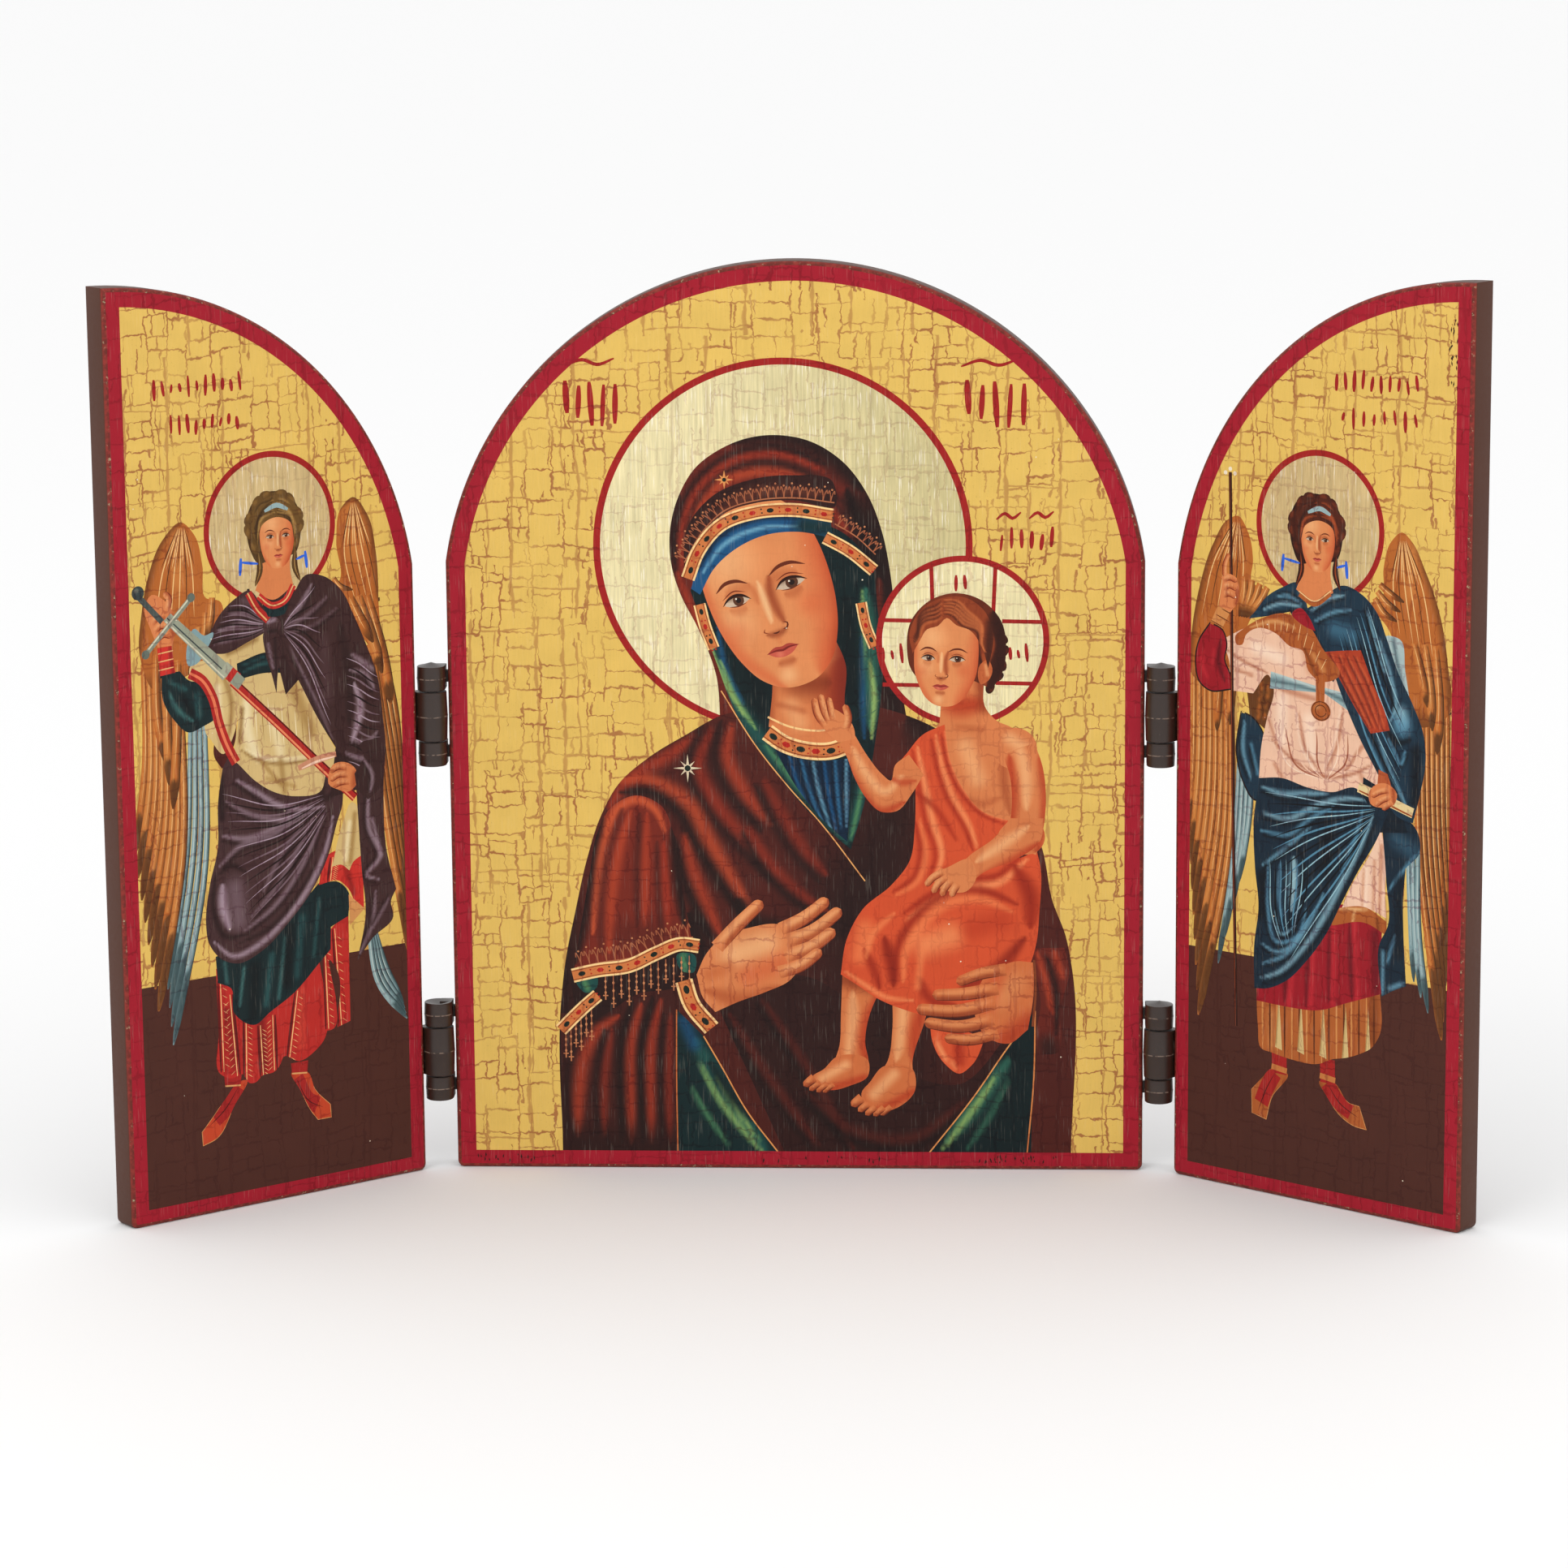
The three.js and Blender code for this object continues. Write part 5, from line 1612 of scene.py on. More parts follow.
def paintLeftTunic(picture):
    fall = [(-18.6, 104, 1), (-18, 92), (-17.4, 80), (-16.6, 68), (-19.4, 56.8, 1), (-14.6, 62),
            (-8.4, 66.6), (-9, 70.6), (-7.4, 73.4, 1), (-10, 84), (-10.4, 100), (-10, 112)]
    drawCloth(picture, fall, ("plum", 0.3), [
        *fold(1.2, 0.9, 0.05, (-14.8, 100), (-15, 90), (-12, 82), (-16, 78), (-12.4, 76.6)),
        *fold(1.0, 0.8, 0.1, (-13.4, 74), (-14.6, 66), (-18.6, 58.4)),
        (0.85, 0.8, 0.8, (-14, 92), (-11.4, 82.4)), *fold(0.9, 0.75, 0.1, (-9, 72), (-12, 68), (-15, 64)),
    ])
    tunic = [(-60, 141, 1), (-46, 144), (-37, 143), (-34, 130), (-26, 114), (-23, 108), (-26, 100, 1),
             (-36, 99), (-46, 100), (-53, 110), (-52, 122), (-56, 116), (-60, 118), (-60, 130)]
    drawCloth(picture, tunic, ("cream", 0.6), [
        (0.98, 3, 0.8, (-49, 128), (-49, 118), (-46, 110)), (0.95, 2.4, 0.7, (-42, 122), (-40, 112)),
        (0.25, 3, 0.8, (-36, 128), (-31, 116)),
        *fold(1.0, 0.95, 0.1, (-50.6, 114.6), (-46, 111.6), (-38, 110), (-30, 110)),
        (0.25, 1.0, 0.8, (-46, 111), (-40, 104)), (0.1, 1.0, 0.8, (-50.4, 124), (-51.4, 116)),
        (0.3, 1.0, 0.7, (-44, 106), (-36, 103)), (0.2, 1.4, 0.7, (-40, 110), (-39, 102)),
        (0.1, 1.4, 0.8, (-54, 138), (-46, 140.6)), (0.9, 1.6, 0.7, (-56, 128), (-55, 120)),
    ])
    for k in range(9):
        picture.line([(-47 + k * 1.9, 128 - k), (-46.4 + k * 1.9, 116 - k * 0.8)], 0.22,
                     ("cream", 0.25 if k % 2 else 1.0), taper=1.0)
    picture.area([
        (-51.6, 135.2, 1), (-44, 137), (-37, 136.6, 1), (-37, 131.2, 1), (-44, 132), (-51.4, 131.2, 1),
    ], ("teal", 0.2), [
        (0.7, 0.8, 0.8, (-50, 133), (-44, 134.4), (-40, 134.4)), (0.6, 0.5, 0.8, (-50, 134.6), (-44, 136)),
    ], grid=0.6)


def paintLeftWrap(picture):
    wrap = [(-55.6, 114, 1), (-52, 110.6), (-47, 105.6), (-42, 102.4), (-36, 100.6), (-28.4, 101.2),
            (-26.6, 105.6), (-23, 103), (-22.4, 97.6), (-24.4, 92), (-27, 84.6), (-31.6, 77), (-39, 69.4),
            (-47, 63.4), (-53.6, 61.4), (-58.6, 63.4), (-62, 68.4), (-62.4, 71.6), (-61, 82), (-58.6, 90),
            (-58, 102)]
    wrapArea = drawCloth(picture, wrap, ("plum", 0.34), [
        *fold(1.4, 0.92, 0.02, (-53, 107), (-47, 103), (-40, 98.6), (-32, 97), (-27.6, 97)),
        *fold(1.2, 0.8, 0.02, (-56, 102), (-48, 97.4), (-40, 95.4), (-31, 96)),
        *fold(1.4, 0.85, 0.04, (-57.4, 93.6), (-50, 92), (-42, 93.6), (-34, 96)),
        *fold(1.3, 0.78, 0.05, (-58.4, 86), (-52, 90.4), (-44, 91.6), (-36, 94.6)),
        *fold(1.2, 0.7, 0.05, (-46, 78), (-41, 86), (-34, 93.6)),
        *fold(1.2, 0.75, 0.04, (-50, 72), (-42, 79), (-34, 90), (-31, 95)),
        *fold(1.2, 0.8, 0.06, (-52, 69), (-43, 74), (-34, 84), (-28, 95)),
        (0.98, 2.6, 0.9, (-57.4, 82), (-57.4, 76), (-55.6, 70)), (0.7, 5, 0.8, (-54, 80), (-53, 72)),
        (0.05, 1.2, 0.9, (-58.6, 84), (-55, 86), (-50.6, 83.6)),
        (0.05, 1.4, 0.9, (-59.4, 84), (-60.2, 76), (-57, 68.6), (-50, 68.4)),
        (0.9, 1.6, 0.9, (-60.6, 68), (-55, 63.4), (-48, 65), (-40, 70.4), (-32, 78.6), (-27.4, 87),
         (-25.4, 94)), (0.05, 1.2, 0.8, (-53, 66.4), (-44, 69), (-36, 76), (-30, 84)),
        (0.0, 1.6, 0.8, (-57, 108), (-57, 98)), (0.06, 1.8, 0.8, (-24, 100), (-28, 99), (-27.6, 104)),
    ])
    drawCreases(picture, [(-28, 100), (-44, 100), (-57, 105)], [(-27, 95), (-38, 80), (-50, 70)], 15, "plum",
                0.4, wrapArea)
    picture.area([(-44, 150, 1), (-35, 153, 1), (-31, 132, 1), (-38, 126, 1), (-41, 138, 1)], ("plum", 0.18),
                 grid=1.2)
    picture.area([(-24, 112, 1), (-17, 112, 1), (-17, 100, 1), (-26, 99, 1)], ("plum", 0.14), grid=1.2)
    picture.area([
        (-57.4, 121, 1), (-52.6, 126, 1), (-52.8, 116), (-56.6, 110, 1), (-58.6, 113),
    ], ("robe", 0.3), grid=1.2)


def paintLeftMantle(picture):
    mantle = [(-38.6, 141, 1), (-37, 146), (-34.6, 151), (-31.6, 154.6), (-26.6, 154), (-21.4, 150),
              (-18, 143.6), (-14.6, 136), (-11.6, 128), (-10.2, 118), (-10, 106), (-14, 99), (-19, 100.6),
              (-20, 106), (-23.6, 110.4, 1), (-28.6, 118.4), (-34, 128.6), (-38, 136)]
    mantleArea = drawCloth(picture, mantle, ("plum", 0.26), [
        *fold(1.2, 0.85, 0.05, (-38, 143), (-33, 147.6), (-29.6, 152.6)),
        *fold(1.0, 0.7, 0.05, (-38, 142), (-31, 145), (-25, 149)),
        *fold(0.9, 0.6, 0.05, (-38, 141), (-30, 142), (-22, 146)),
        *fold(0.8, 0.75, 0.1, (-37.4, 139), (-31.6, 128), (-24.6, 113)),
        (0.45, 3, 0.7, (-27, 138), (-26, 124)), (0.08, 3, 0.8, (-22, 142), (-19.6, 128), (-20, 116)),
        (0.95, 2.0, 0.9, (-18.4, 126.6), (-16.6, 121), (-18, 115), (-19.4, 112)),
        (0.85, 1.4, 0.8, (-19, 134), (-15, 131), (-12, 129)),
        *fold(1.2, 0.85, 0.05, (-19.6, 130), (-15, 128.4), (-12, 124)),
        *fold(1.1, 0.8, 0.05, (-20, 113), (-15, 111.4), (-11.4, 114)),
        *fold(1.1, 0.85, 0.05, (-21.6, 109.6), (-16, 107.4), (-12, 108)),
        *fold(1.0, 0.7, 0.05, (-19, 104.6), (-15, 102.6), (-12, 103)),
    ])
    drawCreases(picture, [(-38, 143), (-33, 149), (-29, 153.6)], [(-38, 141), (-31, 130), (-25, 115)], 10,
                "plum", 0.4, mantleArea)
    drawCreases(picture, [(-20.4, 134), (-15, 131), (-11, 128)], [(-20.4, 104), (-15, 101.6), (-11, 102)],
                14, "plum", 0.4, mantleArea)
    shoulder = [(-47.4, 152.6), (-51.6, 151), (-56, 147.6), (-59.4, 142.4), (-61, 139.2, 1), (-55, 138),
                (-48, 140.2), (-43, 142, 1), (-42.4, 146), (-45, 150)]
    shoulderArea = drawCloth(picture, shoulder, ("plum", 0.3), [
        *fold(1.1, 0.85, 0.05, (-43, 143.6), (-50, 144.6), (-57, 143.6)),
        *fold(1.0, 0.75, 0.05, (-43, 144.6), (-48, 147), (-54, 147.6)),
        *fold(0.9, 0.7, 0.05, (-43, 142.6), (-50, 141.6), (-58, 140.4)),
        (0.6, 1.4, 0.7, (-46, 149), (-49.6, 150.4)),
    ])
    drawCreases(picture, [(-43, 145), (-48, 149), (-53, 150)], [(-43, 142.6), (-50, 141), (-60, 140)], 8,
                "plum", 0.36, shoulderArea)
    picture.area([
        (-43.6, 142), (-43.4, 136.6), (-42, 132), (-40.6, 126.6, 1), (-40, 132), (-38.8, 136), (-39.6, 141),
    ], ("plum", 0.28), [
        (0.8, 0.7, 0.8, (-42.6, 139), (-41.4, 133)), (0.02, 0.8, 0.8, (-40.6, 140), (-40.6, 130)),
    ], grid=0.6)
    picture.area(ellipse(-41.4, 143.4, 2.6, 2.2), ("plum", 0.35), [
        (0.95, 1, 0.8, (-42.4, 144.4), (-40.6, 144.8)), (0.0, 1, 0.8, (-42.4, 142), (-40.2, 142)),
    ], grid=0.6)


def paintSwordArm(picture):
    sleeve = [(-72.6, 135, 1), (-72.4, 128.6), (-69.6, 123.6), (-65.4, 120), (-61.6, 121), (-57.6, 123),
              (-58.4, 128), (-61, 131.6), (-65, 132.6), (-67.6, 135.2, 1)]
    picture.area([
        (-64, 136.6), (-58, 136.4), (-53.4, 131.4), (-51.6, 124), (-53, 118), (-56, 113.6), (-60, 118.6),
        (-62, 124),
    ], ("cream", 0.62), [
        (0.2, 1.4, 0.8, (-56, 134), (-53.4, 126), (-54.6, 117)), (0.95, 1.6, 0.8, (-57, 130), (-57, 120)),
    ], grid=0.7)
    drawCloth(picture, sleeve, ("teal", 0.25), [
        (0.8, 1.1, 0.9, (-71, 131), (-68.6, 126), (-64, 122.4)),
        (0.65, 1.8, 0.8, (-63, 128.6), (-62.6, 124)), (0.7, 0.9, 0.8, (-70.6, 133), (-66, 130.6)),
        (0.0, 1.6, 0.8, (-67, 129), (-64.6, 124.6)),
    ])
    band = [(-64.8, 134.4), (-61.6, 132.4), (-58.8, 128), (-57, 121), (-55, 115.6), (-52.6, 111)]
    picture.line(band, 2.6, ("red", 0.35))
    picture.line(band, 0.8, ("red", 0.75), taper=0.3)
    picture.area([(-73.6, 141.4, 1), (-69.6, 141.6, 1), (-68.8, 135, 1), (-73, 134.6, 1)], ("red", 0.5), [
        (0.15, 1, 0.8, (-70, 141), (-69.4, 135))
    ], grid=0.7)
    for z in (136, 138, 140):
        picture.line([(-73.4, z), (-69.2, z + 0.4)], 0.35, ("ochre", 0.85), taper=0.4)
    picture.area([
        (-64.6, 136), (-63, 145), (-60.4, 143), (-58, 143.6), (-60.4, 139), (-62.8, 136.4),
    ], ("plume", 0.65), [(0.1, 0.7, 0.8, (-63.4, 140), (-61, 141))], grid=0.8)
    drawHand(picture, [
        (-73.4, 141.6, 1), (-75.4, 146.6), (-76.8, 151.6), (-74.6, 154.4), (-71.6, 153), (-68.8, 149.6),
        (-68.4, 145), (-69.4, 141.6, 1),
    ], [
        (1.8, (-71, 150), (-70, 153), (-71.4, 154.6)), (1.8, (-75, 147.4), (-73, 149), (-70.6, 148.4)),
        (1.8, (-74.6, 145.4), (-72.4, 146.8), (-70, 146)),
        (1.7, (-73.8, 143.4), (-71.6, 144.6), (-69.4, 143.8)),
    ], strokes=[(0.3, 1.4, 0.7, (-69, 144), (-69, 149))], grid=0.5)


def paintSword(picture):
    picture.line([(-78, 154), (-72, 147.6)], 1.5, ("steel", 0.15))
    picture.area(ellipse(-78.4, 155.2, 1.7, 1.7), ("steel", 0.05), [(0.7, 0.8, 0.8, (-78.8, 155.8))],
                 grid=0.6)
    blade = np.array([(-71.6, 147.8), (-69.6, 149.4), (-53, 134.4), (-55.6, 131.6)])
    picture.area(blade, ("steel", 0.62), grid=0.8)
    picture.line([(-70.6, 148.4), (-54.4, 133)], 0.35, ("steel", 0.1))
    picture.line([(-71, 147.6), (-55.2, 132.2)], 0.4, ("steel", 0.95))
    picture.line([(-76.4, 140.6), (-64.4, 152)], 1.3, ("steel", 0.5))
    picture.line([(-76, 141.4), (-64.6, 152.2)], 0.4, ("steel", 0.95))
    for x, z in ((-76.8, 140.2), (-63.8, 152.6)):
        picture.area(ellipse(x, z, 1.1, 1.1), ("steel", 0.3), grid=0.8)
    scabbard = [(-53, 131), (-40, 118.6), (-28, 106.8), (-18.8, 98)]
    picture.line(scabbard, 2.3, ("red", 0.35))
    picture.line([(x - 0.3, z - 0.5) for x, z in scabbard], 0.5, ("red", 0.8), taper=0.3)
    picture.line([(x + 0.6, z + 0.7) for x, z in scabbard], 0.4, ("red", 0.0), taper=0.3)
    bands = ((0, 3.2, ("steel", 0.7)), (1.6, 3.4, ("red", 0.4)), (2.8, 3.2, ("steel", 0.55)))
    for shift, wide, paint in bands:
        picture.line([(-55.4 + shift, 134.8 - shift), (-53.2 + shift, 132.8 - shift)], wide, paint)


def paintLeftHand(picture):
    picture.line([(-35, 107.4), (-29.6, 108.8), (-24, 109.6)], 1.9, ("pink", 0.25), taper=0.3)
    picture.line([(-34, 107.2), (-29.6, 108.4), (-24.4, 109)], 0.6, ("pink", 0.8), taper=0.6)
    drawHand(picture, [
        (-26.4, 104.4), (-25, 107), (-21.4, 107.2), (-18.4, 105), (-18.2, 101.4), (-20.4, 99.8),
        (-24, 100.8), (-26.4, 102.4),
    ], [
        (1.7, (-20.6, 105.8), (-23.4, 106.4), (-26, 105.4)),
        (1.7, (-20.4, 104), (-23.4, 104.4), (-26, 103.2)),
        (1.7, (-20.2, 102.2), (-23, 102.4), (-25.2, 101.6)),
    ], strokes=[(0.3, 1.6, 0.7, (-19, 101), (-18.6, 104))], grid=0.5)
    picture.area([
        (-18.8, 104, 1), (-16, 108), (-17, 111), (-11, 112, 1), (-10.4, 100, 1), (-15, 97, 1), (-18, 100),
    ], ("plum", 0.2), [*fold(0.9, 0.85, 0.05, (-16.6, 108), (-13.6, 103), (-14.6, 98))], grid=0.7)
    picture.line([(-47.8, 152), (-45.4, 147.8), (-42.4, 144.8)], 2.0, ("red", 0.35))
    picture.line([(-48, 152), (-45.6, 147.8), (-42.8, 144.8)], 0.4, ("ochre", 0.85))
    picture.area([
        (-43.8, 149.2), (-40, 148), (-36.4, 148.8), (-37.6, 145.8, 1), (-40, 145.4), (-42.4, 145.6, 1),
    ], ("teal", 0.3), grid=0.8)
    drawSpecks(picture, (-80, -6), (10, 190), 12)
    drawAngelHead(picture, -39.4, 165)
    picture.line([(-45, 151), (-41, 148.2), (-37.6, 149), (-35, 152.6)], 1.7, ("red", 0.45))
    picture.line([(-45, 151), (-41, 148.2), (-37.6, 149), (-35, 152.6)], 0.35, ("ochre", 0.9))


# the right board: a winged figure with a staff and a roll

def paintRightWing(place, half):
    picture = startWing(place, half)
    drawWing(picture, [
        (4.4, 128), (4.8, 138), (7, 149), (11, 160), (15.4, 166.4), (18.4, 167.6), (21.4, 164), (23, 157),
        (22.6, 152), (27, 150), (22, 142), (18, 132), (12, 124),
    ], ([(17, 166), (10.6, 156), (6.6, 142)], [(19, 166), (21, 156), (20, 144)], 13), [
        ([(5.6, 132), (5.6, 108), (4.6, 86)], [(17, 126), (16.8, 88), (7.6, 42)], 8, 2.4),
        ([(19.6, 112), (18, 84), (13.6, 56)], [(23.4, 112), (22.6, 94), (19.6, 77)], 4, 1.7, "plume", 0.62),
    ], [
        ([(14, 130), (13, 122), (12.6, 114)], [(18, 132), (17, 124), (16.4, 116)], 2, 2.6),
        ([(20.6, 153), (20.4, 148), (19, 143)], [(27.4, 151), (25, 147), (21, 143)], 4, 2.4),
    ])
    drawWing(picture, [
        (80.2, 126), (79.6, 138), (77, 150), (72.6, 160), (69, 166), (66.2, 168), (63, 165.4), (61, 159),
        (60.6, 152), (58, 150.6), (63, 144), (66, 136), (72, 122),
    ], ([(67.4, 166), (72.6, 156), (76.4, 138)], [(65.4, 166), (63, 156), (65, 144)], 13), [
        ([(79.6, 130), (80, 104), (81.4, 74)], [(71, 124), (72.4, 92), (79.6, 47)], 7, 2.4),
        ([(69, 94), (70, 78), (71.4, 60)], [(72, 92), (72.6, 72), (75.6, 53)], 3, 1.8, "plume", 0.62),
    ], [
        ([(76, 142), (77.4, 128), (77, 116)], [(70, 142), (72.4, 134), (74, 127)], 3, 2.8),
        ([(60, 155), (63, 153), (67, 151.4)], [(58.6, 151.6), (61, 148.4), (65, 146.6)], 3, 2.2),
    ])
    picture.area([(62.6, 143), (66, 142.4), (67.6, 135), (70.4, 121, 1), (66, 129)], ("plume", 0.85),
                 [(0.3, 1, 0.8, (64, 142), (67, 130))], grid=0.8)
    halo(picture, 42.5, 167, *wingLook["haloSize"], ("leafWing", 0.4))
    drawInscription(picture, (45.6, 200), (71, 205.6), 10)
    drawInscription(picture, (47.4, 191.2), (71, 196.8), 8)
    for paintPart in (paintRightSkirts, paintRightTunic, paintRightMantle, paintCollar, paintRightWrap,
                      paintStaffArm, paintRightHand):
        paintPart(picture)
    return picture


def paintRightSkirts(picture):
    drawShoe(picture, [
        (30, 32), (27, 29), (24, 25.8, 1), (24.2, 19.8, 1), (28.6, 18.8, 1), (30.2, 24.6), (34.8, 31.4),
    ], [(31, 31), (28.4, 26.4), (26, 20.4)], ("ochre", 0.4))
    drawShoe(picture, [
        (44.2, 31), (46.6, 27.6), (50.6, 23.4), (54.4, 21.6), (58.4, 21.2, 1), (56.2, 26.8, 1), (53, 27.2),
        (48.8, 31.4),
    ], [(46.6, 31), (50.4, 26.6), (56, 23.8)], ("ochre", 0.4))
    for x in (30, 44.4):
        picture.area([(x, 37, 1), (x + 4.4, 37, 1), (x + 4.6, 31, 1), (x + 0.2, 31, 1)], ("red", 0.3),
                     grid=1.2)
        picture.line([(x, 32.6), (x + 4.6, 32)], 1.4, ("ochre", 0.6))
    hem = picture.area([
        (25.2, 52, 1), (25.8, 42), (26.8, 36.6), (30, 36), (36, 35.2), (44, 35.4), (48, 37.2), (52, 38.2),
        (56, 39.8), (59.6, 42), (61.4, 44.6), (61.6, 58, 1),
    ], ("ochre", 0.42), [(0.1, 3, 0.7, (60, 54), (60, 44)), (0.75, 2, 0.6, (30, 46), (30, 38))], grid=0.9)
    for k in range(16):
        x = 27 + k * 2.2
        picture.line([(x, 55), (x + 0.3, 35)], 0.5, ("ochre", 0.0 if k % 2 else 0.7), taper=0.7, within=hem)
        if k % 3 == 2:  # the light inside of a pleat
            picture.area([(x + 0.6, 51, 1), (x - 0.4, 37.6, 1), (x + 1.7, 37, 1)], ("cream", 0.62),
                         [(0.1, 0.5, 0.7, (x + 0.4, 50), (x - 0.2, 38))], grid=0.5, within=hem)
    picture.area([
        (25.4, 56, 1), (25.3, 48.4, 1), (34, 48.2), (44, 48.8), (52, 51.8), (62, 55.6, 1), (62, 74, 1),
        (50, 76), (34, 66),
    ], ("crimson", 0.5), [
        *fold(1.6, 0.95, 0.1, (36, 62), (35, 49)), *fold(1.5, 0.9, 0.1, (42, 66), (41.4, 49)),
        *fold(1.4, 0.85, 0.1, (48, 70), (48, 51)), *fold(1.6, 0.9, 0.05, (54, 72), (55, 53)),
        (0.1, 2.4, 0.8, (60, 70), (60.6, 56)),
    ], grid=0.7)
    picture.area([
        (50, 74.5, 1), (53, 81), (58, 89), (61.4, 96, 1), (62.8, 90), (62.8, 80), (63.2, 74.4, 1), (58, 76),
    ], ("pink", 0.75), [
        *fold(0.9, 0.2, 0.7, (61.6, 92), (61.2, 75)), *fold(0.9, 0.95, 0.3, (57.4, 86), (57, 76)),
        (0.2, 0.8, 0.7, (59.6, 88), (59.4, 76)),
    ], grid=0.6)
    picture.area([
        (47.6, 74.6, 1), (57.6, 76.2), (63.3, 73.6, 1), (63.4, 70.2, 1), (57.4, 72.4), (47.4, 70.4, 1),
    ], ("ochre", 0.4), [
        (0.95, 0.7, 0.8, (50, 75), (57.6, 75.8)), (0.9, 0.6, 0.8, (54, 75), (53.4, 72)),
        (0.1, 0.8, 0.8, (60.6, 74), (61, 71.4)),
    ], grid=0.7)


def paintRightTunic(picture):
    picture.area([
        (61.4, 99, 1), (67, 100), (71.6, 97), (72.6, 92), (68.6, 87.4, 1), (68, 80), (68.2, 72),
        (69.2, 58.6, 1), (66.4, 57.4), (62.2, 55, 1), (61.4, 68), (63.6, 72.4), (63, 84),
    ], ("navy", 0.22), [
        (0.6, 4, 0.5, (66, 94), (70, 92)), *fold(0.9, 0.75, 0.1, (66, 71), (64.4, 66), (63.6, 63)),
        *fold(0.9, 0.8, 0.1, (62.4, 66), (62.4, 56)), (0.8, 1.2, 0.8, (68, 59), (64.6, 57.4)),
        (0.75, 0.9, 0.8, (63.4, 81), (68.6, 87.6), (72.4, 92)), (0.05, 2.4, 0.8, (67, 84), (67, 66)),
    ], grid=0.7)
    picture.area([(22, 131), (30, 128), (29.4, 122), (27.4, 116, 1), (22.4, 119, 1)], ("feather", 0.1), [
        (0.5, 0.6, 0.8, (26, 128), (25, 119)), (0.5, 0.5, 0.8, (28, 127), (27, 119)),
    ], grid=0.9)
    drape = [(20, 119.6, 1), (23.4, 118.4), (26.4, 115), (27.6, 109.6), (26, 104), (30, 101, 1), (24, 98.6),
             (20.6, 103), (18.8, 109)]
    picture.area(drape, ("navy", 0.3), [
        *fold(1.2, 0.8, 0.02, (21, 118), (20.6, 110), (23, 103.6)),
        *fold(0.9, 0.7, 0.0, (23, 112), (25, 105)),
    ], grid=0.7, rim=("robe", 0.05))
    tunic = [(14, 136.8, 1), (20, 140), (28, 143), (38, 142), (46, 136), (52, 127), (58, 117), (61, 110),
             (60, 104, 1), (50, 103), (42, 102), (34, 103), (25.4, 104, 1), (26, 112), (27.6, 119),
             (29.4, 127), (28, 129.6), (23.4, 124.6, 1), (14.6, 124.6, 1), (16.4, 130)]
    tunicArea = drawCloth(picture, tunic, ("pink", 0.68), [
        *fold(0.8, 0.05, 0.8, (15, 134.6), (21, 132), (28, 130)), *fold(0.8, 0.1, 0.8, (17, 130), (23, 129)),
        (0.98, 3, 0.8, (24, 136), (32, 134)), (0.98, 3, 0.8, (32, 124), (32, 114)),
        (0.95, 3, 0.8, (40, 120), (41, 112)),
        *fold(0.9, 0.0, 0.8, (29, 114), (36, 109.4), (44, 106.8), (52, 108), (59, 111.6)),
        *fold(0.9, 0.1, 0.9, (37, 122), (39, 113), (43, 108)),
        *fold(0.9, 0.1, 0.9, (50, 124), (48, 114), (45, 108)), (0.1, 0.9, 0.8, (56, 116), (51, 109)),
        (0.15, 1.0, 0.7, (30, 108), (33, 104)), (0.2, 1.2, 0.7, (55, 109), (57, 105)),
        (0.15, 1.4, 0.8, (30, 127), (36, 126), (44, 125)), (0.15, 0.8, 0.7, (28, 119), (31, 112)),
        (0.3, 2, 0.6, (40, 132), (38, 138)),
    ])
    drawCreases(picture, [(28, 118), (32, 109), (44, 106)], [(56, 118), (54, 110), (46, 106)], 9, "pink",
                0.4, tunicArea)
    ribbons = (((28.4, 126.4, 1), (28.6, 130.6, 1), 42.6), ((51.8, 123.4, 1), (50, 127.8, 1), 44.4))
    for low, high, knot in ribbons:
        picture.area([low, high, (knot, 128.4, 1), (knot, 127, 1)], ("plume", 0.72), [
            (0.2, 0.8, 0.8, ((low[0] + high[0]) / 2, (low[1] + high[1]) / 2), (knot, 127.6)),
            (1.0, 0.8, 0.8, high[:2], (knot, 128)),
        ], grid=0.5, rim=("plume", 0.0))


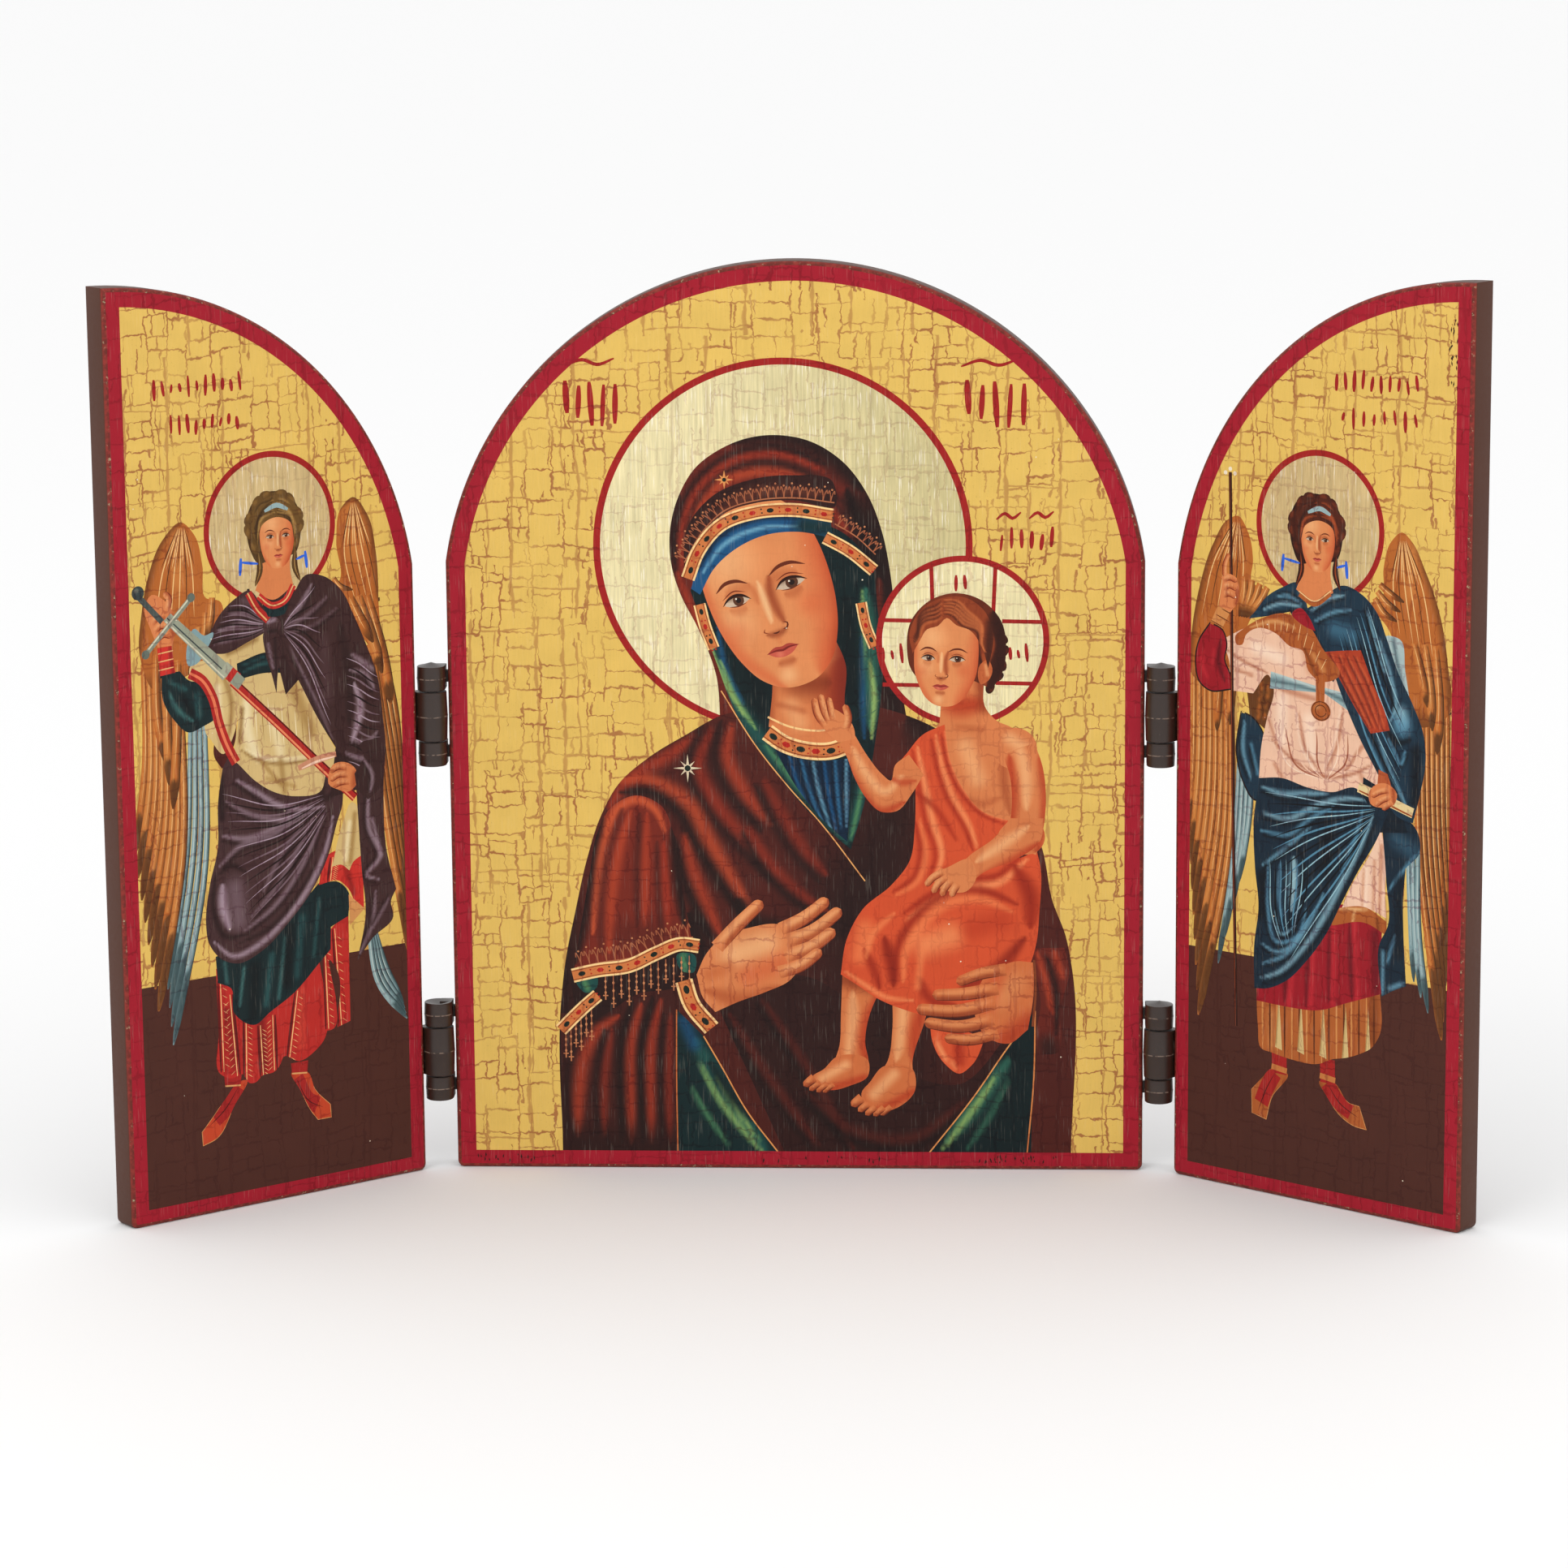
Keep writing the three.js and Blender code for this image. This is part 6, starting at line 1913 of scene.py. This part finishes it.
def paintRightMantle(picture):
    picture.area([(34, 146, 1), (42, 147, 1), (50, 136, 1), (47, 130, 1), (40, 136)], ("navy", 0.2),
                 grid=1.2)
    picture.area([(56, 108, 1), (66, 104, 1), (69, 96, 1), (60, 95, 1), (56, 101)], ("navy", 0.12), grid=1.2)
    mantle = [(38.4, 146.6, 1), (42, 149), (46, 152), (49, 153.6), (55, 152), (59.4, 148), (62, 142.6),
              (65.6, 134.4), (70, 127), (73, 120.6), (73.8, 115), (72.4, 106), (70.4, 98.6, 1), (66, 99.6),
              (60.6, 108.6), (55, 117), (49, 128), (45, 136.6), (41.6, 142)]
    mantleArea = drawCloth(picture, mantle, ("navy", 0.3), [
        *fold(1.0, 0.9, 0.1, (40, 146.4), (45, 150), (50, 151.4)),
        *fold(0.9, 0.8, 0.05, (41, 144), (47, 147), (52, 148)), (0.6, 4, 0.8, (47, 143), (52, 142)),
        *fold(0.9, 0.85, 0.05, (56.4, 149), (58.6, 142), (62, 133)),
        (0.02, 2.4, 0.9, (56, 140), (60, 128), (63, 121)),
        *fold(1.0, 0.85, 0.05, (60, 142), (63.6, 133), (65, 126), (63.6, 122.6)),
        (0.9, 3.4, 0.9, (66.6, 124.6), (67, 123)), (0.75, 4.4, 0.8, (67, 121.6)),
        (0.02, 1.4, 0.9, (62.6, 120.6), (66, 117.6), (70, 119)),
        *fold(1.0, 0.8, 0.02, (60, 118), (64, 110), (69, 101.6)),
        *fold(0.9, 0.75, 0.02, (63, 118.4), (67, 112.6), (68, 116)),
        *fold(0.9, 0.7, 0.0, (57, 118), (61.6, 110), (66.6, 102)), (0.0, 3, 0.8, (71, 116), (71, 104)),
    ])
    drawCreases(picture, [(57, 150), (62, 137), (68, 125)], [(48, 141), (56, 118), (66, 102)], 9, "navy",
                0.4, mantleArea)
    sash = [(43.8, 137, 1), (50, 138), (54.8, 138.6, 1), (58.4, 131), (62.2, 124), (63.4, 120.2, 1),
            (58, 118.8, 1), (53, 125), (48, 132)]
    stripes = []
    for k in range(4):
        stripes += fold(0.7, 0.86, 0.4, (46 + k * 2.4, 137.4), (52 + k * 2.2, 128.6), (58 + k * 1.4, 120))
    drawCloth(picture, sash, ("robe", 0.68), stripes)
    picture.area([
        (36.4, 153), (31.6, 151.4), (27, 148.6), (23.8, 144.8), (21.8, 142.8, 1), (30, 144.6), (36, 146.2),
        (39.4, 146.6, 1), (38.4, 149.6),
    ], ("navy", 0.35), [
        *fold(0.9, 0.9, 0.05, (38, 147), (32, 147.6), (26, 145.4)),
        *fold(0.8, 0.8, 0.05, (37.6, 148), (33, 149.6), (30, 149)), (0.0, 1, 0.8, (38, 146.6), (28, 144.6)),
    ], grid=0.6)


def paintCollar(picture):
    collar = [(17.8, 137.4), (21, 140.6), (26, 143.4), (33, 145.2), (40, 142.6), (43.6, 138), (48.6, 131.6),
              (46.8, 130.4), (43, 129.8), (39.6, 132), (38, 136.6), (34, 137.4), (30, 140), (24.6, 140.8),
              (21, 138.6), (20, 136.2), (18.4, 136)]
    drawCloth(picture, collar, ("ochre", 0.38), [
        (0.8, 0.9, 0.8, (22, 140.6), (30, 143), (36, 142)), (0.05, 0.7, 0.8, (38.6, 137), (42, 131)),
        (0.75, 1.2, 0.7, (41, 136), (44, 132.6)),
    ])
    for k in range(12):
        stitch = [(24 + k * 1.9, 143 - max(0, k - 7) * 1.9), (24.6 + k * 1.7, 140.6 - max(0, k - 6) * 1.6)]
        picture.line(stitch, 0.2, ("ochre", 0.95), taper=0.7)
    picture.area([(34.6, 145.4), (37, 147), (40, 144.6), (41.6, 141.8, 1), (38, 142.8)], ("crimson", 0.5),
                 grid=0.9)
    picture.area([(41.8, 131, 1), (44.6, 131, 1), (44.4, 124, 1), (42, 124, 1)], ("ochre", 0.4), grid=0.9)
    picture.area(ellipse(43.4, 122.6, 2.9, 2.5), ("ochre", 0.4), [(0.85, 1.2, 0.7, (42.4, 123.4))], grid=0.8)
    for radius in (2.6, 1.6):
        picture.line(ellipse(43.4, 122.6, radius, radius * 0.86, count=24), 0.25, ("ochre", 0.0))


def paintRightWrap(picture):
    wrap = [(25.6, 104, 1), (32, 104.8), (40, 103.4), (47, 103.2), (54, 105), (58, 101.4), (63.4, 100.4, 1),
            (60, 93), (55, 85), (50, 76), (46, 68.4), (40, 60.4), (34, 54.6), (28, 51.8), (24.6, 51.4, 1),
            (24.4, 62), (25.6, 72), (24.4, 82), (24, 94)]
    wrapArea = drawCloth(picture, wrap, ("navy", 0.24), [
        *fold(1.4, 0.85, 0.02, (26, 102), (32, 101), (40, 102), (46, 102.6)),
        *fold(1.4, 0.9, 0.02, (26, 95.6), (34, 95), (42, 99), (50, 102), (57, 102.6)),
        *fold(1.1, 0.75, 0.02, (26, 91), (34, 91), (41, 96), (48, 100)),
        *fold(1.0, 0.8, 0.02, (26, 82), (34, 88), (41, 94)),
        (0.95, 2.2, 0.9, (36, 86), (36, 79), (35.4, 72)),
        (0.02, 1.2, 0.9, (33, 87.6), (37.6, 87.6), (39, 82), (38, 74)),
        (0.7, 1.2, 0.8, (32, 84), (31.6, 76), (32.6, 70)),
        *fold(0.8, 0.85, 0.02, (30.6, 72), (32.6, 66), (37, 69)),
        *fold(1.0, 0.75, 0.02, (28.4, 84), (28.4, 72), (31, 64), (37, 66), (40, 74)),
        *fold(1.0, 0.8, 0.02, (26.4, 63), (31, 61.4), (37, 65), (41, 72)),
        *fold(1.6, 0.9, 0.05, (26, 54), (32, 56.6), (39, 63.6), (45, 72), (50, 81), (55, 90), (59, 99)),
        *fold(1.2, 0.78, 0.05, (27, 58), (33, 60.6), (40, 69), (45, 78)),
        *fold(1.2, 0.7, 0.02, (50, 84), (54, 93), (56, 100)), (0.0, 4, 0.8, (46, 94), (45, 84)),
        (0.0, 2.4, 0.8, (26.4, 80), (26, 70)),
    ])
    drawCreases(picture, [(60, 101.6), (42, 101), (27, 102)], [(58, 96), (50, 81), (35, 58)], 16, "navy",
                0.4, wrapArea)
    drawCreases(picture, [(28, 84), (28.6, 72), (33, 62)], [(41, 86), (40, 76), (37, 68)], 8, "navy",
                0.4, wrapArea)


def paintStaffArm(picture):
    sleeve = [(10.4, 140.4, 1), (14, 139), (15.2, 136), (14.6, 132), (16.6, 127.6), (16.6, 125, 1),
              (10, 124.2), (7.6, 125.6), (6.2, 130), (7, 135.4)]
    drawCloth(picture, sleeve, ("crimson", 0.5), [
        (0.9, 1.2, 0.8, (8.4, 134), (8, 129.6), (10, 126.6)),
        (0.05, 1.4, 0.8, (13.6, 137), (13, 131), (15, 126.4)), (0.8, 1, 0.7, (11.6, 134), (11, 130)),
    ])
    picture.area([(10.6, 141, 1), (14, 139.6, 1), (16.4, 144, 1), (12.8, 145.4, 1)], ("ochre", 0.7),
                 grid=0.9)
    for z in (140.4, 142, 143.6):
        picture.line([(z - 129.8, z + 0.8), (z - 126, z - 0.6)], 0.3, ("ochre", 0.05), taper=0.5)
    staff = [(16, 178), (16.6, 150), (17.6, 100), (19.2, 41)]
    picture.line(staff, 0.95, ("hair", 0.05))
    picture.line([(x - 0.2, z) for x, z in staff], 0.25, ("hair", 0.5), taper=0.4)
    for x, z in ((16, 178.8), (14.6, 177.8), (17.4, 177.8)):
        picture.area(ellipse(x, z, 0.55, 0.55, count=8), ("pale", 0.8), grid=3.0)
    drawHand(picture, [
        (13, 145, 1), (13.6, 149.6), (14.6, 153), (17.4, 152.8), (19, 150), (18.6, 146.6), (16.4, 143.8, 1),
    ], [
        (1.4, (14.8, 151.6), (14.6, 155), (15.8, 158.2)), (1.6, (14, 151.4), (16, 152.4), (18.4, 151.6)),
        (1.6, (14, 149.6), (16, 150.4), (18.4, 149.6)), (1.6, (14, 147.8), (16, 148.4), (18, 147.6)),
    ], strokes=[(0.3, 1.2, 0.7, (18, 146), (18.6, 149))], grid=0.5)


def paintRightHand(picture):
    picture.area([(60.4, 110.4, 1), (63, 109.6, 1), (64, 106), (60.6, 105.6)], ("skin", 0.4), grid=0.8)
    picture.line([(54.6, 105.4), (62, 103.4), (70.4, 101)], 2.5, ("cream", 0.75))
    picture.line([(54.8, 104.6), (62, 102.6), (70.2, 100.2)], 0.5, ("ochre", 0.3), taper=0.3)
    drawHand(picture, [
        (57.6, 104), (59.6, 106.6), (63, 107.2), (65.8, 105), (65, 102.4), (61.4, 101.2), (58.2, 101.8),
    ], [
        (1.6, (63.6, 105.8), (61, 105.2), (58.4, 103.6)), (1.6, (64, 104.2), (61.6, 103.2), (59.6, 101.6)),
        (1.5, (64.4, 103), (63, 102), (61.6, 100.8)),
    ], strokes=[(0.3, 1.2, 0.7, (65, 103), (64.6, 106))], grid=0.5)
    drawSpecks(picture, (6, 80), (10, 190), 12)
    drawAngelHead(picture, 42.2, 164, turn=-4, hair=("hair", 0.22))
    drawWear(picture, (78.4, 81), (203, 219), 24)
    picture.line([(36.8, 150.4), (41, 148.4), (45.8, 151.4)], 1.4, ("ochre", 0.4))
    picture.line([(36.6, 151), (41, 149), (46, 152)], 0.3, ("ochre", 0.95))


# hinges: turned knuckles and bevelled blocks, joined into the two halves of a hinge

hinge = {
    "outer": {"Height": 6.0, "Radius": 3.55, "Draft": 0.1},
    "middle": {"Height": 12.2, "Radius": 3.9, "Draft": 0.2},
    "gap": 0.35, "cone": 0.9, "dish": 0.7, "soft": 0.2, "ridge": 0.06, "worn": 0.26, "turnSteps": 48,
    "leafBack": 3.9, "leafThick": 1.6, "leafDepth": 8.0, "axisGap": 4.0,
    "neck": 3.0, "neckStart": 1.0, "neckBite": 2.0, "core": 0.3, "proud": 0.06,
    "shy": 0.04,  # keeps the faces of joined blocks apart
}


def makeKnuckleTree(plastic):  # eleven rings from the foot's middle to the tip's, turned about the axis
    tree = bpy.data.node_groups.new("turnedKnuckle", "GeometryNodeTree")
    tree.interface.new_socket("Geometry", in_out="OUTPUT", socket_type="NodeSocketGeometry")
    inputs = {"Height": 6.0, "Radius": 3.5, "Draft": 0.1, "Ridge": hinge["ridge"], "Rim": 0.45, "Soft": 0.12,
              "Foot": 0.0, "Tip": 0.0}
    for name, value in inputs.items():
        tree.interface.new_socket(name, in_out="INPUT", socket_type="NodeSocketFloat").default_value = value
    source = tree.nodes.new("NodeGroupInput")
    height, radius, draft, ridge, rim, soft, foot, tip = (
        Wire(tree, source.outputs[name]) for name in inputs
    )
    tool = Wire(tree)

    def pick(index, values):
        switch = tree.nodes.new("GeometryNodeIndexSwitch")
        switch.data_type = "FLOAT"
        while len(switch.index_switch_items) < len(values):
            switch.index_switch_items.new()
        tree.links.new(index.socket, switch.inputs[0])
        for place, value in enumerate(values, 1):
            plug(tool, switch, place, value)
        return Wire(tree, switch.outputs[0])

    end, half, near = radius - draft, height * 0.5, hinge["worn"]
    widths = [0.01, end - rim, end - soft, end, radius, radius + ridge, radius, end, end - soft, end - rim,
              0.01]
    levels = [foot, 0.0, 0.0, soft, half - near, half, half + near, height - soft, height, height,
              height + tip]
    line = tool.node("GeometryNodeCurvePrimitiveLine", None, {"End": (0, 0, len(widths) - 1)})
    line = tool.node("GeometryNodeResampleCurve", None, {"Curve": line, "Count": len(widths)})
    circleSizes = {"Resolution": hinge["turnSteps"], "Radius": 1.0}
    circle = tool.node("GeometryNodeCurvePrimitiveCircle", None, circleSizes)
    ring = pick(tool.node("GeometryNodeInputIndex"), widths)
    turning = {"Curve": line, "Profile Curve": circle, "Scale": ring, "Fill Caps": True}
    turned = tool.node("GeometryNodeCurveToMesh", None, turning)
    position = tool.node("GeometryNodeInputPosition")
    axes = tool.node("ShaderNodeSeparateXYZ", None, {0: position}).socket.node.outputs
    x, y, z = (Wire(tree, axis) for axis in axes)
    level = pick(z.maths("ROUND", z), levels)
    place = tool.node("ShaderNodeCombineXYZ", None, {0: x, 1: y, 2: level})
    turned = tool.node("GeometryNodeSetPosition", None, {"Geometry": turned, "Position": place})
    turned = tool.node("GeometryNodeMergeByDistance", None, {"Geometry": turned, "Distance": 0.03})
    turned = tool.node("GeometryNodeRealizeInstances", None, {"Geometry": turned})
    turned = tool.node("GeometryNodeSetMaterial", None, {"Geometry": turned, "Material": plastic})
    tree.links.new(turned.socket, tree.nodes.new("NodeGroupOutput").inputs[0])
    return tree


def turnKnuckle(tree, sizes, low):  # its foot at the height low
    piece = bpy.data.objects.new("knuckle", bpy.data.meshes.new("knuckle"))
    bpy.context.collection.objects.link(piece)
    turning = piece.modifiers.new("turning", "NODES")
    turning.node_group = tree
    sockets = {item.name: item.identifier for item in tree.interface.items_tree if item.in_out == "INPUT"}
    for name, value in sizes.items():
        turning[sockets[name]] = value
    made = bpy.data.meshes.new_from_object(piece.evaluated_get(bpy.context.evaluated_depsgraph_get()))
    piece.modifiers.remove(turning)
    bpy.data.objects.remove(piece)
    made.transform(Matrix.Translation((0, 0, low)))
    return made


def bevelledBlock(low, high):
    build = bmesh.new()
    bmesh.ops.create_cube(build, size=1)
    size = Vector(high) - Vector(low)
    bmesh.ops.transform(build, matrix=Matrix.Diagonal(size).to_4x4(), verts=build.verts)
    bmesh.ops.translate(build, vec=Vector(low) + size / 2, verts=build.verts)
    softened = {"offset": hinge["soft"], "segments": 3, "profile": 0.5, "affect": "EDGES"}
    bmesh.ops.bevel(build, geom=build.edges[:], **softened)
    mesh = bpy.data.meshes.new("block")
    build.to_mesh(mesh)
    build.free()
    return mesh


def joined(meshes):  # one closed solid
    parts = [bpy.data.objects.new("part", mesh) for mesh in meshes]
    box = bpy.data.collections.new("parts")
    for part in parts[1:]:
        box.objects.link(part)
    bpy.context.collection.objects.link(parts[0])
    bpy.context.scene.collection.children.link(box)
    union = parts[0].modifiers.new("union", "BOOLEAN")
    union.operation, union.solver, union.operand_type, union.collection = "UNION", "EXACT", "COLLECTION", box
    whole = bpy.data.meshes.new_from_object(parts[0].evaluated_get(bpy.context.evaluated_depsgraph_get()))
    for part in parts:
        bpy.data.objects.remove(part)
    bpy.data.collections.remove(box)
    return whole


# its axis upright at the origin, its board on the +X side, the boards' backs towards +Y
def hingeHalf(tree, fork):
    knuckle = hinge["outer" if fork else "middle"]
    half, tall = hinge["middle"]["Height"] / 2, knuckle["Height"]
    radius = knuckle["Radius"] - knuckle["Draft"]
    back, front = hinge["leafBack"], hinge["leafBack"] - hinge["leafThick"]
    edge = hinge["axisGap"] - hinge["proud"]
    core, shy = hinge["core"], hinge["shy"]
    tip = half + hinge["gap"] + tall if fork else half
    meshes = [bevelledBlock((edge, front, -tip), (edge + hinge["leafDepth"], back, tip))]
    starts = (half + hinge["gap"], -tip) if fork else (-half,)
    for low in starts:
        shape = {"Foot": hinge["dish"] if fork and low < 0 else 0.0,
                 "Tip": hinge["cone"] if fork and low > 0 else 0.0}
        meshes.append(turnKnuckle(tree, {**knuckle, **shape}, low))
        meshes.append(bevelledBlock((core, core, low + shy), (radius, back - shy / 2, low + tall - shy)))
        reach = hinge["neck"] / 2 if fork else tall / 2 - shy
        middle = low + tall / 2
        neckEnd = (edge + hinge["neckBite"], back - shy / 4, middle + reach)
        meshes.append(bevelledBlock((hinge["neckStart"], front, middle - reach), neckEnd))
    return joined(meshes)


def placeHingeHalf(name, body, half, place, inward, flipped, plastic):
    low, high = (Vector(corner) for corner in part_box(name))
    joint = next(joint for joint in frame["joints"] if joint["child"] == place["body"])
    axis = Vector(joint["pos_m"])
    axis.z = (low.z + high.z) / 2
    if name.endswith("fork"):  # the cone stands above the barrel, the dish is sunk into it
        axis.z += hinge["cone"] * mm / 2 * (1 if flipped else -1)
    into, up = Vector(inward * place["right"]), Vector((0, 0, -1 if flipped else 1))
    turned = Matrix((into, -Vector(place["outward"]), up)).transposed().to_4x4()
    mesh = half.copy()
    mesh.transform(Matrix.Translation(axis) @ turned @ Matrix.Scale(mm, 4))
    if turned.determinant() < 0:
        mesh.flip_normals()
    ridge = hinge["ridge"]
    peaks = [hinge[kind]["Radius"] + ridge for kind in ("outer", "middle")]
    worn = mesh.attributes.new("finish", "FLOAT_COLOR", "POINT")
    for corner, drawn in zip(worn.data, half.vertices):
        reach = math.hypot(drawn.co.x, drawn.co.y)
        corner.color = (float(min(abs(reach - peak) for peak in peaks) < ridge / 4), 0, 0, 1)
    mesh.materials.clear()
    mesh.materials.append(plastic)
    mesh.shade_smooth()
    mesh.set_sharp_from_angle(angle=math.radians(28))
    piece = bpy.data.objects.new(name.replace("hinge_", "hinge-"), mesh)
    bpy.context.collection.objects.link(piece)
    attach(piece, body)
    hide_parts(name)


def makeHinges(places, plastic):
    tree = makeKnuckleTree(plastic)
    fork, tongue = hingeHalf(tree, True), hingeHalf(tree, False)
    for side in ("left", "right"):
        outward = -1 if side == "left" else 1
        for level in ("lower", "upper"):
            flipped = (level, side) == ("lower", "left")  # this one was fitted upside down
            centre = dict(places["centre"], body=side)
            wing = dict(places[side], body=side)
            placeHingeHalf(f"hinge_{level}_{side}_fork", "centre", fork, centre, -outward, flipped, plastic)
            placeHingeHalf(f"hinge_{level}_{side}_tongue", side, tongue, wing, outward, flipped, plastic)
    print("hinges", len(fork.polygons), len(tongue.polygons), "faces")


def makeHingePlastic():  # moulded satin plastic, pale where the parting line is scuffed
    look = {"rough": 0.36, "colour": (45, 29, 21), "scuff": (150, 128, 112), "dents": 0.03, "grain": 0.012}
    material, tool, surface = newMaterial("hingePlastic")
    spot = millimetres(tool)
    ridge, _, _ = attributeParts(tool, "finish")
    cloud, fine = spot.noise(0.5, 2), spot.noise(4.0, 3, 0.6)
    shade = (cloud - 0.5) * 0.3 + (fine - 0.5) * 0.25 + 1
    brown = shaded(tool, linear(look["colour"]).tolist(), shade)
    scuffed = ridge.between(0.2, 0.8) * spot.noise(0.9, 3).between(0.4, 0.56)
    nicked = spot.noise(1.7, 3, 0.7).between(0.72, 0.78) * 0.5
    brown = scuffed.maths("MAXIMUM", scuffed * 0.6, nicked).mixed(brown, rgba(look["scuff"]))
    plug(tool, surface, "Base Color", brown)
    plug(tool, surface, "Roughness", (fine - 0.5) * 0.2 + look["rough"] + scuffed * 0.2)
    plugHeight(tool, surface, cloud * look["dents"] + fine * look["grain"])
    return material


# making it all

makeCamera()
makeStudio()
finishes = [makePictureFinish(), makeEdgeFinish()]
places = {}
boards = [
    ("centreBoard", "centre_panel", "centre", 0, paintCentre),
    ("leftBoard", "left_wing", "left", -1, paintLeftWing),
    ("rightBoard", "right_wing", "right", 1, paintRightWing),
]
for name, node, body, side, paintBoard in boards:
    places[body] = boardPlace(node, side)
    halfWidth = places["centre"]["width"] / 2
    makeBoard(name, node, body, places[body], halfWidth, paintBoard(places[body], halfWidth), finishes)
makeHinges(places, makeHingePlastic())

bpy.context.view_layer.update()
